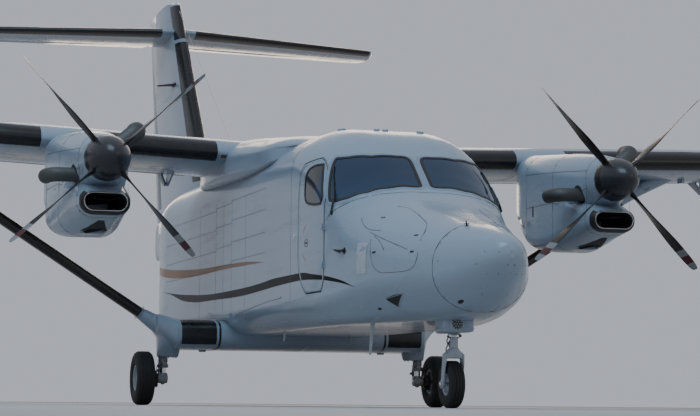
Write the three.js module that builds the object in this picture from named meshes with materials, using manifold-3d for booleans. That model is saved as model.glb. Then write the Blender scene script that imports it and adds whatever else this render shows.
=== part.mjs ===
// A strut-braced, high-wing, twin-turboprop utility airliner with a cruciform tail and fixed tricycle gear,
// standing on its wheels. Millimetres; +X to port, +Y aft, +Z up. The origin is on the ground, under the
// middle of the overall length. Lengthwise places are written as stations, measured aft from a datum near
// the nose, and turned into Y by the function at().
import * as THREE from "three";
import { mergeVertices } from "three/addons/utils/BufferGeometryUtils.js";
import Module from "manifold-3d";

const wasm = await Module();
wasm.setup();

// Driving dimensions
const NOSE_STATION = -70;
const TAIL_STATION = 16720;
const MID_STATION = (NOSE_STATION + TAIL_STATION) / 2;
const HALF_SPAN = 11010;
const SKIN = 50; // thickness of the hollow cabin's walls
const FIT = 0.5; // gap between pieces that rest on each other
const DOOR_GAP = 11;
const FLOOR_Z = 1080;
const FLOOR_STEP = 8; // the floor stands this much above the walls' foot
const CABIN_FRONT = 4000;
const CABIN_BACK = 10470;

const PAINT = { color: 0xe9ecef, roughness: 0.25, metalness: 0.0 };
const GREY_PAINT = { color: 0xb9bdc2, roughness: 0.4, metalness: 0.0 };
const BLACK = { color: 0x17171a, roughness: 0.45, metalness: 0.0 };
const RUBBER = { color: 0x1b1b1c, roughness: 0.85, metalness: 0.0 };
const STEEL = { color: 0x8f9297, roughness: 0.35, metalness: 0.9 };
const GLASS = { color: 0x1c3a55, roughness: 0.05, metalness: 0.0, transparent: true, opacity: 0.35 };
const TRIM = { color: 0x3a3d42, roughness: 0.7, metalness: 0.0 };

const deg = THREE.MathUtils.degToRad;
const at = (x, station, z) => new THREE.Vector3(x, station - MID_STATION, z);
const clamp = THREE.MathUtils.clamp;

// Solids

// A closed surface as a manifold-3d solid that faces out.
function solidFrom(positions, triangles) {
  let volume = 0;
  const v = (i) => new THREE.Vector3().fromArray(positions, 3 * i);
  for (let i = 0; i < triangles.length; i += 3) {
    volume += v(triangles[i]).dot(v(triangles[i + 1]).cross(v(triangles[i + 2])));
  }
  if (volume < 0) {
    for (let i = 0; i < triangles.length; i += 3) {
      [triangles[i + 1], triangles[i + 2]] = [triangles[i + 2], triangles[i + 1]];
    }
  }
  return new wasm.Manifold(
    new wasm.Mesh({
      numProp: 3,
      vertProperties: new Float32Array(positions),
      triVerts: new Uint32Array(triangles),
    }),
  );
}

// Any closed three.js geometry as a solid.
function solidOf(geometry) {
  const bare = geometry.clone();
  bare.deleteAttribute("normal");
  bare.deleteAttribute("uv");
  const merged = mergeVertices(bare, 1e-3);
  return solidFrom(Array.from(merged.attributes.position.array), Array.from(merged.index.array));
}

function geometryOf(solid) {
  const mesh = solid.getMesh();
  const positions = new Float32Array(mesh.numVert * 3);
  for (let i = 0; i < mesh.numVert; i++) {
    positions.set(mesh.vertProperties.subarray(i * mesh.numProp, i * mesh.numProp + 3), i * 3);
  }
  const geometry = new THREE.BufferGeometry();
  geometry.setAttribute("position", new THREE.BufferAttribute(positions, 3));
  geometry.setIndex(new THREE.BufferAttribute(new Uint32Array(mesh.triVerts), 1));
  geometry.computeVertexNormals();
  return geometry;
}

const join = (...solids) => solids.reduce((a, b) => a.add(b));
const cut = (solid, ...tools) => tools.reduce((a, b) => a.subtract(b), solid);

// The sum of a flat ring's edge cross products, which points along its normal.
function ringNormal(ring) {
  const sum = new THREE.Vector3();
  ring.forEach((p, i) => sum.add(p.clone().cross(ring[(i + 1) % ring.length])));
  return sum;
}

// Triangles that fill a flat ring, turned to face along the given direction.
function capTriangles(ring, facing) {
  const n = ringNormal(ring);
  const size = [Math.abs(n.x), Math.abs(n.y), Math.abs(n.z)];
  const drop = size.indexOf(Math.max(...size));
  const flat = ring.map((p) => new THREE.Vector2(...p.toArray().filter((_, i) => i !== drop)));
  return THREE.ShapeUtils.triangulateShape(flat, []).map(([a, b, c]) => {
    const ab = ring[b].clone().sub(ring[a]);
    const ac = ring[c].clone().sub(ring[a]);
    return ab.cross(ac).dot(facing) < 0 ? [a, c, b] : [a, b, c];
  });
}

// A solid through rings that all have the same number of points.
function loft(rings) {
  const count = rings[0].length;
  const positions = rings.flat().flatMap((p) => p.toArray());
  const triangles = [];
  for (let k = 0; k + 1 < rings.length; k++) {
    for (let i = 0; i < count; i++) {
      const a = k * count + i;
      const b = k * count + ((i + 1) % count);
      triangles.push(a, b, b + count, a, b + count, a + count);
    }
  }
  const last = (rings.length - 1) * count;
  const first = rings[0];
  capTriangles(first, ringNormal(first).negate()).forEach((t) => triangles.push(...t));
  const end = rings[rings.length - 1];
  capTriangles(end, ringNormal(end)).forEach((t) => triangles.push(...t.map((i) => i + last)));
  return solidFrom(positions, triangles);
}

// A block between two stations, two heights and two offsets from the centre plane.
function block(x0, x1, s0, s1, z0, z1) {
  const geometry = new THREE.BoxGeometry(Math.abs(x1 - x0), s1 - s0, z1 - z0);
  const middle = at((x0 + x1) / 2, (s0 + s1) / 2, (z0 + z1) / 2);
  return solidOf(geometry.translate(middle.x, middle.y, middle.z));
}

// A round bar or cone from p to q.
function bar(p, q, r0, r1 = r0, sides = 12) {
  const along = q.clone().sub(p);
  const geometry = new THREE.CylinderGeometry(r1, r0, along.length(), sides);
  const turn = new THREE.Quaternion().setFromUnitVectors(
    new THREE.Vector3(0, 1, 0),
    along.clone().normalize(),
  );
  const middle = p.clone().lerp(q, 0.5);
  return solidOf(geometry.applyQuaternion(turn).translate(middle.x, middle.y, middle.z));
}

// A solid turned about a line along X through (x, station, z). Profile points are [offset outboard, radius].
// Its flats touch the stated radius, and one of them faces down.
function turnedAboutX(profile, side, x, station, z, sides) {
  const reach = 1 / Math.cos(Math.PI / sides);
  const points = profile.map(([offset, radius]) => new THREE.Vector2(radius * reach, offset));
  const geometry = new THREE.LatheGeometry(points, sides, Math.PI / sides).rotateZ(-side * deg(90));
  const centre = at(side * x, station, z);
  return solidOf(geometry.translate(centre.x, centre.y, centre.z));
}

// A solid turned about a line along Y through (x, z). Profile points are [station, radius].
function turnedAboutY(profile, x, z, sides) {
  const points = profile.map(([station, radius]) => new THREE.Vector2(radius, station - MID_STATION));
  return solidOf(new THREE.LatheGeometry(points, sides).translate(x, 0, z));
}

// A tube of varying round section along a list of {p, r} with the rings square to the path.
function pipe(stops, sides = 14) {
  const curve = new THREE.CatmullRomCurve3(stops.map((stop) => stop.p));
  const steps = stops.length - 1;
  const frames = curve.computeFrenetFrames(steps, false);
  const rings = [];
  for (let k = 0; k <= steps; k++) {
    const t = k / steps;
    const r = stops[k].r;
    const centre = curve.getPoint(t);
    rings.push(
      Array.from({ length: sides }, (_, j) => {
        const a = (2 * Math.PI * j) / sides;
        return centre
          .clone()
          .addScaledVector(frames.normals[k], r * Math.cos(a))
          .addScaledVector(frames.binormals[k], r * Math.sin(a));
      }),
    );
  }
  return loft(rings);
}

const root = new THREE.Group();

function show(name, solid, look) {
  const material = new THREE.MeshStandardMaterial({ flatShading: true, ...look });
  const mesh = new THREE.Mesh(geometryOf(solid), material);
  mesh.name = name;
  root.add(mesh);
  return solid;
}

// Both sides of the aircraft: the word in the names, and the sign of X.
const SIDES = [
  ["left", 1],
  ["right", -1],
];

// Body sections: flat sides, flat top and bottom, and a quarter ellipse at each corner.

const CORNER_STEPS = 5; // for the fuselage
const POD_STEPS = 4; // for the nacelles, the intakes and the wing fairing
const MIN_FLAT = 4; // the least flat that is left between two corners

// inset shrinks the section; floor, where given, is the inside's lowest height.
function bodyRing(section, inset = 0, floor = null, centre = 0, steps = CORNER_STEPS) {
  const { station, half, low, high, topX, topZ, lowX, lowZ } = section;
  const w = half - inset;
  const z1 = high - inset;
  const z0 = floor === null ? low + inset : floor;
  const top = [clamp(topX - inset, 5, w - MIN_FLAT), clamp(topZ - inset, 5, (z1 - z0) * 0.52)];
  const round = floor === null ? [lowX - inset, lowZ - inset] : [30, 30];
  const low2 = [clamp(round[0], 5, w - MIN_FLAT), clamp(round[1], 5, (z1 - z0) * 0.46)];
  const corners = [
    [w - low2[0], z0 + low2[1], low2, 270],
    [w - top[0], z1 - top[1], top, 0],
    [top[0] - w, z1 - top[1], top, 90],
    [low2[0] - w, z0 + low2[1], low2, 180],
  ];
  const ring = [];
  for (const [x, z, [rx, rz], start] of corners) {
    for (let i = 0; i <= steps; i++) {
      const a = deg(start + (90 * i) / steps);
      ring.push(at(centre + x + rx * Math.cos(a), station, z + rz * Math.sin(a)));
    }
  }
  return ring;
}

const COLUMNS = ["station", "half", "low", "high", "topX", "topZ", "lowX", "lowZ"];
const asSections = (rows) =>
  rows.map((row) => Object.fromEntries(COLUMNS.map((name, i) => [name, row[i]])));

// The section at one station, by a smooth curve through the table.
function sectionAt(sections, station) {
  const last = sections.length - 1;
  let k = sections.findIndex((s) => s.station > station) - 1;
  if (k < 0) k = station <= sections[0].station ? 0 : last - 1;
  const t = (station - sections[k].station) / (sections[k + 1].station - sections[k].station);
  const rows = [k - 1, k, k + 1, k + 2].map((i) => sections[clamp(i, 0, last)]);
  const found = { station };
  for (const name of COLUMNS.slice(1)) {
    const y = rows.map((row) => row[name]);
    const span = rows[2].station - rows[1].station;
    const slope = (i) => {
      const run = rows[i + 1].station - rows[i - 1].station;
      const a = (y[i] - y[i - 1]) * (y[i + 1] - y[i]);
      return a <= 0 || run === 0 ? 0 : ((y[i + 1] - y[i - 1]) / run) * span;
    };
    const t2 = t * t;
    const t3 = t2 * t;
    found[name] =
      (2 * t3 - 3 * t2 + 1) * y[1] +
      (t3 - 2 * t2 + t) * slope(1) +
      (3 * t2 - 2 * t3) * y[2] +
      (t3 - t2) * slope(2);
  }
  return found;
}

// Fuselage

const FUSELAGE_HALF = 980; // half the cabin's width

// station, half width, lowest, highest, top corner's half axes across and up, bottom corner's half axes
const FUSELAGE = asSections([
  [-70, 30, 1370, 1440, 30, 34, 30, 34],
  [-50, 80, 1320, 1490, 80, 84, 80, 80],
  [0, 140, 1258, 1540, 140, 145, 140, 130],
  [100, 205, 1180, 1590, 200, 210, 200, 190],
  [250, 275, 1095, 1635, 268, 275, 268, 245],
  [450, 358, 1012, 1685, 345, 340, 345, 300],
  [750, 480, 908, 1745, 455, 405, 460, 375],
  [1100, 615, 855, 1815, 565, 455, 570, 430],
  [1500, 750, 845, 1915, 640, 500, 590, 430],
  [1950, 862, 845, 2050, 700, 540, 510, 390],
  [2260, 905, 845, 2190, 740, 560, 440, 350],
  [2520, 932, 845, 2400, 740, 600, 380, 320],
  [2790, 955, 845, 2620, 730, 620, 340, 305],
  [3100, 970, 845, 2820, 710, 600, 310, 300],
  [3500, 978, 845, 2950, 680, 560, 300, 300],
  [4000, FUSELAGE_HALF, 845, 3010, 640, 500, 300, 300],
  [10470, FUSELAGE_HALF, 845, 3020, 640, 500, 300, 300],
  [11200, 915, 905, 3020, 600, 480, 330, 330],
  [12000, 755, 1130, 3020, 520, 450, 360, 380],
  [13000, 545, 1470, 3010, 420, 420, 360, 420],
  [14000, 335, 1790, 2990, 290, 380, 290, 420],
  [15000, 150, 2090, 2960, 140, 300, 140, 320],
  [15800, 48, 2330, 2920, 44, 180, 44, 200],
]);

const NOSE_STATIONS = [-70, -50, 0, 100, 250, 450, 600, 760];
const BAY_STATIONS = [760, 920, 1100, 1300, 1500, 1720, 1950];
const COCKPIT_STATIONS = [1950, 2110, 2260, 2390, 2520, 2650, 2790, 2940, 3100, 3300, 3500, 3750, 4000];
const TAIL_STATIONS = [10470, 10800, 11200, 11600, 12000, 12500, 13000, 14000, 15000, 15800];

// The body between stations; the ends may be pulled in by a gap, and inset shrinks every section.
function bodyPart(stations, { inset = 0, floor = null, frontGap = 0, backGap = 0 } = {}) {
  const list = stations.slice();
  list[0] += frontGap;
  list[list.length - 1] -= backGap;
  return loft(list.map((station) => bodyRing(sectionAt(FUSELAGE, station), inset, floor)));
}

// Wing

const WING = {
  rootZ: 2967, // height of the chord line at the centre
  rise: 0.037, // dihedral slope
  tilt: 0.025, // the sections slope down to the rear about this station
  tiltStation: 7200,
  straightTo: 5000, // the chord is constant inboard of this
  noseStation: 6560,
  rootChord: 2200,
  tipChord: 1380,
  tipSetBack: 330,
  rootThick: 0.17,
  tipThick: 0.13,
  hingeStation: 8260, // the line of the control surfaces
};

// An airfoil section: a round nose, and flat sides that run from the thickest part to the tail.
const FOIL_STEPS = [0, 0.012, 0.045, 0.1, 0.19, 0.32, 0.5, 0.75, 1];
const TAIL_THICK = 0.0035;

function foilHalf(share, thick) {
  const tail = -0.126 * share - 0.3516 * share ** 2 + 0.2843 * share ** 3 - 0.1036 * share ** 4;
  const y = 0.2969 * Math.sqrt(share) + tail;
  return 5 * thick * y + TAIL_THICK * share * 0.5;
}

// Points [aft of the nose, up] round an airfoil, from the tail over the top to the tail underneath.
function foil(chord, thick, grow = 0, camber = 0.25) {
  const upper = FOIL_STEPS.slice(1).reverse();
  const points = upper.map((s) => [s * chord, foilHalf(s, thick) * chord * (1 + camber) + grow]);
  points.push([-grow, 0]);
  for (const s of FOIL_STEPS.slice(1)) {
    points.push([s * chord, -foilHalf(s, thick) * chord * (1 - camber) - grow]);
  }
  return points;
}

function wingAt(x) {
  const share = clamp((x - WING.straightTo) / (HALF_SPAN - WING.straightTo), 0, 1);
  return {
    nose: WING.noseStation + WING.tipSetBack * share,
    chord: THREE.MathUtils.lerp(WING.rootChord, WING.tipChord, share),
    thick: THREE.MathUtils.lerp(WING.rootThick, WING.tipThick, share),
    z: WING.rootZ + WING.rise * x,
  };
}

const tiltAt = (station) => (WING.tiltStation - station) * WING.tilt;

function wingRing(side, x, grow = 0, shrink = 1) {
  const { nose, chord, thick, z } = wingAt(x);
  const inset = (chord * (1 - shrink)) / 2;
  return foil(chord * shrink, thick * shrink, grow).map(([aft, up]) => {
    const station = nose + inset + aft;
    return at(side * x, station, z + up + tiltAt(station));
  });
}

// distance out from the centre, share of the full section that is left there
const TIP_ROWS = [
  [10650, 1],
  [10860, 0.93],
  [10975, 0.78],
  [HALF_SPAN, 0.5],
];

function wingSolid(side, grow = 0) {
  const inner = grow ? -30 : FIT / 2;
  const rings = [inner, WING.straightTo].map((x) => wingRing(side, x, grow));
  TIP_ROWS.forEach(([x, share]) => rings.push(wingRing(side, x, grow, share)));
  return loft(rings);
}

// Height of the wing's lower face at a place.
function wingUnder(x, station) {
  const { nose, chord, thick, z } = wingAt(x);
  return z + tiltAt(station) - foilHalf(clamp((station - nose) / chord, 0, 1), thick) * chord * 0.75;
}

// Control surfaces: a nose that is round about the hinge, and two flat sides to the tail.
const SURFACE_GAP = 10;
const NOSE_STEPS = 7;

function surfaceRing(place, hinge, tail, radius, tailHalf, drop = 0) {
  const ring = [];
  for (let i = 0; i <= NOSE_STEPS; i++) {
    const a = deg(90 + (180 * i) / NOSE_STEPS);
    ring.push(place(hinge + radius * Math.cos(a), drop + radius * Math.sin(a)));
  }
  ring.push(place(tail, -tailHalf), place(tail, tailHalf));
  return ring;
}

// The pocket that a control surface turns in: the same nose, larger, and open to the rear.
function pocketRing(place, hinge, tail, radius, drop = 0) {
  const ring = [];
  for (let i = 0; i <= NOSE_STEPS; i++) {
    const a = deg(90 + (180 * i) / NOSE_STEPS);
    ring.push(place(hinge + radius * Math.cos(a), drop + radius * Math.sin(a)));
  }
  const reach = radius + 400;
  ring.push(place(hinge, -reach), place(tail + 300, -reach), place(tail + 300, reach), place(hinge, reach));
  return ring;
}

// Wing control surfaces, as spans from the centre plane outboard.
const FLAP = { from: 1230, to: 6250, pivotStation: 8060, pivotDrop: 250, noseGap: 14 };
const AILERON = { from: 6290, to: 10350 };
const FLAP_ARMS = [1500, 2350, 4300, 5900];

// The wing's thickness at the hinge line, split into the middle height and half the thickness.
function wingHinge(x, station = WING.hingeStation) {
  const { nose, chord, thick, z } = wingAt(x);
  const half = foilHalf((station - nose) / chord, thick) * chord;
  const tail = nose + chord;
  return { z: z + half * 0.25 + tiltAt(station), half, tail, tailZ: z + tiltAt(tail) };
}

function aileronParts(side) {
  const spans = [AILERON.from, AILERON.to];
  const place = (x) => (station, up) => at(side * x, station, wingHinge(x).z + up);
  const surface = spans.map((x, i) => {
    const inset = i ? -SURFACE_GAP : SURFACE_GAP;
    const h = wingHinge(x + inset);
    const tailUp = h.tailZ - h.z;
    const ring = surfaceRing(place(x + inset), WING.hingeStation, h.tail, h.half - 1, 6);
    const n = ring.length;
    ring[n - 1].z += tailUp;
    ring[n - 2].z += tailUp;
    return ring;
  });
  const pocket = spans.map((x) =>
    pocketRing(place(x), WING.hingeStation, wingHinge(x).tail, wingHinge(x).half + SURFACE_GAP),
  );
  const [p, q] = spans.map((x) => place(x)(WING.hingeStation, 0));
  return {
    surface: cut(loft(surface), endPins(p, q, HINGE_PIN.play)),
    pocket: loft(pocket),
    pins: endPins(p, q),
  };
}

// The flap: a small airfoil of its own, carried on arms that reach down to pivots under the wing.
const FLAP_NOSE = 8190;

function flapParts(side) {
  const spans = [FLAP.from, WING.straightTo, FLAP.to];
  const ringAt = (x, inset, station, grow) => {
    const h = wingHinge(x, station);
    const chord = h.tail - station;
    const tailUp = h.tailZ - h.z;
    const rows = [
      [0, 0],
      [0.015, 0.62],
      [0.055, 0.92],
      [0.2, 0.99],
    ];
    const upper = rows.map(([s, t]) => [station + s * chord, (h.half - 2) * t + grow]);
    const lower = rows.slice(1).map(([s, t]) => [station + s * chord, -(h.half - 2) * t - grow]);
    upper[0][0] -= grow;
    const points = [
      ...upper,
      [h.tail + grow, tailUp + 6 + grow],
      [h.tail + grow, tailUp - 6 - grow],
      ...lower.reverse(),
    ];
    return points.map(([s, up]) => at(side * (x + inset), s, h.z + up));
  };
  const insets = [SURFACE_GAP, 0, -SURFACE_GAP];
  const surface = loft(spans.map((x, i) => ringAt(x, insets[i], FLAP_NOSE, 0)));
  const place = (x) => (station, up) => at(side * x, station, wingHinge(x).z + up);
  const pocket = loft(
    [FLAP.from, FLAP.to].map((x) => {
      const p = place(x);
      const front = FLAP_NOSE - FLAP.noseGap;
      return [p(front, -400), p(front + 900, -400), p(front + 900, 400), p(front + 90, 400), p(front, 0)];
    }),
  );
  return { surface, pocket };
}

// The pivot of a flap at one span, below the wing.
const flapPivot = (side, x) => at(side * x, FLAP.pivotStation, WING.rootZ + WING.rise * x - FLAP.pivotDrop);

// A flat plate across X with a triangular outline, from corner points [station, z].
function plate(x, thick, corners) {
  return loft([x - thick / 2, x + thick / 2].map((px) => corners.map(([s, z]) => at(px, s, z))));
}

const BRACKET_THICK = 24;
const ARM_THICK = 20;
const PIVOT_RADIUS = 26;

function flapBracket(side, x) {
  const p = flapPivot(side, x);
  const top = WING.rootZ + WING.rise * x - 60;
  const s = FLAP.pivotStation;
  const wing = plate(side * x, BRACKET_THICK, [
    [s - 560, top],
    [s - 20, top],
    [s + PIVOT_RADIUS, p.z],
    [s, p.z - PIVOT_RADIUS],
    [s - 60, p.z - 20],
  ]);
  return wing;
}

function flapArm(side, x) {
  const px = x + BRACKET_THICK / 2 + ARM_THICK / 2 + 6;
  const p = flapPivot(side, px);
  const h = wingHinge(px, FLAP_NOSE + 180);
  const s = FLAP.pivotStation;
  return plate(side * px, ARM_THICK, [
    [s - PIVOT_RADIUS, p.z],
    [s, p.z - PIVOT_RADIUS],
    [s + 60, p.z - 20],
    [FLAP_NOSE + 330, h.z - h.half + 25],
    [FLAP_NOSE + 120, h.z - h.half + 25],
    [s, p.z + PIVOT_RADIUS],
  ]);
}

// A pin through the wing's bracket that reaches into the flap's arm.
const PIN_RADIUS = 9;
const pivotPin = (side, x, reach) => {
  const p = flapPivot(side, x);
  return bar(
    p.clone().add(new THREE.Vector3(-side * 6, 0, -6 * WING.rise)),
    p.clone().add(new THREE.Vector3(side * reach, 0, reach * WING.rise)),
    PIN_RADIUS,
    PIN_RADIUS,
    PIN_SIDES,
  );
};

// Hinge pins that stand on the fixed side, and the holes for them in the moving side.
const PIN_SIDES = 10;
const HINGE_PIN = { radius: 9, play: 0.5, root: 8, reach: 34 };

// A pin that stands on a pocket's wall at p and points along the hinge line towards q.
function endPin(p, q, extra = 0) {
  const along = q.clone().sub(p).normalize();
  const r = HINGE_PIN.radius + extra;
  const root = p.clone().addScaledVector(along, -HINGE_PIN.root);
  return bar(root, p.clone().addScaledVector(along, HINGE_PIN.reach + extra), r, r, PIN_SIDES);
}

const endPins = (p, q, extra = 0) => join(endPin(p, q, extra), endPin(q, p, extra));

// Strut

const STRUT = { station: 7480, lowX: 1800, lowZ: 1030, topX: 4900, chord: 340, thick: 112 };

function strutRing(side, share, chord, thick, grow = 0) {
  const topZ = wingUnder(STRUT.topX, STRUT.station) + 10;
  const x = THREE.MathUtils.lerp(STRUT.lowX, STRUT.topX, share);
  const z = THREE.MathUtils.lerp(STRUT.lowZ, topZ, share);
  const slope = Math.atan2(topZ - STRUT.lowZ, STRUT.topX - STRUT.lowX);
  return foil(chord, thick / chord, grow, 0).map(([aft, up]) =>
    at(side * (x - up * Math.sin(slope)), STRUT.station - chord * 0.4 + aft, z + up * Math.cos(slope)),
  );
}

function strutSolid(side) {
  const body = loft([0.075, 0.9].map((share) => strutRing(side, share, STRUT.chord, STRUT.thick)));
  const shoe = loft([
    strutRing(side, 0.86, STRUT.chord + 24, STRUT.thick + 20),
    strutRing(side, 0.93, STRUT.chord + 90, STRUT.thick + 60),
    strutRing(side, 1.07, STRUT.chord + 260, STRUT.thick + 190),
  ]);
  return join(body, shoe);
}

// Gear beam: the stub wing under the floor, with the knuckle that carries strut and wheel leg at each end.

const WHEEL_STATION = 7450;
const TRACK_HALF = 1890;
const LEG_X = 1640;
const LEG_TOP = 585; // underside of the leg's fairing
const BEAM = { low: 675, high: 1040, nose: 6930, tail: 7960, endX: 1560 };

// A flat-sided oval lying in the plane across X, about a centre.
function ovalAcrossX(x, station, z, halfLong, halfHigh, count = 16) {
  return Array.from({ length: count }, (_, i) => {
    const a = (2 * Math.PI * (i + 0.5)) / count;
    const power = (v) => Math.sign(v) * Math.abs(v) ** 0.62;
    return at(x, station + halfLong * power(Math.cos(a)), z + halfHigh * power(Math.sin(a)));
  });
}

function ovalAcrossZ(x, station, z, halfWide, halfLong, count = 14) {
  return Array.from({ length: count }, (_, i) => {
    const a = (2 * Math.PI * (i + 0.5)) / count;
    return at(x + halfWide * Math.cos(a), station + halfLong * Math.sin(a), z);
  });
}

function beamSolid(grow = 0) {
  const middle = (BEAM.nose + BEAM.tail) / 2;
  const long = (BEAM.tail - BEAM.nose) / 2 + grow;
  const z = (BEAM.low + BEAM.high) / 2;
  const high = (BEAM.high - BEAM.low) / 2 + grow;
  const ends = [-BEAM.endX, BEAM.endX];
  return loft(ends.map((x) => ovalAcrossX(x, middle, z, long, high)));
}

function knuckleSolid(side) {
  const z = (BEAM.low + BEAM.high) / 2;
  const middle = (BEAM.nose + BEAM.tail) / 2;
  const arm = loft([
    ovalAcrossX(side * 1480, middle, z, 515, 182),
    ovalAcrossX(side * 1570, middle, z + 20, 470, 180),
    ovalAcrossX(side * 1680, middle, z + 95, 330, 145),
    ovalAcrossX(side * 1760, middle, z + 150, 230, 110),
  ]);
  const socket = loft([
    strutRing(side, -0.075, 520, 230),
    strutRing(side, 0.0, 430, 185),
    strutRing(side, 0.075, STRUT.chord + 50, STRUT.thick + 34),
  ]);
  const leg = loft([
    ovalAcrossZ(side * 1560, WHEEL_STATION - 20, z + 60, 165, 400),
    ovalAcrossZ(side * 1570, WHEEL_STATION - 10, 740, 150, 260),
    ovalAcrossZ(side * 1580, WHEEL_STATION, 650, 140, 170),
    ovalAcrossZ(side * 1585, WHEEL_STATION, LEG_TOP, 132, 120),
  ]);
  return join(arm, socket, leg);
}

// Flat-faced round pads for lifting jacks, under the beam.
const JACK_PAD = { x: 1150, station: WHEEL_STATION, radius: 45, face: 655 };

const jackPad = (side) => {
  const { x, station, radius, face } = JACK_PAD;
  return bar(at(side * x, station, face), at(side * x, station, BEAM.low + 40), radius);
};

// Wheels

const MAIN_WHEEL = { radius: 326, width: 220, rim: 150, hubWidth: 170 };
const NOSE_WHEEL = { radius: 232, width: 150, rim: 104, hubWidth: 118 };
const AXLE_RADIUS = 26;
const WHEEL_SIDES = 24;

function tyreProfile({ radius, width, rim }) {
  const w = width / 2;
  const wall = radius - rim;
  return [
    [-w * 0.76, rim],
    [-w, rim + wall * 0.42],
    [-w * 0.88, rim + wall * 0.84],
    [-w * 0.4, radius],
    [w * 0.4, radius],
    [w * 0.88, rim + wall * 0.84],
    [w, rim + wall * 0.42],
    [w * 0.76, rim],
    [-w * 0.76, rim],
  ];
}

function hubProfile({ rim, hubWidth }) {
  const w = hubWidth / 2;
  const bore = AXLE_RADIUS + 1;
  return [
    [-w * 0.5, bore],
    [-w * 0.4, rim * 0.6],
    [-w * 0.55, rim * 0.84],
    [-w, rim - FIT],
    [w, rim - FIT],
    [w * 0.45, rim * 0.84],
    [w * 0.25, rim * 0.6],
    [w * 0.55, rim * 0.42],
    [w * 0.55, bore],
    [-w * 0.5, bore],
  ];
}

function wheelPair(side, x, station, size) {
  return {
    tyre: turnedAboutX(tyreProfile(size), side, x, station, size.radius, WHEEL_SIDES),
    hub: turnedAboutX(hubProfile(size), side, x, station, size.radius, WHEEL_SIDES),
  };
}

// A main leg: cylinder, sliding piston, torque links behind, and the axle that carries the wheel outboard.
function mainLeg(side) {
  const x = side * LEG_X;
  const s = WHEEL_STATION;
  const axleZ = MAIN_WHEEL.radius;
  const cylinder = bar(at(x, s, LEG_TOP - FIT), at(x, s, 470), 58);
  const collar = bar(at(x, s, 500), at(x, s, 455), 68);
  const piston = bar(at(x, s, 470), at(x, s, axleZ), 38);
  const foot = block(x - 50, x + 50, s - 75, s + 62, 262, 388);
  const axleEnd = at(side * (TRACK_HALF + 40), s, axleZ);
  const axle = bar(at(side * (LEG_X - 20), s, axleZ), axleEnd, AXLE_RADIUS, AXLE_RADIUS, WHEEL_SIDES);
  const brake = bar(
    at(side * (LEG_X + 40), s, axleZ),
    at(side * (TRACK_HALF - MAIN_WHEEL.hubWidth / 2 - 12), s, axleZ),
    52,
    96,
  );
  const upperLink = plate(x, 46, [
    [s + 30, 530],
    [s + 175, 440],
    [s + 175, 405],
    [s + 30, 480],
  ]);
  const lowerLink = plate(x, 40, [
    [s + 150, 445],
    [s + 178, 430],
    [s + 70, 300],
    [s + 40, 310],
  ]);
  return join(cylinder, collar, piston, foot, axle, brake, upperLink, lowerLink);
}

// Nose gear: a faired housing under the bay, and a leg with a fork that steers.

const STEER_STATION = 1500;
const NOSE_AXLE_STATION = 1560;
const NOSE_AXLE_END = 122;
const HOUSING = { half: 155, front: 1270, back: 1900, low: 735, high: 1000 };

function housingSolid() {
  const ring = (z, grow) => {
    const w = HOUSING.half + grow;
    const front = HOUSING.front - grow;
    const back = HOUSING.back + grow;
    return [
      at(-w + 60, front, z),
      at(w - 60, front, z),
      at(w - 12, front + 45, z),
      at(w, front + 110, z),
      at(w * 0.9, back - 260, z),
      at(w * 0.35, back, z),
      at(-w * 0.35, back, z),
      at(-w * 0.9, back - 260, z),
      at(-w, front + 110, z),
      at(-w + 12, front + 45, z),
    ];
  };
  return loft([ring(HOUSING.low, -18), ring(HOUSING.low + 22, 0), ring(880, 4), ring(HOUSING.high, 40)]);
}

function noseLeg() {
  const s = STEER_STATION;
  const axleZ = NOSE_WHEEL.radius;
  const spigot = bar(at(0, s, 800), at(0, s, 720), 34, 34, 32);
  const collar = bar(at(0, s, HOUSING.low - FIT), at(0, s, 690), 60);
  const cylinder = bar(at(0, s, 700), at(0, s, 560), 42);
  const link = join(
    plate(0, 36, [
      [s + 30, 690],
      [s + 130, 640],
      [s + 130, 615],
      [s + 30, 640],
    ]),
    plate(0, 30, [
      [s + 105, 640],
      [s + 132, 630],
      [s + 62, 545],
      [s + 30, 545],
    ]),
  );
  const arch = loft(
    [
      [540, 42, 62],
      [575, 58, 66],
      [500, 104, 60],
    ]
      .sort((a, b) => b[0] - a[0])
      .map(([z, wide, long]) => ovalAcrossZ(0, s + 10, z, wide, long)),
  );
  const tines = SIDES.map(([, side]) =>
    loft([
      ovalAcrossZ(side * 88, s + 10, 520, 16, 52),
      ovalAcrossZ(side * 94, s + 18, 420, 13, 48),
      ovalAcrossZ(side * 94, s + 44, 300, 13, 40),
      ovalAcrossZ(side * 92, NOSE_AXLE_STATION, 196, 13, 38),
    ]),
  );
  const end = at(NOSE_AXLE_END, NOSE_AXLE_STATION, axleZ);
  const axle = bar(at(-NOSE_AXLE_END, NOSE_AXLE_STATION, axleZ), end, AXLE_RADIUS, AXLE_RADIUS, 24);
  return join(spigot, collar, cylinder, link, arch, ...tines, axle);
}

// Power plants

const ENGINE = {
  x: 2950,
  z: 2630,
  propStation: 4160,
  propRadius: 1397,
  cavity: 236, // radius of the room for the engine
  back: 6200, // station where that room ends
  shaft: 44, // radius of the shaft that the propeller turns on
  gearbox: [[4350, 120], [4450, 190], [4560, 236]], // station and radius of the steps at its front
  mouth: [[4280, 196], [4370, 196], [4540, 236]], // the same for the room
  sides: 24,
};
const SHAFT_REACH = 85; // how far the shaft reaches into the propeller

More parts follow.
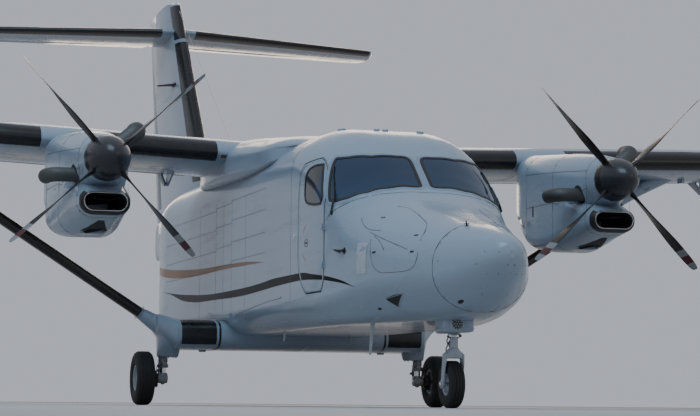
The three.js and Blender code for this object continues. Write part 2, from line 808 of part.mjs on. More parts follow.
// station, half width, lowest, highest, top corner's half axes, bottom corner's half axes
const COWL = asSections([
  [4310, 236, 2394, 2866, 232, 232, 232, 232],
  [4360, 256, 2378, 2894, 250, 250, 250, 250],
  [4500, 280, 2350, 2930, 270, 270, 262, 262],
  [4750, 312, 2260, 2975, 300, 300, 260, 260],
  [5150, 340, 2150, 3030, 320, 310, 220, 220],
  [5700, 364, 2130, 3080, 310, 290, 150, 150],
  [6250, 366, 2160, 3130, 300, 270, 150, 150],
  [6550, 312, 2280, 3160, 260, 240, 150, 150],
  [6850, 190, 2480, 3150, 170, 170, 120, 120],
  [7150, 60, 2740, 3080, 50, 60, 50, 60],
]);

const CHIN = asSections([
  [4295, 244, 2060, 2272, 112, 100, 112, 100],
  [4318, 264, 2042, 2288, 128, 116, 128, 116],
  [4440, 284, 2012, 2335, 150, 130, 180, 160],
  [4700, 308, 1952, 2420, 150, 150, 250, 220],
  [5050, 336, 1890, 2520, 150, 150, 280, 240],
  [5400, 354, 1866, 2600, 150, 150, 240, 200],
  [5800, 366, 1898, 2640, 150, 150, 170, 160],
  [6150, 364, 1990, 2660, 150, 150, 150, 140],
  [6450, 310, 2180, 2680, 140, 140, 150, 140],
  [6750, 190, 2430, 2700, 100, 100, 110, 110],
  [6980, 60, 2650, 2720, 30, 30, 30, 30],
]);

const COWL_STATIONS = [4310, 4360, 4500, 4620, 4750, 5150, 5700, 6250, 6550, 6850, 7150];
const CHIN_STATIONS = [4295, 4318, 4440, 4700, 5050, 5400, 5800, 6150, 6450, 6750, 6980];

function nacelleBody(side) {
  const centre = side * ENGINE.x;
  const cowl = loft(COWL_STATIONS.map((s) => bodyRing(sectionAt(COWL, s), 0, null, centre, POD_STEPS)));
  const chin = loft(CHIN_STATIONS.map((s) => bodyRing(sectionAt(CHIN, s), 0, null, centre, POD_STEPS)));
  return join(cowl, chin);
}

// The intake's throat: a blind duct that narrows to the rear.
function throat(side) {
  const rows = [
    [4285, 232, 2070, 2260, 94],
    [4330, 222, 2080, 2250, 84],
    [5000, 150, 2100, 2250, 70],
  ];
  const rings = rows.map(([station, half, low, high, r]) =>
    bodyRing(
      { station, half, low, high, topX: r, topZ: r, lowX: r, lowZ: r },
      0,
      null,
      side * ENGINE.x,
      POD_STEPS,
    ),
  );
  return loft(rings);
}

// The two exhaust stacks of an engine, alike on both engines: one level to starboard, one raised to port.
const STACK_SIDES = 12;
const STACKS = [
  { across: -1, up: 0, lift: -152, reach: 548, radius: 78, station: 4660 },
  { across: 0.765, up: 0.644, lift: 24, reach: 550, radius: 98, station: 4680 },
];

function stackStops(side, { across, up, lift, reach, station }, radius, start, end) {
  const centre = at(side * ENGINE.x, station, ENGINE.z + lift);
  const out = (distance, aft) =>
    centre.clone().add(new THREE.Vector3(across * distance, aft, up * distance));
  return [
    { p: out(start, 0), r: radius },
    { p: out(reach - 150, 4), r: radius },
    { p: out(reach - 45, 45), r: radius * 1.02 },
    { p: out(reach, 150), r: radius * 1.04 },
    { p: out(reach + 10, end), r: radius * 1.06 },
  ];
}

const stackSolid = (side, stack) =>
  cut(
    pipe(stackStops(side, stack, stack.radius, 60, 260), STACK_SIDES),
    pipe(stackStops(side, stack, stack.radius - 9, 200, 290).slice(1), STACK_SIDES),
  );

const stackHole = (side, stack) => {
  const centre = at(side * ENGINE.x, stack.station, ENGINE.z + stack.lift);
  const end = centre.clone().add(new THREE.Vector3(stack.across * 480, 8, stack.up * 480));
  return bar(centre, end, stack.radius + 20, stack.radius + 20, 14);
};

function engineSolid(side) {
  const front = SPINNER.back - SHAFT_REACH;
  const back = ENGINE.back - 10;
  const steps = ENGINE.gearbox.map(([station, radius]) => [station, Math.min(radius, ENGINE.cavity - FIT)]);
  const profile = [
    [front, 0],
    [front, ENGINE.shaft],
    [steps[0][0], ENGINE.shaft],
    ...steps,
    [back, ENGINE.cavity - FIT],
    [back, 0],
  ];
  const core = turnedAboutY(profile, side * ENGINE.x, ENGINE.z, ENGINE.sides);
  return join(core, ...STACKS.map((stack) => stackSolid(side, stack)));
}

// The opening under the chin: a wedge that is widest and deepest at its back.
const SCOOP = {
  front: 4880,
  back: 5120,
  frontHalf: 60,
  backHalf: 150,
  frontTop: 1985,
  backTop: 1930,
  low: 1800,
};

function scoopSolid(x) {
  const face = (station, half, top) => [
    at(x - half, station, top),
    at(x + half, station, top),
    at(x + half, station, SCOOP.low),
    at(x - half, station, SCOOP.low),
  ];
  return loft([
    face(SCOOP.back, SCOOP.backHalf, SCOOP.backTop),
    face(SCOOP.front, SCOOP.frontHalf, SCOOP.frontTop),
  ]);
}

function nacelleSolid(side) {
  const x = side * ENGINE.x;
  const room = [[ENGINE.mouth[0][0], 0], ...ENGINE.mouth, [ENGINE.back, ENGINE.cavity], [ENGINE.back, 0]];
  return cut(
    nacelleBody(side),
    turnedAboutY(room, x, ENGINE.z, ENGINE.sides),
    throat(side),
    scoopSolid(x),
    wingSolid(side, FIT),
    ...STACKS.map((stack) => stackHole(side, stack)),
  );
}

// Propeller: a hub with four blades, stopped in feather.
// share of the radius, chord, thickness, blade angle from the plane of turning
const BLADE_ROWS = [
  [0.08, 92, 88, 98],
  [0.16, 100, 82, 99],
  [0.25, 158, 50, 99],
  [0.4, 184, 36, 97],
  [0.55, 192, 29, 88.5],
  [0.7, 190, 23, 80.5],
  [0.85, 166, 16, 75.5],
  [0.96, 126, 10, 72],
  [1, 72, 7, 71],
];
const BLADE_RING = [
  [1, 0],
  [0.8, 0.36],
  [0.3, 0.5],
  [-0.45, 0.26],
  [-1, 0.03],
  [-1, -0.03],
  [-0.45, -0.2],
  [0.3, -0.5],
  [0.8, -0.36],
];
const BLADE_TURN = { left: 43.5, right: 42.3 }; // degrees from level to the first blade

const bladeTurn = (side) => (side > 0 ? BLADE_TURN.left : BLADE_TURN.right);

function bladeSolid(side, turn, grow = 0) {
  const radial = new THREE.Vector3(Math.cos(turn), 0, Math.sin(turn));
  const moving = new THREE.Vector3(-Math.sin(turn), 0, Math.cos(turn));
  const forward = new THREE.Vector3(0, -1, 0);
  const centre = at(side * ENGINE.x, ENGINE.propStation, ENGINE.z);
  const rings = BLADE_ROWS.map(([share, chord, thick, angle]) => {
    const a = deg(angle);
    const lead = moving.clone().multiplyScalar(Math.cos(a)).addScaledVector(forward, Math.sin(a));
    const face = moving.clone().multiplyScalar(-Math.sin(a)).addScaledVector(forward, Math.cos(a));
    return BLADE_RING.map(([c, t]) =>
      centre
        .clone()
        .addScaledVector(radial, share * ENGINE.propRadius)
        .addScaledVector(lead, (c * (chord + grow)) / 2)
        .addScaledVector(face, t * (thick + grow)),
    );
  });
  return loft(rings);
}

// The spinner is a nose cone in front of the plane of the blades, and a back part that carries them.
const SPINNER = { back: 4290, front: 3830, radius: 248, shankRoom: 0.6, sides: 24 };
const spinnerRadius = (share) => SPINNER.radius * Math.sqrt(1 - (1 - share) ** 2) ** 1.15;

function propellerSolid(side) {
  const blades = [0, 1, 2, 3].map((i) => bladeSolid(side, deg(bladeTurn(side) + 90 * i)));
  const x = side * ENGINE.x;
  const split = (ENGINE.propStation - SPINNER.front) / (SPINNER.back - SPINNER.front);
  const base = turnedAboutY(
    [
      [ENGINE.propStation + FIT, 0],
      [ENGINE.propStation + FIT, spinnerRadius(split)],
      [SPINNER.back, SPINNER.radius],
      [SPINNER.back, 0],
    ],
    x,
    ENGINE.z,
    SPINNER.sides,
  );
  const bearing = ENGINE.shaft + 1;
  const deep = at(x, SPINNER.back - SHAFT_REACH - 5, ENGINE.z);
  const bore = bar(deep, at(x, SPINNER.back + 20, ENGINE.z), bearing, bearing, ENGINE.sides);
  return cut(join(base, ...blades), bore);
}

function spinnerSolid(side) {
  const x = side * ENGINE.x;
  const shares = [0, 0.03, 0.1, 0.21, 0.35, 0.52, 1];
  const span = SPINNER.back - SPINNER.front;
  const profile = shares.map((t) => [SPINNER.front + t * span, spinnerRadius(t)]);
  const split = ENGINE.propStation;
  profile.splice(6, 1, [split, spinnerRadius((split - SPINNER.front) / span)], [split, 0]);
  const room = 2 * SPINNER.shankRoom;
  const shanks = [0, 1, 2, 3].map((i) => bladeSolid(side, deg(bladeTurn(side) + 90 * i), room));
  const middle = bar(at(x, split - 62, ENGINE.z), at(x, split + 20, ENGINE.z), 128, 128, 20);
  return cut(turnedAboutY(profile, x, ENGINE.z, SPINNER.sides), ...shanks, middle);
}

// Tail

const FIN = {
  rootZ: 2900,
  topZ: 6400,
  noseLow: 11900, // station of the leading edge at rootZ
  noseTop: 14600,
  hingeLow: 15180, // the rudder's hinge line
  hingeTop: 15960,
  tailLow: 15860,
  tailTop: TAIL_STATION,
  thickLow: 0.1,
  thickTop: 0.1,
};

const STAB = {
  z: 5880,
  halfSpan: 3520,
  noseRoot: 14380,
  noseTip: 15290,
  chordRoot: 1700,
  chordTip: 1130,
  thick: 0.11,
  hingeRoot: 15480,
  hingeTip: 16010,
  cutIn: 260, // the elevators start here, clear of the rudder
  centreBack: 15690, // the middle part ends here, in front of the rudder
};

const lerp = THREE.MathUtils.lerp;

function finAt(z) {
  const t = (z - FIN.rootZ) / (FIN.topZ - FIN.rootZ);
  const nose = lerp(FIN.noseLow, FIN.noseTop, t);
  const tail = lerp(FIN.tailLow, FIN.tailTop, t);
  const thick = lerp(FIN.thickLow, FIN.thickTop, t);
  return { nose, chord: tail - nose, thick, hinge: lerp(FIN.hingeLow, FIN.hingeTop, t), tail };
}

function finRing(z, grow = 0, shrink = 1) {
  const { nose, chord, thick } = finAt(z);
  const inset = (chord * (1 - shrink)) / 2;
  return foil(chord * shrink, thick * shrink, grow, 0).map(([aft, up]) => at(up, nose + inset + aft, z));
}

const RUDDER = { low: 3130, high: FIN.topZ + SURFACE_GAP, hingeHeights: [4350, 6150] };
const RUDDER_HINGE = { half: 18, thick: 26, slotThick: 44, slotBack: 45, pinReach: 45 };

// A bracket that reaches from the fin into a slot in the rudder's nose, with a pin through its end.
function rudderHinge(z) {
  const { half, thick, slotThick, slotBack, pinReach } = RUDDER_HINGE;
  const f = finAt(z);
  const room = foilHalf((f.hinge - f.nose) / f.chord, f.thick) * f.chord + SURFACE_GAP;
  const slope = (FIN.hingeTop - FIN.hingeLow) / (FIN.topZ - FIN.rootZ);
  const outline = [
    [-1.6 * half, f.hinge - room - 20],
    [1.6 * half, f.hinge - room - 20],
    [half, f.hinge],
    [0.6 * half, f.hinge + half],
    [-0.6 * half, f.hinge + half],
    [-half, f.hinge],
  ];
  const plateAt = (height) => outline.map(([x, station]) => at(x, station + (height - z) * slope, height));
  const pin = (extra) =>
    bar(
      at(0, f.hinge - (pinReach + extra) * slope, z - pinReach - extra),
      at(0, f.hinge + (pinReach + extra) * slope, z + pinReach + extra),
      HINGE_PIN.radius + extra,
      HINGE_PIN.radius + extra,
      PIN_SIDES,
    );
  const slot = block(-room, room, f.hinge - room, f.hinge + slotBack, z - slotThick / 2, z + slotThick / 2);
  return {
    bracket: join(loft([plateAt(z - thick / 2), plateAt(z + thick / 2)]), pin(0)),
    slot: join(slot, pin(HINGE_PIN.play)),
  };
}

function rudderParts() {
  const place = (z) => (station, up) => at(up, station, z);
  const halfAt = (z) => {
    const f = finAt(z);
    return foilHalf((f.hinge - f.nose) / f.chord, f.thick) * f.chord;
  };
  const surface = [RUDDER.low, RUDDER.high].map((z, i) => {
    const zz = z + (i ? -SURFACE_GAP : SURFACE_GAP);
    const f = finAt(zz);
    return surfaceRing(place(zz), f.hinge, f.tail, halfAt(zz) - 1, 6);
  });
  const pocket = [RUDDER.low, FIN.topZ + 100].map((z) => {
    const f = finAt(z);
    return pocketRing(place(z), f.hinge, f.tail, halfAt(z) + SURFACE_GAP);
  });
  const hinges = RUDDER.hingeHeights.map(rudderHinge);
  const foot = [RUDDER.low, RUDDER.high].map((z) => at(0, finAt(z).hinge, z));
  return {
    surface: cut(loft(surface), endPin(...foot, HINGE_PIN.play), ...hinges.map((h) => h.slot)),
    pocket: loft(pocket),
    brackets: [endPin(...foot), ...hinges.map((h) => h.bracket)],
  };
}

function stabAt(x) {
  const t = clamp(x / STAB.halfSpan, 0, 1);
  return {
    nose: lerp(STAB.noseRoot, STAB.noseTip, t),
    chord: lerp(STAB.chordRoot, STAB.chordTip, t),
    hinge: lerp(STAB.hingeRoot, STAB.hingeTip, t),
  };
}

function stabRing(x, grow = 0, shrink = 1) {
  const { nose, chord } = stabAt(Math.abs(x));
  const inset = (chord * (1 - shrink)) / 2;
  const points = foil(chord * shrink, STAB.thick * shrink, grow, 0);
  return points.map(([aft, up]) => at(x, nose + inset + aft, STAB.z + up));
}

function stabSolid(grow = 0) {
  const h = STAB.halfSpan;
  return loft([
    stabRing(-h, grow, 0.7),
    stabRing(-h + 60, grow, 0.95),
    stabRing(0, grow),
    stabRing(h - 60, grow, 0.95),
    stabRing(h, grow, 0.7),
  ]);
}

function elevatorParts(side) {
  const place = (x) => (station, up) => at(side * x, station, STAB.z + up);
  const halfAt = (x) => {
    const s = stabAt(x);
    return foilHalf((s.hinge - s.nose) / s.chord, STAB.thick) * s.chord;
  };
  const outer = STAB.halfSpan - 200;
  const surface = [STAB.cutIn + SURFACE_GAP, outer - SURFACE_GAP].map((x) => {
    const s = stabAt(x);
    return surfaceRing(place(x), s.hinge, s.nose + s.chord, halfAt(x) - 1, 5);
  });
  const pocket = [STAB.cutIn, outer].map((x) => {
    const s = stabAt(x);
    return pocketRing(place(x), s.hinge, s.nose + s.chord, halfAt(x) + SURFACE_GAP);
  });
  const [p, q] = [STAB.cutIn, outer].map((x) => place(x)(stabAt(x).hinge, 0));
  return {
    surface: cut(loft(surface), endPins(p, q, HINGE_PIN.play)),
    pocket: loft(pocket),
    pins: endPins(p, q),
  };
}

// Doors and windows

// Outlines in side view, as [station, height] corners.
const CREW_DOOR = [
  [2865, 1185],
  [3390, 1185],
  [3545, 1275],
  [3665, 1420],
  [3712, 1600],
  [3712, 2180],
  [3640, 2470],
  [3560, 2570],
  [3220, 2600],
  [3120, 2560],
  [3020, 2490],
  [2920, 2385],
  [2800, 2170],
  [2790, 2030],
  [2790, 1300],
];
const CREW_WINDOW = [
  [2910, 2092],
  [3110, 2100],
  [3385, 2135],
  [3462, 2207],
  [3430, 2430],
  [3380, 2493],
  [3270, 2521],
  [3100, 2515],
  [2968, 2334],
  [2866, 2140],
];
const CARGO_DOOR = [
  [8860, 1130],
  [10450, 1130],
  [10450, 2800],
  [8860, 2800],
];

// The outline with every edge moved out by a distance; corners follow in step.
function grown(outline, distance) {
  const n = outline.length;
  let turn = 0;
  outline.forEach(([a, b], i) => {
    const [c, d] = outline[(i + 1) % n];
    turn += a * d - b * c;
  });
  const sign = Math.sign(turn);
  const edge = (i) => {
    const [a, b] = outline[(i + n) % n];
    const [c, d] = outline[(i + 1 + n) % n];
    const length = Math.hypot(c - a, d - b);
    return { nx: (sign * (d - b)) / length, nz: (-sign * (c - a)) / length };
  };
  return outline.map(([s, z], i) => {
    const [e, f] = [edge(i - 1), edge(i)];
    const scale = distance / (1 + e.nx * f.nx + e.nz * f.nz);
    return [s + (e.nx + f.nx) * scale, z + (e.nz + f.nz) * scale];
  });
}

// A slab across one side of the body with an outline in side view.
function sideCutter(side, outline, grow, x0 = 300, x1 = 1300) {
  return loft([x0, x1].map((x) => grown(outline, grow).map(([s, z]) => at(side * x, s, z))));
}

// A windscreen pane in front view: [x, z] corners, cut straight back as far as a leaning plane.
const PANE = [
  [58, 2236],
  [255, 2231],
  [478, 2200],
  [666, 2151],
  [793, 2107],
  [872, 2083],
  [897, 2102],
  [893, 2184],
  [860, 2343],
  [818, 2460],
  [780, 2525],
  [728, 2556],
  [600, 2570],
  [406, 2574],
  [98, 2580],
  [55, 2537],
];
const PANE_FRONT = 1980;
const PANE_BACK = { z: 2080, station: 2700, slope: 0.64 };

function paneCutter(side, shrink = 0) {
  const outline = grown(PANE, -shrink);
  const back = (z) => PANE_BACK.station - shrink + (z - PANE_BACK.z) * PANE_BACK.slope;
  return loft([
    outline.map(([x, z]) => at(side * x, PANE_FRONT, z)),
    outline.map(([x, z]) => at(side * x, back(z), z)),
  ]);
}

// Door hinges outside the skin: a fixed knuckle with a pin, and a knuckle on the door that turns on it.
const KNUCKLE = { radius: 13, pin: 7, gap: 1, length: 34 };
const CREW_HINGE = { x: 975, station: 2783, heights: [1449, 1838], reach: 60, sink: 46 };
const CARGO_HINGE = {
  x: 885,
  z: 2812,
  stations: [9000, 9655, 10310],
  up: 34, // how far up and inward the fixed strap's foot lies
  sink: 98,
  down: 60, // how far down and inward the door strap's foot lies
  leafSink: 20,
};

// One hinge along a line from a point. The strap of each half runs from the line to its own foot.
function hingeHalves(point, along, fixedFoot, doorFoot) {
  const { radius, pin, gap, length } = KNUCKLE;
  const spot = (distance, toward = null, share = 0) => {
    const p = point.clone().addScaledVector(along, distance);
    return toward ? p.addScaledVector(toward, share) : p;
  };
  const strap = (from, to, foot) => {
    const across = new THREE.Vector3().crossVectors(along, foot).normalize().multiplyScalar(radius * 0.6);
    return loft(
      [from, to].map((distance) => [
        spot(distance).add(across),
        spot(distance, foot, 1).add(across),
        spot(distance, foot, 1).sub(across),
        spot(distance).sub(across),
      ]),
    );
  };
  const round = (from, to, r) => bar(spot(from), spot(to), r, r, PIN_SIDES);
  const fixed = join(
    round(-length, -gap, radius),
    round(-length, length - gap, pin),
    ...fixedFoot.map((foot) => strap(-length, -gap, foot)),
  );
  const hole = round(-gap, length + gap, pin + HINGE_PIN.play);
  const moving = cut(join(round(0, length, radius), ...doorFoot.map((foot) => strap(0, length, foot))), hole);
  return { fixed, moving };
}

const UP = new THREE.Vector3(0, 0, 1);
const AFT = new THREE.Vector3(0, 1, 0);

// The hinges of a crew door, on an upright line just outside its front edge.
const crewHinges = (side) =>
  CREW_HINGE.heights.map((z) => {
    const { x, station, reach, sink } = CREW_HINGE;
    const inward = -side * sink;
    const fixedFoot = new THREE.Vector3(inward, -reach, 0);
    const doorFoot = new THREE.Vector3(inward, reach, 0);
    return hingeHalves(at(side * x, station, z), UP, [fixedFoot], [doorFoot]);
  });

// The hinges along the top of the cargo door.
const cargoHinges = () =>
  CARGO_HINGE.stations.map((station) => {
    const { x, z, up, sink, down, leafSink } = CARGO_HINGE;
    const fixedFoot = new THREE.Vector3(-sink, 0, up);
    const doorFoot = new THREE.Vector3(-leafSink, 0, -down);
    return hingeHalves(at(x, station, z), AFT, [fixedFoot], [doorFoot]);
  });

// Cockpit fittings: floor console, panel under a coaming, and two seats, all on one floor plate.
function cockpitFittings() {
  const floor = block(-700, 700, 2150, 3900, FLOOR_Z + FIT, FLOOR_Z + 30);
  const panel = block(-640, 640, 2330, 2420, FLOOR_Z + 20, 1960);
  const coaming = block(-660, 660, 2300, 2520, 1940, 1995);
  const console = block(-110, 110, 2400, 2900, FLOOR_Z + 20, 1560);
  const seats = SIDES.map(([, side]) => {
    const x = side * 400;
    const pedestal = block(x - 140, x + 140, 3000, 3330, FLOOR_Z + 20, 1420);
    const cushion = block(x - 230, x + 230, 2900, 3400, 1400, 1530);
    const back = loft(
      [
        [1500, 3340, 3480, 220],
        [2080, 3440, 3560, 215],
        [2120, 3450, 3550, 110],
        [2320, 3490, 3580, 110],
      ].map(([z, s0, s1, w]) => [at(x - w, s0, z), at(x + w, s0, z), at(x + w, s1, z), at(x - w, s1, z)]),
    );
    const column = bar(at(x, 2380, 1700), at(x, 2620, 1740), 18, 18, 10);
    const wheel = block(x - 150, x + 150, 2600, 2635, 1700, 1790);
    return join(pedestal, cushion, back, column, wheel);
  });
  return join(floor, panel, coaming, console, ...seats);
}

// Assembly

const wings = Object.fromEntries(SIDES.map(([name, side]) => [name, wingSolid(side, FIT)]));
const beamSpace = beamSolid(FIT);

function buildFuselage() {
  show("radome", bodyPart(NOSE_STATIONS), PAINT);
  const gearSeat = block(-200, 200, 1200, 1950, 700, 870);
  show("nose_bay", cut(bodyPart(BAY_STATIONS, { frontGap: FIT }), gearSeat), PAINT);

  const shell = cut(
    bodyPart(COCKPIT_STATIONS, { frontGap: FIT }),
    bodyPart([2080, 2260, 2520, 2790, 3100, 3500, 4100], { inset: SKIN, floor: FLOOR_Z }),
  );
  const openings = SIDES.flatMap(([, side]) => [paneCutter(side), sideCutter(side, CREW_DOOR, DOOR_GAP)]);
  const hinges = Object.fromEntries(SIDES.map(([name, side]) => [name, crewHinges(side)]));
  const fixedHalves = Object.values(hinges).flatMap((pair) => pair.map((h) => h.fixed));
  show("cockpit_shell", join(cut(shell, ...openings), ...fixedHalves), PAINT);

  for (const [name, side] of SIDES) {
    const leaf = shell.intersect(sideCutter(side, CREW_DOOR, 0));
    const panel = cut(leaf, sideCutter(side, CREW_WINDOW, 0));
    show(`crew_door_${name}`, join(panel, ...hinges[name].map((h) => h.moving)), PAINT);
    const layer = (inset) => bodyPart([2100, 2260, 2390, 2520, 2790, 3100, 3500, 3900], { inset });
    const glassSkin = cut(layer(14), layer(26));
    show(`windscreen_${name}`, glassSkin.intersect(paneCutter(side, FIT)), GLASS);
    show(`crew_window_${name}`, glassSkin.intersect(sideCutter(side, CREW_WINDOW, -FIT)), GLASS);
  }
  show("cockpit_fittings", cockpitFittings(), TRIM);

  // The cabin is split where its panels meet: floor and belly, two sides, roof, and the cargo door.
  const cabinStations = [CABIN_FRONT, CABIN_BACK];
  const solid = bodyPart(cabinStations, { frontGap: FIT });
  const hollow = bodyPart([CABIN_FRONT - 50, CABIN_BACK + 50], { inset: SKIN, floor: FLOOR_Z });
  const tube = cut(solid, hollow);
  const eaves = 2520;
  const far = 1500;
  const reach = [CABIN_FRONT - 10, CABIN_BACK + 10];
  const door = sideCutter(1, CARGO_DOOR, DOOR_GAP);
  const foot = FLOOR_Z - FLOOR_STEP;
  const half = FUSELAGE_HALF - SKIN - 40;
  const floor = block(-half, half, CABIN_FRONT + FIT, CABIN_BACK, foot - FLOOR_STEP, FLOOR_Z);
  const floorSpace = block(-half - FIT, half + FIT, ...reach, foot - FLOOR_STEP, FLOOR_Z);
  const belly = cut(solid.intersect(block(-far, far, ...reach, 0, foot)), beamSpace);
  show("cabin_belly", join(belly, floor), PAINT);
  const band = (side) => block(side * 300, side * far, ...reach, foot + FIT, eaves - FIT);
  const sideBand = (side) => cut(tube.intersect(band(side)), floorSpace);
  show("cabin_side_right", sideBand(-1), PAINT);
  const leftBack = CARGO_DOOR[0][0] - DOOR_GAP;
  show("cabin_side_left", cut(sideBand(1), block(300, far, leftBack, reach[1], 0, 3500)), PAINT);
  const roof = tube.intersect(block(-far, far, ...reach, eaves, 3500));
  const roofHinges = cargoHinges();
  const roofPanel = cut(roof, door, wings.left, wings.right);
  show("cabin_roof", join(roofPanel, ...roofHinges.map((h) => h.fixed)), PAINT);
  const doorLeaf = tube.intersect(sideCutter(1, CARGO_DOOR, 0));
  show("cargo_door", join(doorLeaf, ...roofHinges.map((h) => h.moving)), PAINT);
}

// The fairing that leads the wing into the roof, over and behind it.
function buildFairing() {
  const rows = asSections([
    [4350, 560, 2860, 2985, 380, 90, 60, 20],
    [5000, 930, 2745, 3070, 560, 300, 60, 20],
    [5600, 1005, 2700, 3125, 560, 360, 60, 50],
    [6200, 1070, 2680, 3185, 560, 400, 90, 90],
    [6900, 1095, 2690, 3240, 560, 430, 110, 100],
    [7700, 1060, 2715, 3215, 560, 410, 100, 90],
    [8400, 970, 2755, 3140, 560, 340, 70, 60],
    [8840, 880, 2790, 3095, 560, 260, 60, 30],
    [9600, 480, 2850, 3050, 360, 60, 60, 20],
    [10200, 220, 2920, 3022, 160, 30, 60, 20],
  ]);
  const body = loft(rows.map((row) => bodyRing(row, 0, null, 0, POD_STEPS)));
  const fuselage = bodyPart([3500, 4000, 4001, CABIN_BACK, 10800], { inset: -FIT });
  const doorRoom = block(0, 1400, 8780, 11000, 2500, 2900);
  show("wing_fairing", cut(body, fuselage, wings.left, wings.right, doorRoom), PAINT);
}

// The round hatch in the bulkhead behind the cabin.
const HATCH = { z: 1900, radius: 300 };

// A lug for a tie-down rope, with a flat lower face.
const LUG = { half: 16, long: 70 };
const TAIL_LUG_STATION = 12500;
const TAIL_LUG_FACE = 1200;
const WING_LUG = { x: 5250, station: 7300, drop: 45 };

const tiedownLug = (x, station, face, top) =>
  block(x - LUG.half, x + LUG.half, station - LUG.long, station + LUG.long, face, top);

function buildTail() {
  const rudder = rudderParts();
  const stabSpace = stabSolid(FIT);
  const hollowStations = [CABIN_BACK + SKIN, 10800, 11200, 12000, 13000, 14000, 14600];
  const hatch = bar(at(0, CABIN_BACK - 50, HATCH.z), at(0, CABIN_BACK + 100, HATCH.z), HATCH.radius);
  const tailShell = cut(
    bodyPart(TAIL_STATIONS, { frontGap: FIT }),
    bodyPart(hollowStations, { inset: SKIN }),
    hatch,
  );
  const finRings = [2960, 6250].map((z) => finRing(z));
  finRings.push(finRing(6355, 0, 0.97), finRing(FIN.topZ, 0, 0.9));
  const dorsal = loft([
    [at(-30, 10900, 2950), at(30, 10900, 2950), at(14, 10900, 3045), at(-14, 10900, 3045)],
    [at(-60, 12700, 2950), at(60, 12700, 2950), at(26, 12700, 3420), at(-26, 12700, 3420)],
    [at(-80, 13100, 2950), at(80, 13100, 2950), at(40, 13100, 3500), at(-40, 13100, 3500)],
  ]);
  const tailSpace = bodyPart(TAIL_STATIONS, { inset: -FIT });
  const finBody = cut(join(loft(finRings), dorsal), rudder.pocket, tailSpace, stabSpace);
  show("fin", join(finBody, ...rudder.brackets), PAINT);
  const lug = tiedownLug(0, TAIL_LUG_STATION, TAIL_LUG_FACE, 1400);
  show("tail_cone", join(tailShell, lug), PAINT);
  show("rudder", rudder.surface, PAINT);
  const elevators = SIDES.map(([name, side]) => [name, elevatorParts(side)]);
  const rudderSwing = block(-STAB.cutIn, STAB.cutIn, STAB.centreBack, 17200, 5000, 6500);
  const stabBody = cut(stabSolid(), ...elevators.map(([, e]) => e.pocket), rudderSwing);
  show("stabilizer", join(stabBody, ...elevators.map(([, e]) => e.pins)), PAINT);
  elevators.forEach(([name, e]) => show(`elevator_${name}`, e.surface, PAINT));
}

function buildWings() {
  for (const [name, side] of SIDES) {
    const aileron = aileronParts(side);
    const flap = flapParts(side);
    const brackets = FLAP_ARMS.map((x) => join(flapBracket(side, x), pivotPin(side, x, 36)));
    const arms = FLAP_ARMS.map((x) => flapArm(side, x));
    const holes = FLAP_ARMS.map((x) => {
      const p = flapPivot(side, x);
      const q = p.clone().add(new THREE.Vector3(side * 60, 0, 60 * WING.rise));
      return bar(p, q, PIN_RADIUS + 0.6, PIN_RADIUS + 0.6, PIN_SIDES);
    });
    const panel = cut(wingSolid(side), aileron.pocket, flap.pocket);
    const lugRoot = wingUnder(WING_LUG.x, WING_LUG.station);
    const lug = tiedownLug(side * WING_LUG.x, WING_LUG.station, lugRoot - WING_LUG.drop, lugRoot + 30);
    show(`wing_${name}`, join(panel, lug, aileron.pins, ...brackets), PAINT);
    show(`aileron_${name}`, aileron.surface, PAINT);
    show(`flap_${name}`, cut(join(flap.surface, ...arms), ...holes), PAINT);
    show(`strut_${name}`, cut(strutSolid(side), wings[name]), PAINT);
  }
}

function buildGear() {
  const knuckles = SIDES.flatMap(([, side]) => [knuckleSolid(side), jackPad(side)]);
  const wide = STRUT.chord + 2 * FIT;
  const high = STRUT.thick + 2 * FIT;
  const struts = SIDES.map(([, side]) =>
    loft([0.06, 0.5].map((share) => strutRing(side, share, wide, high, FIT))),
  );
  show("gear_beam", cut(join(beamSolid(), ...knuckles), ...struts), PAINT);
  for (const [name, side] of SIDES) {
    show(`main_leg_${name}`, mainLeg(side), GREY_PAINT);
    const { tyre, hub } = wheelPair(side, TRACK_HALF, WHEEL_STATION, MAIN_WHEEL);
    show(`main_tyre_${name}`, tyre, RUBBER);
    show(`main_hub_${name}`, hub, STEEL);
  }
  const socket = bar(at(0, STEER_STATION, 600), at(0, STEER_STATION, 802), 35, 35, 32);
  const bay = bodyPart([1100, 1300, 1500, 1720, 1950], { inset: -FIT });
  const belly = cut(bay, block(-200, 200, 1200, 1950, 700, 870));
  const above = block(-600, 600, 600, 2300, 869.5, 1300);
  show("nose_gear_housing", cut(housingSolid(), socket, belly, above), GREY_PAINT);
  show("nose_leg", noseLeg(), GREY_PAINT);
  const { tyre, hub } = wheelPair(1, 0, NOSE_AXLE_STATION, NOSE_WHEEL);
  show("nose_tyre", tyre, RUBBER);
  show("nose_hub", hub, STEEL);
}

function buildPower() {
  for (const [name, side] of SIDES) {
    show(`nacelle_${name}`, nacelleSolid(side), PAINT);
    show(`engine_${name}`, engineSolid(side), STEEL);
    show(`propeller_${name}`, propellerSolid(side), BLACK);
    show(`spinner_${name}`, spinnerSolid(side), BLACK);
  }
}

buildFuselage();
buildFairing();
buildTail();
buildWings();
buildGear();
buildPower();

export default root;
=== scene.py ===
"""A high-winged twin-turboprop airliner on its wheels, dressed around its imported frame.

The aircraft's nose points to -Y, its left side is +X and the ground is Z = 0, in metres. Places
along the aircraft are stations: metres behind a point close to the tip of the nose.
"""

import logging
import math
from dataclasses import dataclass
from enum import Enum
from functools import lru_cache
from typing import Callable, Iterable, Sequence

import bmesh
import bpy
from mathutils import Matrix, Vector


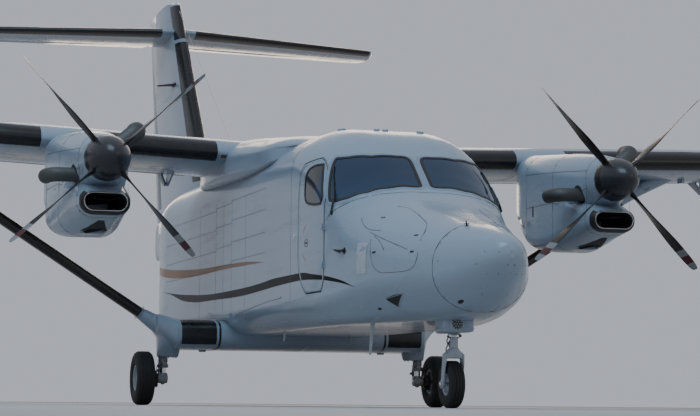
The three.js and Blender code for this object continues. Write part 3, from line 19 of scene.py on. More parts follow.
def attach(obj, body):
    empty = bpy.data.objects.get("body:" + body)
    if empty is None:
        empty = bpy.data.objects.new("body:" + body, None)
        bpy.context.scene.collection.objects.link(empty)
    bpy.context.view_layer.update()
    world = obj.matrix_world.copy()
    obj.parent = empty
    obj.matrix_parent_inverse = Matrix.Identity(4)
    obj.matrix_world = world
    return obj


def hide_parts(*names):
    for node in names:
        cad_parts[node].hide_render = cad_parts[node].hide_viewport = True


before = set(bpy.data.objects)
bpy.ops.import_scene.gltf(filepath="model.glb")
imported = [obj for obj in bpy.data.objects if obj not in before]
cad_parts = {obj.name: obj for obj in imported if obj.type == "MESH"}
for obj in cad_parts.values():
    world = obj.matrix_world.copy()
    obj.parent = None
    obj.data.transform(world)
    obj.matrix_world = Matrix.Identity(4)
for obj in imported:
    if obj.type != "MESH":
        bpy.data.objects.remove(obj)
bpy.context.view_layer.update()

LOG = logging.getLogger("airliner")
MIDDLE = 8.325  # the station at Y = 0
ENGINE_X = 2.95  # the engines' axis: its distance from the middle, and its height
ENGINE_Z = 2.63
BLADE_RADIUS = 1.397

Colour = tuple[float, float, float]
Row = tuple[float, ...]
Finish = bpy.types.Material
Mesh = bmesh.types.BMesh
Piece = bpy.types.Object

AHEAD = Vector((0, -1, 0))
AFT = Vector((0, 1, 0))
LEFT = Vector((1, 0, 0))
UP = Vector((0, 0, 1))
DOWN = Vector((0, 0, -1))


def at(x: float, station: float, z: float) -> Vector:
    """Returns the point at a station, x to the left and z up."""
    return Vector((x, station - MIDDLE, z))


def station_of(point: Vector) -> float:
    """Returns the station of a point."""
    return point.y + MIDDLE


def lerp(low: float, high: float, share: float) -> float:
    """Returns the value that lies the given share of the way from low to high."""
    return low + (high - low) * share


def clamp(value: float, low: float, high: float) -> float:
    """Returns the value held between low and high."""
    return max(low, min(high, value))


def steps(low: float, high: float, count: int) -> list[float]:
    """Returns the values at the ends of equally long steps from low to high."""
    return [lerp(low, high, i / count) for i in range(count + 1)]


def placed(rows: Iterable[Row], sign: float = 1.0) -> list[Vector]:
    """Returns the points that rows of station, place across and height give, on one side."""
    return [at(x * sign, station, z) for station, x, z in rows]


def run_at(points: Sequence[Vector], i: int) -> Vector:
    """Returns the way from the point before a place in a line to the point after it."""
    return points[min(i + 1, len(points) - 1)] - points[max(i - 1, 0)]


class Side(Enum):
    """The two sides of the aircraft, by the sign of X."""

    LEFT = 1
    RIGHT = -1

    @property
    def word(self) -> str:
        """The side's name as the nodes spell it."""
        return self.name.lower()


class Slot(Enum):
    """The record's material slots."""

    WHITE = "white_paint"
    WING = "wing_paint"
    RADOME = "radome_paint"
    GLASS = "tinted_glass"
    TRIM = "cockpit_trim"
    EXHAUST = "exhaust_steel"
    BLADE = "propeller_black"
    SPINNER = "spinner_grey"
    GEAR = "gear_paint"
    TYRE = "tyre"
    HUB = "hub_metal"


# Smooth forms: the true surfaces that the frame's facets stand for


class Form:
    """A smooth surface that a faceted skin can be laid on."""

    def onto(self, point: Vector) -> tuple[Vector, Vector]:
        """Lays a point on the surface.

        Args:
            point: A point near the surface.

        Returns:
            The point on the surface and the surface's outward direction there.
        """
        raise NotImplementedError

    def cuts(self, low: Vector, high: Vector) -> list[tuple[Vector, Vector]]:
        """Gives the planes that cut a skin finely enough to follow the surface.

        Args:
            low: The lowest corner of the skin.
            high: Its highest corner.

        Returns:
            Pairs of a point on each plane and its direction.
        """
        raise NotImplementedError


@dataclass(frozen=True)
class BodyForm(Form):
    """A long body with flat sides and a quarter ellipse at each corner of its section.

    Each row holds the station, the half width, the lowest and highest point, the upper corners' half
    axes across and up, and the lower corners'.
    """

    rows: tuple[Row, ...]
    centre: float = 0.0
    axis_z: float = 1.95
    step: float = 0.1
    rays: int = 24

    @lru_cache(maxsize=20000)
    def section(self, station: float) -> Row:
        """Works out the section at a station by a smooth curve through the rows.

        Args:
            station: The station.

        Returns:
            The section's sizes, without the station.
        """
        rows = self.rows
        last = len(rows) - 1
        k = next((i for i, row in enumerate(rows) if row[0] > station), last) - 1
        k = int(clamp(k, 0, last - 1))
        span = rows[k + 1][0] - rows[k][0]
        t = clamp((station - rows[k][0]) / span, -0.5, 1.5)
        near = [rows[int(clamp(i, 0, last))] for i in (k - 1, k, k + 1, k + 2)]
        found = []
        for column in range(1, len(rows[0])):
            y = [row[column] for row in near]
            slopes = []
            for i in (1, 2):
                run = near[i + 1][0] - near[i - 1][0]
                turns = (y[i] - y[i - 1]) * (y[i + 1] - y[i]) <= 0
                slopes.append(0.0 if turns or run == 0 else (y[i + 1] - y[i - 1]) / run * span)
            t2 = t * t
            t3 = t2 * t
            value = (2 * t3 - 3 * t2 + 1) * y[1] + (t3 - 2 * t2 + t) * slopes[0]
            found.append(value + (3 * t2 - 2 * t3) * y[2] + (t3 - t2) * slopes[1])
        return tuple(found)

    def corners(self, station: float) -> tuple[Row, Row, Row]:
        """Gives the section's outer lines and its upper and lower corner.

        Args:
            station: The station.

        Returns:
            Half width, lowest and highest; then each corner's centre and half axes.
        """
        half, low, high, top_x, top_z, low_x, low_z = self.section(station)
        tall = high - low
        top = (clamp(top_x, 0.005, half - 0.004), clamp(top_z, 0.005, tall * 0.52))
        under = (clamp(low_x, 0.005, half - 0.004), clamp(low_z, 0.005, tall * 0.46))
        return (
            (half, low, high),
            (half - top[0], high - top[1], *top),
            (half - under[0], low + under[1], *under),
        )

    def onto(self, point: Vector) -> tuple[Vector, Vector]:
        """Lays a point on the body, in the plane across it.

        Args:
            point: A point near the body.

        Returns:
            The point on the body and the body's outward direction there.
        """
        station = round(station_of(point), 5)
        sign = 1.0 if point.x >= self.centre else -1.0
        x = abs(point.x - self.centre)
        (half, low, high), top, under = self.corners(station)
        corner = None
        if x > top[0] and point.z > top[1]:
            corner = 1
        elif x > under[0] and point.z < under[1]:
            corner = 2
        if corner:
            cx, cz, rx, rz = (None, top, under)[corner]
            turn = math.atan2((point.z - cz) / rz, (x - cx) / rx)
            where = ("corner", corner, turn)
        else:
            gaps = {
                "side": (half - x, clamp(point.z, under[1], top[1]) - point.z),
                "top": (min(x, top[0]) - x, high - point.z),
                "under": (min(x, under[0]) - x, low - point.z),
            }
            where = (min(gaps, key=lambda kind: math.hypot(*gaps[kind])), x, point.z)
        near = 0.004
        here, flat = self._place(station, where)
        ahead, _ = self._place(round(station + near, 5), where)
        behind, _ = self._place(round(station - near, 5), where)
        along = (ahead - behind) / (2 * near)
        normal = Vector((sign * flat[0], -(flat[0] * along[0] + flat[1] * along[1]), flat[1]))
        return at(self.centre + sign * here[0], station, here[1]), normal.normalized()

    def _place(self, station: float, where: tuple) -> tuple[Vector, Vector]:
        """Finds a place on one section.

        Args:
            station: The section's station.
            where: The kind of place and its two measures.

        Returns:
            The place across and up, and the outward direction in the section's plane.
        """
        (half, low, high), top, under = self.corners(station)
        kind, first, second = where
        if kind == "corner":
            cx, cz, rx, rz = (None, top, under)[first]
            place = Vector((cx + rx * math.cos(second), cz + rz * math.sin(second)))
            return place, Vector((math.cos(second) / rx, math.sin(second) / rz)).normalized()
        if kind == "side":
            return Vector((half, clamp(second, under[1], top[1]))), Vector((1, 0))
        if kind == "top":
            return Vector((min(first, top[0]), high)), Vector((0, 1))
        return Vector((min(first, under[0]), low)), Vector((0, -1))

    def cuts(self, low: Vector, high: Vector) -> list[tuple[Vector, Vector]]:
        """Cuts a skin across, at every step, and along, by planes through the body's axis.

        Args:
            low: The lowest corner of the skin.
            high: Its highest corner.

        Returns:
            Pairs of a point on each plane and its direction.
        """
        planes = []
        count = max(1, round((high.y - low.y) / self.step))
        for i in range(1, count):
            planes.append((Vector((0, lerp(low.y, high.y, i / count), 0)), AFT))
        middle = Vector((self.centre, 0, self.axis_z))
        for i in range(self.rays):
            turn = math.pi * (i + 0.5) / self.rays
            planes.append((middle, Vector((math.cos(turn), 0, math.sin(turn)))))
        return planes


@dataclass(frozen=True)
class JoinedForm(Form):
    """Two or more forms that run into each other; a point belongs to the nearest."""

    parts: tuple[Form, ...]

    def onto(self, point: Vector) -> tuple[Vector, Vector]:
        """Lays a point on the part that is nearest to it.

        Args:
            point: A point near the surface.

        Returns:
            The point on the surface and the surface's outward direction there.
        """
        found = [part.onto(point) for part in self.parts]
        return min(found, key=lambda pair: (pair[0] - point).length)

    def cuts(self, low: Vector, high: Vector) -> list[tuple[Vector, Vector]]:
        """Returns the first part's planes."""
        return self.parts[0].cuts(low, high)


# the usual curve of a wing section: the factors of the root of the share, and of its powers
FOIL_ROOT = 0.2969
FOIL_POWERS = (-0.126, -0.3516, 0.2843, -0.1036)
TAIL_THICK = 0.0035  # the thickness at the tail, in chords


def foil_half(share: float, thick: float) -> float:
    """Works out half the thickness of a wing section.

    Args:
        share: The place along the chord, from 0 at the nose to 1.
        thick: The greatest thickness, in chords.

    Returns:
        The half thickness, in chords.
    """
    share = clamp(share, 0.0, 1.0)
    tail = sum(factor * share ** (i + 1) for i, factor in enumerate(FOIL_POWERS))
    return 5 * thick * (FOIL_ROOT * math.sqrt(share) + tail) + TAIL_THICK * share / 2


@dataclass(frozen=True)
class FoilForm(Form):
    """A wing, tailplane, fin or strut: wing sections along a straight span.

    law gives, for a place along the span, the nose's station, the chord, the thickness in chords and
    the height or place across of the chord line. near and lean_reach are the reaches, in chords and in
    metres, over which the surface's slopes are measured.
    """

    law: Callable[[float], Row]
    upright: bool = False
    camber: float = 0.0
    tilt: float = 0.0
    tilt_station: float = 0.0
    shares: Row = (0.0015, 0.005, 0.02, 0.032, 0.07, 0.14, 0.25, 0.4, 0.6)
    stops: Row = ()
    near: float = 0.0004
    lean_reach: float = 0.01

    def split(self, point: Vector) -> tuple[float, float, float]:
        """Takes a point apart into its place along the span, its station and its place across.

        Args:
            point: The point.

        Returns:
            The three places.
        """
        if self.upright:
            return point.z, station_of(point), point.x
        return abs(point.x), station_of(point), point.z

    def onto(self, point: Vector) -> tuple[Vector, Vector]:
        """Lays a point on the section's upper or lower side.

        Args:
            point: A point near the surface.

        Returns:
            The point on the surface and the surface's outward direction there.
        """
        span, station, across = self.split(point)
        nose, chord, thick, middle = self.law(span)
        share = clamp((station - nose) / chord, 0.0, 1.0)
        line = middle + (self.tilt_station - station) * self.tilt
        side = 1.0 if across >= line else -1.0
        full = 1 + side * self.camber
        near = self.near
        rise = (foil_half(share + near, thick) - foil_half(max(share - near, 0), thick)) * full
        slope = side * rise / (near + min(near, share)) - self.tilt
        place = line + side * foil_half(share, thick) * full * chord
        if self.upright:
            return Vector((place, point.y, point.z)), Vector((1, -slope, 0)).normalized() * side
        reach = self.lean_reach
        lean = (self.law(span + reach)[3] - self.law(max(span - reach, 0))[3]) / (2 * reach)
        lean = math.copysign(lean, point.x * lean) if lean else 0.0
        normal = Vector((-lean, -slope, 1)).normalized() * side
        return Vector((point.x, point.y, place)), normal

    def beside(self, spans: Iterable[float], share: float, sign: float, up: float) -> list[Vector]:
        """Gives points near the surface, along a line of equal share of the chord.

        Args:
            spans: The places along the span.
            share: The share of the chord.
            sign: The side of the aircraft that they lie on.
            up: How far above the chord line they lie, for a wing or tailplane.

        Returns:
            The points in order.
        """
        points = []
        for span in spans:
            nose, chord, _, middle = self.law(span)
            station = nose + share * chord
            points.append(at(sign, station, span) if self.upright else at(sign * span, station, middle + up))
        return points

    def wrap(
        self, span: float, sign: float, reach: tuple[float, float], grow: float, count: int = 14
    ) -> list[Vector]:
        """Gives points round the nose of the section, from the upper side to the lower.

        Args:
            span: The place along the span.
            sign: The side of the aircraft, for a wing or tailplane.
            reach: The shares of the chord where it starts above, or below if negative, and ends below.
            grow: How far the points stand out; it fades out at both ends.
            count: The number of points on each side.

        Returns:
            The points in order.
        """
        nose, chord, thick, middle = self.law(span)
        turns = [(i / count) ** 2 * reach[0] for i in range(count, 0, -1)]
        turns += [-((i / count) ** 2) * reach[1] for i in range(count + 1)]
        if reach[0] < 0:
            turns = [lerp(reach[0], -reach[1], i / count) for i in range(count + 1)]
        flat = []
        for turn in turns:
            side = 1.0 if turn > 0 else -1.0
            full = (1 + side * self.camber) * side if turn else 0.0
            station = nose + abs(turn) * chord
            line = middle + (self.tilt_station - station) * self.tilt
            flat.append(Vector((station, line + full * foil_half(abs(turn), thick) * chord)))
        points = []
        for i, point in enumerate(flat):
            run = run_at(flat, i)
            out = Vector((run.y, -run.x)).normalized()
            end = 0.0 if i in (0, len(flat) - 1) else 1.0
            place = point - out * (grow * end if grow > 0 else grow)
            points.append(at(place.y, place.x, span) if self.upright else at(sign * span, place.x, place.y))
        return points

    def cuts(self, low: Vector, high: Vector) -> list[tuple[Vector, Vector]]:
        """Cuts a skin along lines of equal share of the chord.

        Args:
            low: The lowest corner of the skin.
            high: Its highest corner.

        Returns:
            Pairs of a point on each plane and its direction.
        """
        if self.upright:
            signs = [1.0]
            ends = [low.z, *self.stops, high.z]
        else:
            signs = [sign for sign, reached in ((1.0, high.x > 0), (-1.0, low.x < 0)) if reached]
            ends = [0.0, *self.stops, max(abs(low.x), abs(high.x))]
        planes = []
        for share in self.shares:
            for sign in signs:
                points = []
                for span in ends:
                    nose, chord, _, _ = self.law(span)
                    station = nose + share * chord
                    points.append(at(0, station, span) if self.upright else at(sign * span, station, 0))
                for a, b in zip(points, points[1:]):
                    along = (b - a).normalized()
                    planes.append((a, along.cross(LEFT if self.upright else UP)))
        return planes


FUSELAGE = BodyForm(rows=(
    (-0.07, 0.03, 1.37, 1.44, 0.03, 0.034, 0.03, 0.034),
    (-0.05, 0.08, 1.32, 1.49, 0.08, 0.084, 0.08, 0.08),
    (0, 0.14, 1.258, 1.54, 0.14, 0.145, 0.14, 0.13),
    (0.1, 0.205, 1.18, 1.59, 0.2, 0.21, 0.2, 0.19),
    (0.25, 0.275, 1.095, 1.635, 0.268, 0.275, 0.268, 0.245),
    (0.45, 0.358, 1.012, 1.685, 0.345, 0.34, 0.345, 0.3),
    (0.75, 0.48, 0.908, 1.745, 0.455, 0.405, 0.46, 0.375),
    (1.1, 0.615, 0.855, 1.815, 0.565, 0.455, 0.57, 0.43),
    (1.5, 0.75, 0.845, 1.915, 0.64, 0.5, 0.59, 0.43),
    (1.95, 0.862, 0.845, 2.05, 0.7, 0.54, 0.51, 0.39),
    (2.26, 0.905, 0.845, 2.19, 0.74, 0.56, 0.44, 0.35),
    (2.52, 0.932, 0.845, 2.4, 0.74, 0.6, 0.38, 0.32),
    (2.79, 0.955, 0.845, 2.62, 0.73, 0.62, 0.34, 0.305),
    (3.1, 0.97, 0.845, 2.82, 0.71, 0.6, 0.31, 0.3),
    (3.5, 0.978, 0.845, 2.95, 0.68, 0.56, 0.3, 0.3),
    (4, 0.98, 0.845, 3.01, 0.64, 0.5, 0.3, 0.3),
    (10.47, 0.98, 0.845, 3.02, 0.64, 0.5, 0.3, 0.3),
    (11.2, 0.915, 0.905, 3.02, 0.6, 0.48, 0.33, 0.33),
    (12, 0.755, 1.13, 3.02, 0.52, 0.45, 0.36, 0.38),
    (13, 0.545, 1.47, 3.01, 0.42, 0.42, 0.36, 0.42),
    (14, 0.335, 1.79, 2.99, 0.29, 0.38, 0.29, 0.42),
    (15, 0.15, 2.09, 2.96, 0.14, 0.3, 0.14, 0.32),
    (15.8, 0.048, 2.33, 2.92, 0.044, 0.18, 0.044, 0.2),
))

FAIRING = BodyForm(axis_z=2.95, rays=16, rows=(
    (4.35, 0.56, 2.86, 2.985, 0.38, 0.09, 0.06, 0.02),
    (5, 0.93, 2.745, 3.07, 0.56, 0.3, 0.06, 0.02),
    (5.6, 1.005, 2.7, 3.125, 0.56, 0.36, 0.06, 0.05),
    (6.2, 1.07, 2.68, 3.185, 0.56, 0.4, 0.09, 0.09),
    (6.9, 1.095, 2.69, 3.24, 0.56, 0.43, 0.11, 0.1),
    (7.7, 1.06, 2.715, 3.215, 0.56, 0.41, 0.1, 0.09),
    (8.4, 0.97, 2.755, 3.14, 0.56, 0.34, 0.07, 0.06),
    (8.84, 0.88, 2.79, 3.095, 0.56, 0.26, 0.06, 0.03),
    (9.6, 0.48, 2.85, 3.05, 0.36, 0.06, 0.06, 0.02),
    (10.2, 0.22, 2.92, 3.022, 0.16, 0.03, 0.06, 0.02),
))

COWL_ROWS = (
    (4.31, 0.236, 2.394, 2.866, 0.232, 0.232, 0.232, 0.232),
    (4.36, 0.256, 2.378, 2.894, 0.25, 0.25, 0.25, 0.25),
    (4.5, 0.28, 2.35, 2.93, 0.27, 0.27, 0.262, 0.262),
    (4.75, 0.312, 2.26, 2.975, 0.3, 0.3, 0.26, 0.26),
    (5.15, 0.34, 2.15, 3.03, 0.32, 0.31, 0.22, 0.22),
    (5.7, 0.364, 2.13, 3.08, 0.31, 0.29, 0.15, 0.15),
    (6.25, 0.366, 2.16, 3.13, 0.3, 0.27, 0.15, 0.15),
    (6.55, 0.312, 2.28, 3.16, 0.26, 0.24, 0.15, 0.15),
    (6.85, 0.19, 2.48, 3.15, 0.17, 0.17, 0.12, 0.12),
    (7.15, 0.06, 2.74, 3.08, 0.05, 0.06, 0.05, 0.06),
)
CHIN_ROWS = (
    (4.295, 0.244, 2.06, 2.272, 0.112, 0.1, 0.112, 0.1),
    (4.318, 0.264, 2.042, 2.288, 0.128, 0.116, 0.128, 0.116),
    (4.44, 0.284, 2.012, 2.335, 0.15, 0.13, 0.18, 0.16),
    (4.7, 0.308, 1.952, 2.42, 0.15, 0.15, 0.25, 0.22),
    (5.05, 0.336, 1.89, 2.52, 0.15, 0.15, 0.28, 0.24),
    (5.4, 0.354, 1.866, 2.6, 0.15, 0.15, 0.24, 0.2),
    (5.8, 0.366, 1.898, 2.64, 0.15, 0.15, 0.17, 0.16),
    (6.15, 0.364, 1.99, 2.66, 0.15, 0.15, 0.15, 0.14),
    (6.45, 0.31, 2.18, 2.68, 0.14, 0.14, 0.15, 0.14),
    (6.75, 0.19, 2.43, 2.7, 0.1, 0.1, 0.11, 0.11),
    (6.98, 0.06, 2.65, 2.72, 0.03, 0.03, 0.03, 0.03),
)


WING_KINK = 5.0  # where the straight inner wing ends and the tapered outer wing starts
WING_TIP = 11.01


def wing_law(x: float) -> Row:
    """Returns the wing's nose station, chord, thickness and height at a place along the span."""
    share = clamp((x - WING_KINK) / (WING_TIP - WING_KINK), 0, 1)
    return 6.56 + 0.33 * share, lerp(2.2, 1.38, share), lerp(0.17, 0.13, share), 2.967 + 0.037 * x


def fin_law(z: float) -> Row:
    """Works out the fin's section at a height.

    Args:
        z: The height.

    Returns:
        The section's nose station, chord, thickness and place across.
    """
    share = (z - 2.9) / 3.5
    nose = lerp(11.9, 14.6, share)
    return nose, lerp(15.86, 16.72, share) - nose, 0.1, 0.0


def stab_law(x: float) -> Row:
    """Returns the tailplane's nose station, chord, thickness and height at a place along the span."""
    share = clamp(x / 3.52, 0, 1)
    return lerp(14.38, 15.29, share), lerp(1.7, 1.13, share), 0.11, 5.88


WING = FoilForm(wing_law, camber=0.25, tilt=0.025, tilt_station=7.2, stops=(WING_KINK,))
FIN = FoilForm(fin_law, upright=True)
STABILIZER = FoilForm(stab_law)


# Making meshes

EDGE = 1  # the material index of a skin's cut edges and lugs; 0 is its inside
OUTER = 2  # the material index of its outer faces
SHALLOW = 0.02  # how deep under a skin its paint reaches
SLACK = 0.045  # how far a facet may lie from the form that it stands for
FACING = 0.8  # how squarely an outer face faces the form's way, as a cosine
SHADED = 0.6  # how squarely it has to face that way to take the form's direction
TINY = 1e-5  # the distance under which two points are one
MOST = 0.45  # the share of a stretch that a round may take up
SMOOTH_ANGLE = math.radians(38)
RIVET_BATCH = 25  # rivet heads that are made together
RIVET_HEIGHT = 0.0026


def merged(node: str) -> Mesh:
    """Copies a node's mesh and joins its loose triangles.

    Args:
        node: The node's name.

    Returns:
        A new bmesh, with shared vertices merged.
    """
    bm = bmesh.new()
    bm.from_mesh(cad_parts[node].data)
    bmesh.ops.remove_doubles(bm, verts=bm.verts, dist=TINY)
    return bm


def slice_faces(bm: Mesh, planes: Iterable[tuple[Vector, Vector]]) -> None:
    """Cuts the outer faces along planes.

    Args:
        bm: The mesh, with its outer faces marked by the material index OUTER.
        planes: Pairs of a point on each plane and its direction.
    """
    for point, normal in planes:
        faces = [f for f in bm.faces if f.material_index >= OUTER]
        near = []
        for face in faces:
            sides = [(v.co - point).dot(normal) for v in face.verts]
            if min(sides) < -TINY and max(sides) > TINY:
                near.append(face)
        if not near:
            continue
        edges = {e for f in near for e in f.edges}
        verts = {v for f in near for v in f.verts}
        geometry = [*near, *edges, *verts]
        bmesh.ops.bisect_plane(bm, geom=geometry, dist=TINY, plane_co=point, plane_no=normal)


def mark_outer(bm: Mesh, form: Form, slack: float) -> None:
    """Marks the faces that lie on a form and face the same way.

    Args:
        bm: The mesh.
        form: The smooth surface.
        slack: How far from the surface a face's middle may lie.
    """
    for face in bm.faces:
        middle = face.calc_center_median()
        point, normal = form.onto(middle)
        if (point - middle).length < slack and face.normal.dot(normal) > FACING:
            face.material_index = OUTER
        else:
            face.material_index = EDGE if (middle - point).dot(normal) > -SHALLOW else 0


def lay_on(bm: Mesh, form: Form, slack: float) -> None:
    """Moves the vertices of the outer faces onto a form.

    Args:
        bm: The mesh, with its outer faces marked.
        form: The smooth surface.
        slack: The furthest that a vertex moves.
    """
    for vert in bm.verts:
        if any(face.material_index >= OUTER for face in vert.link_faces):
            point, _ = form.onto(vert.co)
            if (point - vert.co).length < slack:
                vert.co = point


def keep(bm: Mesh, name: str) -> Piece:
    """Turns a bmesh into an object in the scene.

    Args:
        bm: The mesh; it is freed.
        name: The piece's name.

    Returns:
        The new object, at the origin.
    """
    mesh = bpy.data.meshes.new(name)
    bm.to_mesh(mesh)
    bm.free()
    piece = bpy.data.objects.new(name, mesh)
    bpy.context.scene.collection.objects.link(piece)
    return piece


def shade(piece: Piece) -> Piece:
    """Shades a piece smoothly, apart from its sharper edges.

    Args:
        piece: The piece.

    Returns:
        The piece.
    """
    piece.data.shade_smooth()
    piece.data.set_sharp_from_angle(angle=SMOOTH_ANGLE)
    return piece


def shade_by_form(piece: Piece, form: Form) -> None:
    """Gives a skin's outer faces the form's own directions, and the rest their flat ones.

    Args:
        piece: The piece, with its outer faces in material slot OUTER.
        form: The smooth surface.
    """
    mesh = piece.data
    mesh.shade_smooth()
    normals = [UP] * len(mesh.loops)
    known: dict[int, Vector] = {}
    for polygon in mesh.polygons:
        outer = polygon.material_index >= OUTER
        for loop in polygon.loop_indices:
            vert = mesh.loops[loop].vertex_index
            if outer and vert not in known:
                known[vert] = form.onto(mesh.vertices[vert].co)[1]
            smooth = outer and known[vert].dot(polygon.normal) > SHADED
            normals[loop] = known[vert] if smooth else polygon.normal.copy()
    mesh.normals_split_custom_set(normals)


def dress(
    piece: Piece,
    body: str,
    slot: Slot,
    *finishes: Finish,
    replaces: Sequence[str] = (),
) -> Piece:
    """Gives a piece its finishes and the body that it rides on.

    Args:
        piece: The piece.
        body: The body's name.
        slot: The record's slot; not used.
        finishes: The materials, one for each material index.
        replaces: The nodes that the piece stands for.

    Returns:
        The piece.
    """
    for finish in finishes:
        piece.data.materials.append(finish)
    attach(piece, body)
    if replaces:
        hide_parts(*replaces)
    LOG.info("%s rides on %s", piece.name, body)
    return piece


def box_of(bm: Mesh) -> tuple[Vector, Vector]:
    """Returns the lowest and highest corner of a mesh."""
    sides = [[vert.co[i] for vert in bm.verts] for i in range(3)]
    return Vector(min(s) for s in sides), Vector(max(s) for s in sides)


def skin(node: str, name: str, form: Form, slack: float = SLACK) -> Piece:
    """Makes a smooth skin from a faceted node.

    Args:
        node: The node's name.
        name: The new piece's name.
        form: The surface that its outer faces stand for.
        slack: How far the facets may lie from the surface.

    Returns:
        The piece, with its faces in material slots 0, EDGE and OUTER.
    """
    bm = merged(node)
    mark_outer(bm, form, slack)
    slice_faces(bm, form.cuts(*box_of(bm)))
    bmesh.ops.triangulate(bm, faces=[f for f in bm.faces if len(f.verts) > 4 or f.material_index >= OUTER])
    lay_on(bm, form, slack)
    piece = keep(bm, name)
    shade_by_form(piece, form)
    return piece


def outlines(node: str, form: Form, slack: float = SLACK) -> list[list[Vector]]:
    """Finds the closed lines where a node's outer faces end.

    Args:
        node: The node's name.
        form: The surface that its outer faces stand for.
        slack: How far the facets may lie from the surface.

    Returns:
        The lines' points, the longest line first.
    """
    bm = merged(node)
    mark_outer(bm, form, slack)
    ends = [e for e in bm.edges if sum(f.material_index == OUTER for f in e.link_faces) == 1]
    links: dict[bmesh.types.BMVert, list[bmesh.types.BMVert]] = {}
    for edge in ends:
        first, second = edge.verts
        links.setdefault(first, []).append(second)
        links.setdefault(second, []).append(first)
    lines = []
    while links:
        here = next(iter(links))
        line = [here.co.copy()]
        while links.get(here):
            ahead = links[here].pop()
            links[ahead].remove(here)
            line.append(ahead.co.copy())
            here = ahead
        links = {vert: others for vert, others in links.items() if others}
        lines.append(line)
    bm.free()
    return sorted(lines, key=lambda line: -sum((b - a).length for a, b in zip(line, line[1:])))


def filleted(line: Sequence[Vector], radius: float, cuts: int = 6) -> list[Vector]:
    """Rounds the corners of a line.

    Args:
        line: Its points; where the last is the first again, it is closed.
        radius: How far from a corner the round starts, at most.
        cuts: The number of steps round each corner.

    Returns:
        The rounded line's points.
    """
    closed = (line[0] - line[-1]).length < 10 * TINY
    points = [p for p, q in zip(line, line[1:]) if (p - q).length > 10 * TINY]
    if not closed:
        points.append(line[-1])
    found = [] if closed else [points[0]]
    count = len(points)
    for i in range(count) if closed else range(1, count - 1):
        before, here, after = points[i - 1], points[i], points[(i + 1) % count]
        first = here + (before - here).normalized() * min(radius, MOST * (before - here).length)
        last = here + (after - here).normalized() * min(radius, MOST * (after - here).length)
        for t in steps(0, 1, cuts):
            found.append(first.lerp(here, t).lerp(here.lerp(last, t), t))
    found.append(found[0] if closed else points[-1])
    return found


def shifted(form: Form, line: Sequence[Vector], shift: float) -> list[Vector]:
    """Moves a closed line sideways on a form; a positive shift makes it smaller.

    Args:
        form: The surface.
        line: The line's points.
        shift: How far it moves.

    Returns:
        The moved line's points.
    """
    middle = sum(line, Vector()) / len(line)
    found = []
    last = len(line) - 1
    for i, point in enumerate(line):
        run = line[(i + 1) % last if i < last else 1] - line[i - 1 if i else last - 1]
        _, normal = form.onto(point)
        side = run.cross(normal).normalized()
        if side.dot(middle - point) < 0:
            side = -side
        found.append(form.onto(point + side * shift)[0])
    return found


def circle(middle: Vector, across: Vector, up: Vector, radius: float, count: int) -> list[Vector]:
    """Gives points evenly round a circle.

    Args:
        middle: Its middle.
        across: The way to its first point.
        up: The way to the point a quarter further.
        radius: Its radius.
        count: The number of points.

    Returns:
        The points in order.
    """
    turns = [math.tau * i / count for i in range(count)]
    return [middle + (across * math.cos(t) + up * math.sin(t)) * radius for t in turns]


def round_edges(bm: Mesh, edges: Sequence[bmesh.types.BMEdge], width: float) -> None:
    """Rounds edges with a narrow bevel.

    Args:
        bm: The mesh.
        edges: The edges.
        width: The bevel's width.
    """
    bmesh.ops.bevel(
        bm, geom=edges, offset=width, segments=2, profile=0.5, affect="EDGES", material=-1, clamp_overlap=True
    )


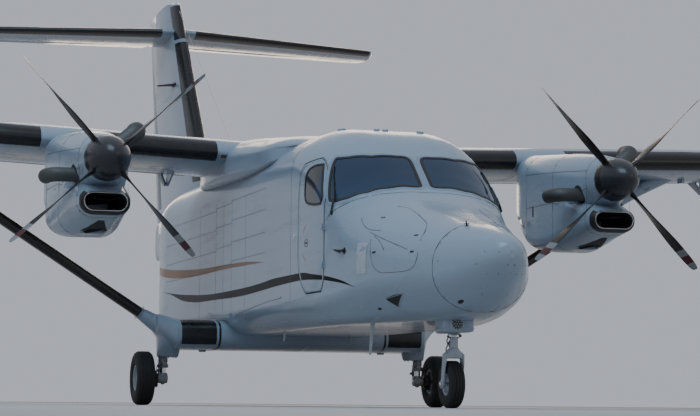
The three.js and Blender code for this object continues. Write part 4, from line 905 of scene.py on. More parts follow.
class Solid:
    """A closed mesh built up from operators; each method adds one shape to it."""

    def __init__(self) -> None:
        """Starts an empty mesh."""
        self.bm = bmesh.new()

    def spun(self, profile: Sequence[Row], centre: Vector, axis: Vector, turns: int = 48) -> "Solid":
        """Turns a profile about an axis.

        Args:
            profile: Points, each a distance along the axis from the centre and a radius.
            centre: A point on the axis.
            axis: The axis's direction.
            turns: The number of steps round.

        Returns:
            The solid.
        """
        axis = axis.normalized()
        out = axis.orthogonal().normalized()
        bm = bmesh.new()
        verts = [bm.verts.new(centre + axis * along + out * radius) for along, radius in profile]
        edges = [bm.edges.new(pair) for pair in zip(verts, verts[1:])]
        bmesh.ops.spin(
            bm, geom=[*verts, *edges], cent=centre, axis=axis, angle=math.tau, steps=turns, use_merge=True
        )
        bmesh.ops.remove_doubles(bm, verts=bm.verts, dist=1e-6)
        bmesh.ops.recalc_face_normals(bm, faces=bm.faces)
        return self.add(bm)

    def bar(
        self, start: Vector, end: Vector, radius: float, tip: float | None = None, **shape: float
    ) -> "Solid":
        """Adds a round bar with bevelled ends.

        Args:
            start: The middle of one end.
            end: The middle of the other.
            radius: The radius at the start.
            tip: The radius at the end, where it differs.
            shape: The number of sides, and the width of the ends' bevel.

        Returns:
            The solid.
        """
        way = end - start
        sides = int(shape.get("sides", 24))
        bevel = shape.get("bevel", min(radius, 0.2 * way.length) * 0.18)
        tip = radius if tip is None else tip
        bm = bmesh.new()
        bmesh.ops.create_cone(
            bm, cap_ends=True, segments=sides, radius1=radius, radius2=tip, depth=way.length
        )
        turn = way.to_track_quat("Z", "Y").to_matrix().to_4x4()
        bmesh.ops.transform(bm, matrix=Matrix.Translation((start + end) / 2) @ turn, verts=bm.verts)
        if bevel > 0:
            round_edges(bm, [e for e in bm.edges if any(len(f.verts) > 4 for f in e.link_faces)], bevel)
        return self.add(bm)

    def bolts(self, places: Iterable[Vector], way: Vector, radius: float) -> "Solid":
        """Adds a six-sided head at each place.

        Args:
            places: The middles of the heads' feet.
            way: The way and distance that they stand out.
            radius: Their radius.

        Returns:
            The solid.
        """
        for place in places:
            self.bar(place, place + way, radius, sides=6)
        return self

    def block(self, low: Vector, high: Vector, bevel: float = 0.004, turn: Matrix | None = None) -> "Solid":
        """Adds a block with rounded edges.

        Args:
            low: Its lowest corner.
            high: Its highest corner.
            bevel: The width of the rounded edges.
            turn: A turn about its middle.

        Returns:
            The solid.
        """
        bm = bmesh.new()
        bmesh.ops.create_cube(bm, size=1.0)
        size = high - low
        bmesh.ops.scale(bm, vec=size, verts=bm.verts)
        round_edges(bm, bm.edges[:], min(bevel, MOST * min(size)))
        place = Matrix.Translation((low + high) / 2)
        bmesh.ops.transform(bm, matrix=place @ turn.to_4x4() if turn else place, verts=bm.verts)
        return self.add(bm)

    def plate(self, outline: Sequence[Vector], thick: Vector, bevel: float = 0.0) -> "Solid":
        """Adds a plate: an outline, drawn out.

        Args:
            outline: The outline's points, in one plane.
            thick: The way and distance that it is drawn out.
            bevel: The width of its rounded edges.

        Returns:
            The solid.
        """
        bm = bmesh.new()
        face = bm.faces.new([bm.verts.new(point) for point in outline])
        grown = bmesh.ops.extrude_face_region(bm, geom=[face])
        moved = [v for v in grown["geom"] if isinstance(v, bmesh.types.BMVert)]
        bmesh.ops.translate(bm, vec=thick, verts=moved)
        bmesh.ops.recalc_face_normals(bm, faces=bm.faces)
        if bevel > 0:
            round_edges(bm, bm.edges[:], bevel)
        return self.add(bm)

    def lofted(self, rings: Sequence[Sequence[Vector]], closed: bool = False) -> "Solid":
        """Bridges rings of equally many points and closes the ends.

        Args:
            rings: The rings' points.
            closed: Whether the last ring joins the first, as in a hoop.

        Returns:
            The solid.
        """
        bm = bmesh.new()
        loops = []
        for ring in rings:
            verts = [bm.verts.new(point) for point in ring]
            loops.append([bm.edges.new(pair) for pair in zip(verts, verts[1:] + verts[:1])])
        pairs = list(zip(loops, loops[1:] + (loops[:1] if closed else [])))
        for first, second in pairs:
            bmesh.ops.bridge_loops(bm, edges=[*first, *second])
        if not closed:
            bmesh.ops.contextual_create(bm, geom=loops[0])
            bmesh.ops.contextual_create(bm, geom=loops[-1])
        bmesh.ops.recalc_face_normals(bm, faces=bm.faces)
        return self.add(bm)

    def tube(self, route: Sequence[Vector], radius: float | Sequence[float], sides: int = 10) -> "Solid":
        """Adds a round tube along a route.

        Args:
            route: The points that it follows.
            radius: Its radius, or one for each point.
            sides: The number of sides.

        Returns:
            The solid.
        """
        radii = [radius] * len(route) if isinstance(radius, (int, float)) else list(radius)
        rings = []
        out = (route[1] - route[0]).orthogonal().normalized()
        for i, point in enumerate(route):
            along = run_at(route, i).normalized()
            out = (out - along * out.dot(along)).normalized()
            rings.append(circle(point, out, along.cross(out), radii[i], sides))
        return self.lofted(rings)

    def add(self, bm: Mesh) -> "Solid":
        """Adds another mesh's faces and frees it.

        Args:
            bm: The other mesh.

        Returns:
            The solid.
        """
        mesh = bpy.data.meshes.new("part")
        bm.to_mesh(mesh)
        bm.free()
        self.bm.from_mesh(mesh)
        bpy.data.meshes.remove(mesh)
        return self

    def piece(self, name: str) -> Piece:
        """Returns the finished mesh as a smoothly shaded object."""
        return shade(keep(self.bm, name))


# Finishes

Socket = bpy.types.NodeSocket
Value = Socket | float


class Shader:
    """One node material, built up a step at a time around a Principled shader."""

    def __init__(self, name: str, colour: Colour, rough: float, metal: float = 0.0) -> None:
        """Starts a material.

        Args:
            name: The material's name.
            colour: Its plain colour.
            rough: Its plain roughness.
            metal: How metallic it is, from 0 to 1.
        """
        self.material = bpy.data.materials.new(name)
        self.material.use_nodes = True
        self.tree = self.material.node_tree
        self.bsdf = self.tree.nodes["Principled BSDF"]
        self.bsdf.inputs["Base Color"].default_value = (*colour, 1)
        self.bsdf.inputs["Roughness"].default_value = rough
        self.bsdf.inputs["Metallic"].default_value = metal
        self.material.diffuse_color = (*colour, 1)
        self.place = self.node("ShaderNodeTexCoord").outputs["Object"]
        split = self.node("ShaderNodeSeparateXYZ")
        self.tree.links.new(self.place, split.inputs[0])
        self.x, self.y, self.z = split.outputs

    def node(self, kind: str, **settings: object) -> bpy.types.Node:
        """Adds a node.

        Args:
            kind: The node's type, as Blender spells it.
            settings: The node's settings by name.

        Returns:
            The node.
        """
        made = self.tree.nodes.new(kind)
        for name, value in settings.items():
            setattr(made, name, value)
        return made

    def feed(self, socket: Socket, value: Value) -> None:
        """Links or sets an input.

        Args:
            socket: The input.
            value: What goes in.
        """
        if isinstance(value, bpy.types.NodeSocket):
            self.tree.links.new(value, socket)
        elif isinstance(value, tuple) and len(value) == 3 and socket.type == "RGBA":
            socket.default_value = (*value, 1)
        else:
            socket.default_value = value

    def math(self, kind: str, first: Value, second: Value = 0.0, third: Value = 0.0) -> Socket:
        """Adds a sum.

        Args:
            kind: The operation, as Blender spells it.
            first: The first value.
            second: The second value.
            third: The third value, where the operation takes one.

        Returns:
            The result.
        """
        made = self.node("ShaderNodeMath", operation=kind)
        for socket, value in zip(made.inputs, (first, second, third)):
            self.feed(socket, value)
        return made.outputs[0]

    def fade(self, value: Value, low: float, high: float) -> Socket:
        """Rises smoothly from 0 to 1 as a value goes from low to high; low may be the larger.

        Args:
            value: The value.
            low: Where the rise starts.
            high: Where it ends.

        Returns:
            The rise.
        """
        made = self.node("ShaderNodeMapRange", interpolation_type="SMOOTHSTEP")
        turned = low > high
        ends = (min(low, high), max(low, high), float(turned), float(not turned))
        for socket, entry in zip(made.inputs, (value, *ends)):
            self.feed(socket, entry)
        return made.outputs[0]

    def band(self, value: Value, low: float, high: float, soft: float) -> Socket:
        """Is 1 where a value lies between two limits, with soft edges.

        Args:
            value: The value.
            low: The lower limit.
            high: The upper limit.
            soft: Half the width of each edge.

        Returns:
            The band.
        """
        rise = self.fade(value, low - soft, low + soft)
        return self.math("MULTIPLY", rise, self.fade(value, high + soft, high - soft))

    def noise(
        self, scale: float, detail: float = 3.0, stretch: Colour = (1, 1, 1), rough: float = 0.5
    ) -> Socket:
        """Adds cloudy noise.

        Args:
            scale: Cycles to a metre.
            detail: How many finer layers it has.
            stretch: How much faster it changes along each axis.
            rough: The strength of the finer layers.

        Returns:
            The noise, from 0 to 1.
        """
        mapping = self.node("ShaderNodeMapping")
        self.feed(mapping.inputs["Vector"], self.place)
        mapping.inputs["Scale"].default_value = stretch
        made = self.node("ShaderNodeTexNoise")
        self.feed(made.inputs["Vector"], mapping.outputs[0])
        made.inputs["Scale"].default_value = scale
        made.inputs["Detail"].default_value = detail
        made.inputs["Roughness"].default_value = rough
        return made.outputs["Fac"]

    def mix(self, share: Value, first: Colour | Socket, second: Colour | Socket) -> Socket:
        """Mixes two colours.

        Args:
            share: The second colour's share.
            first: The first colour.
            second: The second colour.

        Returns:
            The mixed colour.
        """
        made = self.node("ShaderNodeMix", data_type="RGBA")
        self.feed(made.inputs["Factor"], share)
        self.feed(made.inputs[6], first)
        self.feed(made.inputs[7], second)
        return made.outputs[2]

    def curve(self, value: Value, points: Sequence[Row]) -> Socket:
        """Follows a smooth curve through points.

        Args:
            value: The value across.
            points: The curve's points, each across and up.

        Returns:
            The curve's height.
        """
        first, last = points[0][0], points[-1][0]
        up = [p[1] for p in points]
        low, high = min(up) - 0.01, max(up) + 0.01
        share = self.math("DIVIDE", self.math("SUBTRACT", value, first), last - first)
        made = self.node("ShaderNodeFloatCurve")
        curve = made.mapping.curves[0]
        shares = [((a - first) / (last - first), (b - low) / (high - low)) for a, b in points]
        curve.points[0].location = shares[0]
        curve.points[-1].location = shares[-1]
        for place in shares[1:-1]:
            curve.points.new(*place)
        for point in curve.points:
            point.handle_type = "AUTO_CLAMPED"
        made.mapping.update()
        self.feed(made.inputs["Value"], share)
        return self.math("MULTIPLY_ADD", made.outputs[0], high - low, low)

    def bump(self, height: Socket, depth: float) -> None:
        """Raises the surface, over what is there already.

        Args:
            height: The height, from 0 to 1.
            depth: What a height of 1 comes to, in metres.
        """
        made = self.node("ShaderNodeBump")
        made.inputs["Distance"].default_value = depth
        self.feed(made.inputs["Height"], height)
        linked = self.bsdf.inputs["Normal"].links
        if linked:
            self.feed(made.inputs["Normal"], linked[0].from_socket)
        self.feed(self.bsdf.inputs["Normal"], made.outputs[0])

    def colour(self, value: Socket) -> None:
        """Links the base colour."""
        self.feed(self.bsdf.inputs["Base Color"], value)

    def rough(self, value: Value, low: float, high: float) -> None:
        """Links the roughness so that it runs from low to high as a value goes from 0 to 1."""
        self.feed(self.bsdf.inputs["Roughness"], self.math("MULTIPLY_ADD", value, high - low, low))

    def coat(self, weight: float, rough: float = 0.03) -> None:
        """Sets a clear coat."""
        self.bsdf.inputs["Coat Weight"].default_value = weight
        self.bsdf.inputs["Coat Roughness"].default_value = rough


# The white paint, darkened and tinted blue to paint in the dim blue sky light that falls on it; SHADE is a
# darker tone that it clouds towards at random.
WHITE: Colour = (0.30, 0.365, 0.445)
SHADE: Colour = (0.2, 0.25, 0.315)


class Lacquer:
    """Glossy white lacquer over riveted sheet, with faint dirt that runs back along the airflow."""

    COAT = 0.22
    SHEEN = 0.28

    def __init__(self, name: str, colour: Colour = WHITE) -> None:
        """Starts the finish.

        Args:
            name: The material's name.
            colour: The lacquer's colour; WHITE, the default, has the sky light painted into it.
        """
        self.shader = Shader(name, colour, 0.24)
        s = self.shader
        s.coat(self.COAT)
        s.bsdf.inputs["Specular IOR Level"].default_value = self.SHEEN
        cloud = s.noise(1.3, 4, (1, 0.35, 1))
        streak = s.fade(s.noise(5.0, 5, (1, 0.12, 1.4), 0.6), 0.45, 0.8)
        self.tint = s.mix(s.math("MULTIPLY", cloud, 0.18), colour, SHADE)
        self.tint = s.mix(s.math("MULTIPLY", streak, 0.12), self.tint, (0.17, 0.165, 0.16))
        s.rough(streak, 0.2, 0.34)
        s.bump(s.noise(2.2, 2), 0.0015)

    def paint(self, share: Socket, colour: Colour) -> None:
        """Paints a colour where a share says."""
        self.tint = self.shader.mix(share, self.tint, colour)

    def made(self) -> Finish:
        """Returns the finished material."""
        self.shader.colour(self.tint)
        return self.shader.material


class Livery(Lacquer):
    """The fuselage's lacquer, with two long tapered bands along each side."""

    DARK: Colour = (0.0095, 0.0075, 0.006)
    TAN: Colour = (0.33, 0.19, 0.12)
    DARK_UPPER = (
        (1.966, 1.182), (2.469, 1.296), (3.164, 1.377), (3.696, 1.414), (4.536, 1.414), (5.381, 1.389),
        (6.286, 1.377), (7.6, 1.381), (9.055, 1.436), (10.42, 1.528), (12.4, 1.72),
    )
    DARK_LOWER = (
        (1.966, 1.182), (2.468, 1.260), (3.162, 1.318), (3.692, 1.332), (4.531, 1.322), (5.376, 1.301),
        (6.281, 1.286), (7.499, 1.301), (8.638, 1.319), (10.326, 1.509), (12.4, 1.72),
    )
    TAN_UPPER = (
        (5.105, 1.622), (5.933, 1.677), (6.948, 1.705), (8.332, 1.734),
        (9.869, 1.81), (11.2, 1.92), (12.8, 2.05),
    )
    TAN_LOWER = (
        (5.105, 1.62), (5.931, 1.635), (6.944, 1.651), (8.326, 1.653),
        (9.46, 1.675), (10.761, 1.766), (12.8, 2.03),
    )

    def __init__(self, name: str) -> None:
        """Paints the bands over the lacquer.

        Args:
            name: The material's name.
        """
        super().__init__(name)
        s = self.shader
        station = s.math("ADD", s.y, MIDDLE)
        bare = None
        for upper, lower, colour in (
            (self.DARK_UPPER, self.DARK_LOWER, self.DARK),
            (self.TAN_UPPER, self.TAN_LOWER, self.TAN),
        ):
            above = s.math("SUBTRACT", s.z, s.curve(station, lower))
            below = s.math("SUBTRACT", s.curve(station, upper), s.z)
            inside = s.math("MULTIPLY", s.fade(above, -0.003, 0.003), s.fade(below, -0.003, 0.003))
            reach = s.band(station, upper[0][0], upper[-1][0], 0.004)
            side = s.fade(s.math("ABSOLUTE", s.x), 0.3, 0.32)
            share = s.math("MULTIPLY", s.math("MULTIPLY", inside, reach), side)
            self.paint(share, colour)
            bare = s.math("SUBTRACT", 1.0, share) if bare is None else s.math("SUBTRACT", bare, share)
        s.feed(s.bsdf.inputs["Specular IOR Level"], s.math("MULTIPLY_ADD", bare, self.SHEEN, 0.02))
        s.feed(s.bsdf.inputs["Coat Weight"], s.math("MULTIPLY", bare, self.COAT))


@dataclass(frozen=True)
class Rubber:
    """Black rubber with a dusty bloom."""

    name: str
    colour: Colour = (0.02, 0.021, 0.023)
    rough: float = 0.6
    dust: Colour = (0.13, 0.12, 0.11)

    def made(self) -> Finish:
        """Makes the finish.

        Returns:
            The material.
        """
        s = Shader(self.name, self.colour, self.rough)
        dust = s.fade(s.noise(5.0, 5), 0.4, 0.8)
        s.colour(s.mix(s.math("MULTIPLY", dust, 0.05), self.colour, self.dust))
        s.rough(dust, self.rough - 0.06, self.rough + 0.1)
        s.bump(s.noise(60.0, 2), 0.0001)
        return s.material


@dataclass(frozen=True)
class Metal:
    """Bare or machined metal; grain is how much faster its grain changes along each axis."""

    name: str
    colour: Colour
    rough: float
    grain: Colour = (1, 1, 1)
    scale: float = 60.0
    shadow: float = 0.72

    def made(self) -> Finish:
        """Makes the finish.

        Returns:
            The material.
        """
        s = Shader(self.name, self.colour, self.rough, 1.0)
        fine = s.noise(self.scale, 3, self.grain)
        wide = s.noise(4.0, 3)
        s.colour(s.mix(wide, self.colour, tuple(c * self.shadow for c in self.colour)))
        s.rough(fine, self.rough * 0.75, min(1.0, self.rough * 1.35))
        s.bump(fine, 0.0002)
        return s.material


@dataclass(frozen=True)
class Enamel:
    """Sprayed enamel on castings, with grime in random patches."""

    name: str
    colour: Colour
    rough: float = 0.4
    shadow: float = 0.45

    def made(self) -> Finish:
        """Makes the finish.

        Returns:
            The material.
        """
        s = Shader(self.name, self.colour, self.rough)
        grime = s.fade(s.noise(14.0, 5), 0.5, 0.85)
        dark = tuple(c * self.shadow for c in self.colour)
        s.colour(s.mix(s.math("MULTIPLY", grime, 0.45), self.colour, dark))
        s.rough(grime, self.rough, min(1.0, self.rough + 0.25))
        s.bump(s.noise(120.0, 3), 0.0003)
        return s.material


@dataclass(frozen=True)
class BladePaint:
    """The blades' dark paint, worn, with bands near the tips; each band is two shares of the radius."""

    name: str
    centre_x: float = ENGINE_X
    centre_z: float = ENGINE_Z
    radius: float = BLADE_RADIUS
    dark: Colour = (0.012, 0.0105, 0.011)
    worn: Colour = (0.035, 0.03, 0.03)
    pale: Colour = (0.24, 0.245, 0.25)
    red: Colour = (0.075, 0.006, 0.012)
    pale_bands: tuple[Row, ...] = ((0.79, 0.855), (0.93, 1.1))
    red_band: Row = (0.855, 0.93)

    def made(self) -> Finish:
        """Makes the finish.

        Returns:
            The material.
        """
        s = Shader(self.name, self.dark, 0.36)
        s.bsdf.inputs["Specular IOR Level"].default_value = 0.3
        across = s.math("SUBTRACT", s.math("ABSOLUTE", s.x), self.centre_x)
        up = s.math("SUBTRACT", s.z, self.centre_z)
        square = s.math("ADD", s.math("MULTIPLY", across, across), s.math("MULTIPLY", up, up))
        share = s.math("DIVIDE", s.math("SQRT", square), self.radius)
        wear = s.fade(s.noise(26.0, 6, (1, 1, 1), 0.65), 0.52, 0.8)
        tint = s.mix(s.math("MULTIPLY", wear, 0.5), self.dark, self.worn)
        inner, outer = self.pale_bands
        for (low, high), colour in ((inner, self.pale), (self.red_band, self.red), (outer, self.pale)):
            tint = s.mix(s.band(share, low, high, 0.002), tint, colour)
        s.colour(s.mix(s.math("MULTIPLY", wear, 0.3), tint, self.worn))
        s.rough(wear, 0.3, 0.6)
        s.bump(s.noise(150.0, 3), 0.0002)
        return s.material


@dataclass(frozen=True)
class PaneGlass:
    """Tinted glass with painted reflections: deep blue in front, brown in the doors, paler towards the lower
    edge.

    front and door are each two colours of painted reflection that the glass clouds between.
    """

    name: str
    front: tuple[Colour, Colour] = ((0.003, 0.024, 0.075), (0.016, 0.044, 0.066))
    door: tuple[Colour, Colour] = ((0.022, 0.02, 0.02), (0.045, 0.05, 0.06))
    low_reflection: Colour = (0.02, 0.08, 0.13)

    def made(self) -> Finish:
        """Makes the finish.

        Returns:
            The material.
        """
        s = Shader(self.name, (0.006, 0.018, 0.04), 0.05)
        station = s.math("ADD", s.y, MIDDLE)
        low = s.fade(s.z, 2.45, 2.05)
        cloud = s.noise(1.7, 3, (1, 1, 1.6))
        # the colours are painted reflections: clouded deep blue in front, paler low down, brown in the doors
        front = s.mix(s.math("MULTIPLY", cloud, 0.8), *self.front)
        front = s.mix(s.math("MULTIPLY", low, 0.4), front, self.low_reflection)
        door = s.mix(cloud, *self.door)
        s.colour(s.mix(s.fade(station, 3.02, 3.1), front, door))
        s.rough(s.fade(s.noise(30.0, 4), 0.4, 0.8), 0.03, 0.09)
        return s.material


# Shared shapes


def recast(node: str, body: str, slot: Slot, finish: Finish) -> Piece:
    """Makes a smoothly shaded copy of a node, for a shape that is right as it is.

    Args:
        node: The node's name.
        body: The body that it rides on.
        slot: The record's slot.
        finish: Its material.

    Returns:
        The piece.
    """
    return dress(shade(keep(merged(node), f"{node}_finished")), body, slot, finish, replaces=[node])


def smooth_rows(rows: Sequence[Sequence[float]], parts: int) -> list[list[float]]:
    """Adds rows between rows, by a smooth curve through them.

    Args:
        rows: Rows of equally many numbers.
        parts: How many steps each stretch is cut into.

    Returns:
        The longer list of rows.
    """
    found = []
    last = len(rows) - 1
    for i in range(last):
        near = [rows[int(clamp(k, 0, last))] for k in (i - 1, i, i + 1, i + 2)]
        for part in range(parts):
            t = part / parts
            row = []
            for a, b, c, d in zip(*near):
                bend = 2 * b + (c - a) * t + (2 * a - 5 * b + 4 * c - d) * t * t
                row.append((bend + (3 * b - a - 3 * c + d) * t**3) / 2)
            found.append(row)
    found.append(list(rows[-1]))
    return found


def smooth_rings(rings: Sequence[Sequence[Vector]], parts: int) -> list[list[Vector]]:
    """Adds rings between rings, by smooth curves through their points.

    Args:
        rings: Rings of equally many points.
        parts: How many steps each stretch is cut into.

    Returns:
        The longer list of rings.
    """
    flat = [[value for point in ring for value in point] for ring in rings]
    rows = smooth_rows(flat, parts)
    return [[Vector(row[i : i + 3]) for i in range(0, len(row), 3)] for row in rows]


def oval(
    middle: Vector, across: Vector, up: Vector, power: float = 1.0, count: int = 48
) -> list[Vector]:
    """Gives the points of an oval; a power under 1 makes it squarer.

    Args:
        middle: Its middle.
        across: The half axis across.
        up: The half axis up.
        power: The power of its sine and cosine.
        count: The number of points.

    Returns:
        The points in order.
    """
    points = []
    for i in range(count):
        turn = math.tau * (i + 0.5) / count
        c = math.copysign(abs(math.cos(turn)) ** power, math.cos(turn))
        s = math.copysign(abs(math.sin(turn)) ** power, math.sin(turn))
        points.append(middle + across * c + up * s)
    return points


def level_oval(middle: Vector, wide: float, long: float, power: float, count: int) -> list[Vector]:
    """Returns the points of a level oval, with half axes across and along the aircraft."""
    return oval(middle, LEFT * wide, AFT * long, power, count)


def along(points: Sequence[Vector], pitch: float) -> list[Vector]:
    """Places points evenly along a route.

    Args:
        points: The route's corners.
        pitch: The distance between points.

    Returns:
        The points.
    """
    found = []
    carry = pitch / 2
    for a, b in zip(points, points[1:]):
        length = (b - a).length
        while carry < length:
            found.append(a.lerp(b, carry / length))
            carry += pitch
        carry -= length
    return found


def rivets(solid: Solid, form: Form, places: Iterable[Vector], radius: float = 0.0034) -> None:
    """Sets a low-domed rivet head on a form at each place.

    Args:
        solid: The solid that gets them.
        form: The surface.
        places: Points near the surface.
        radius: The head's radius.
    """
    batch = bmesh.new()
    for i, place in enumerate(places):
        point, normal = form.onto(place)
        turn = normal.to_track_quat("Z", "Y").to_matrix().to_4x4()
        head = bmesh.ops.create_cone(
            batch, cap_ends=True, segments=8, radius1=radius, radius2=radius * 0.55, depth=RIVET_HEIGHT
        )
        bmesh.ops.transform(batch, matrix=Matrix.Translation(point) @ turn, verts=head["verts"])
        if i % RIVET_BATCH == RIVET_BATCH - 1:
            solid.add(batch)
            batch = bmesh.new()
    solid.add(batch)


def strip(
    solid: Solid, form: Form, route: Sequence[Vector], width: float, thick: float, step: float = 0.06
) -> None:
    """Lays a thin flat strip on a form along a route.

    Args:
        solid: The solid that gets it.
        form: The surface.
        route: The route's corners, near the surface.
        width: The strip's width.
        thick: How far it stands out.
        step: The distance between its sections.
    """
    length = sum((b - a).length for a, b in zip(route, route[1:]))
    count = max(2, round(length / step))
    middle = [route[0], *along(route, length / count), route[-1]]
    laid = [form.onto(point) for point in middle]
    points = [point for point, _ in laid]
    rings = []
    for i, (point, normal) in enumerate(laid):
        side = run_at(points, i).normalized().cross(normal).normalized() * width / 2
        half = ((1.0, -0.002), (1.0, thick * 0.4), (0.8, thick))
        section = [(-out, up) for out, up in half] + list(reversed(half))
        rings.append([point + side * out + normal * up for out, up in section])
    solid.lofted(rings)


@dataclass(frozen=True)
class Cover:
    """An oval access cover: a thin raised edge with a row of rivets inside it."""

    wide: float
    long: float
    edge: float
    inset: float
    step: float
    pitch: float
    power: float
    count: int
    thick: float = 0.001

    def lay(self, solid: Solid, form: Form, middle: Vector) -> None:
        """Lays the cover on a form.

        Args:
            solid: The solid that gets it.
            form: The surface.
            middle: A point near the surface.
        """
        ring = level_oval(middle, self.wide, self.long, self.power, self.count)
        strip(solid, form, [*ring, ring[0]], self.edge, self.thick, self.step)
        inner = level_oval(middle, self.wide - self.inset, self.long - self.inset, self.power, self.count)
        rivets(solid, form, along([*inner, inner[0]], self.pitch))


def boot(
    solid: Solid,
    form: FoilForm,
    spans: Sequence[float],
    sign: float,
    reach: tuple[float, float],
    grow: float = 0.0028,
) -> None:
    """Wraps a thin rubber boot round a leading edge.

    Args:
        solid: The solid that gets it.
        form: The wing, fin or tailplane.
        spans: The places along the span where its sections lie.
        sign: The side of the aircraft.
        reach: The shares of the chord where it ends above and below.
        grow: Its thickness.
    """
    rings = []
    for span in spans:
        outer = form.wrap(span, sign, reach, grow)
        inner = form.wrap(span, sign, reach, -0.0012)
        rings.append([*outer, *reversed(inner)])
    solid.lofted(rings)


def fused(solid: Solid, name: str, voxel: float, rounds: int = 3) -> Piece:
    """Melts overlapping shapes into one casting with soft inner corners.

    Args:
        solid: The shapes.
        name: The piece's name.
        voxel: The size of the cells that they are melted at.
        rounds: How often the result is smoothed.

    Returns:
        The piece.
    """
    source = keep(solid.bm, f"{name}_rough")
    melt = source.modifiers.new("melt", "REMESH")
    melt.mode = "VOXEL"
    melt.voxel_size = voxel
    bm = bmesh.new()
    bm.from_object(source, bpy.context.evaluated_depsgraph_get())
    mesh = source.data
    bpy.data.objects.remove(source)
    bpy.data.meshes.remove(mesh)
    for _ in range(rounds):
        bmesh.ops.smooth_vert(
            bm, verts=bm.verts, factor=0.5, use_axis_x=True, use_axis_y=True, use_axis_z=True
        )
    piece = keep(bm, name)
    piece.data.shade_smooth()
    return piece


def patch(solid: Solid, form: Form, outline: Sequence[Vector], thick: float, depth: float = 0.004) -> None:
    """Lays a thin patch with a given outline on a form.

    Args:
        solid: The solid that gets it.
        form: The surface.
        outline: The outline's points, near the surface.
        thick: How far it stands out.
        depth: How far it reaches under the surface.
    """
    bm = bmesh.new()
    face = bm.faces.new([bm.verts.new(form.onto(point)[0]) for point in outline])
    bmesh.ops.triangulate(bm, faces=[face])
    bmesh.ops.subdivide_edges(bm, edges=bm.edges[:], cuts=2, use_grid_fill=True)
    middle = sum((v.co for v in bm.verts), Vector()) / len(bm.verts)
    outward = form.onto(middle)[1]
    if bm.faces[:][0].normal.dot(outward) < 0:
        bmesh.ops.reverse_faces(bm, faces=bm.faces[:])
    for vert in bm.verts:
        point, normal = form.onto(vert.co)
        vert.co = point - normal * depth
    grown = bmesh.ops.extrude_face_region(bm, geom=bm.faces[:])
    for vert in [v for v in grown["geom"] if isinstance(v, bmesh.types.BMVert)]:
        point, normal = form.onto(vert.co)
        vert.co = point + normal * thick
    bmesh.ops.recalc_face_normals(bm, faces=bm.faces[:])
    solid.add(bm)


# Sub-assemblies


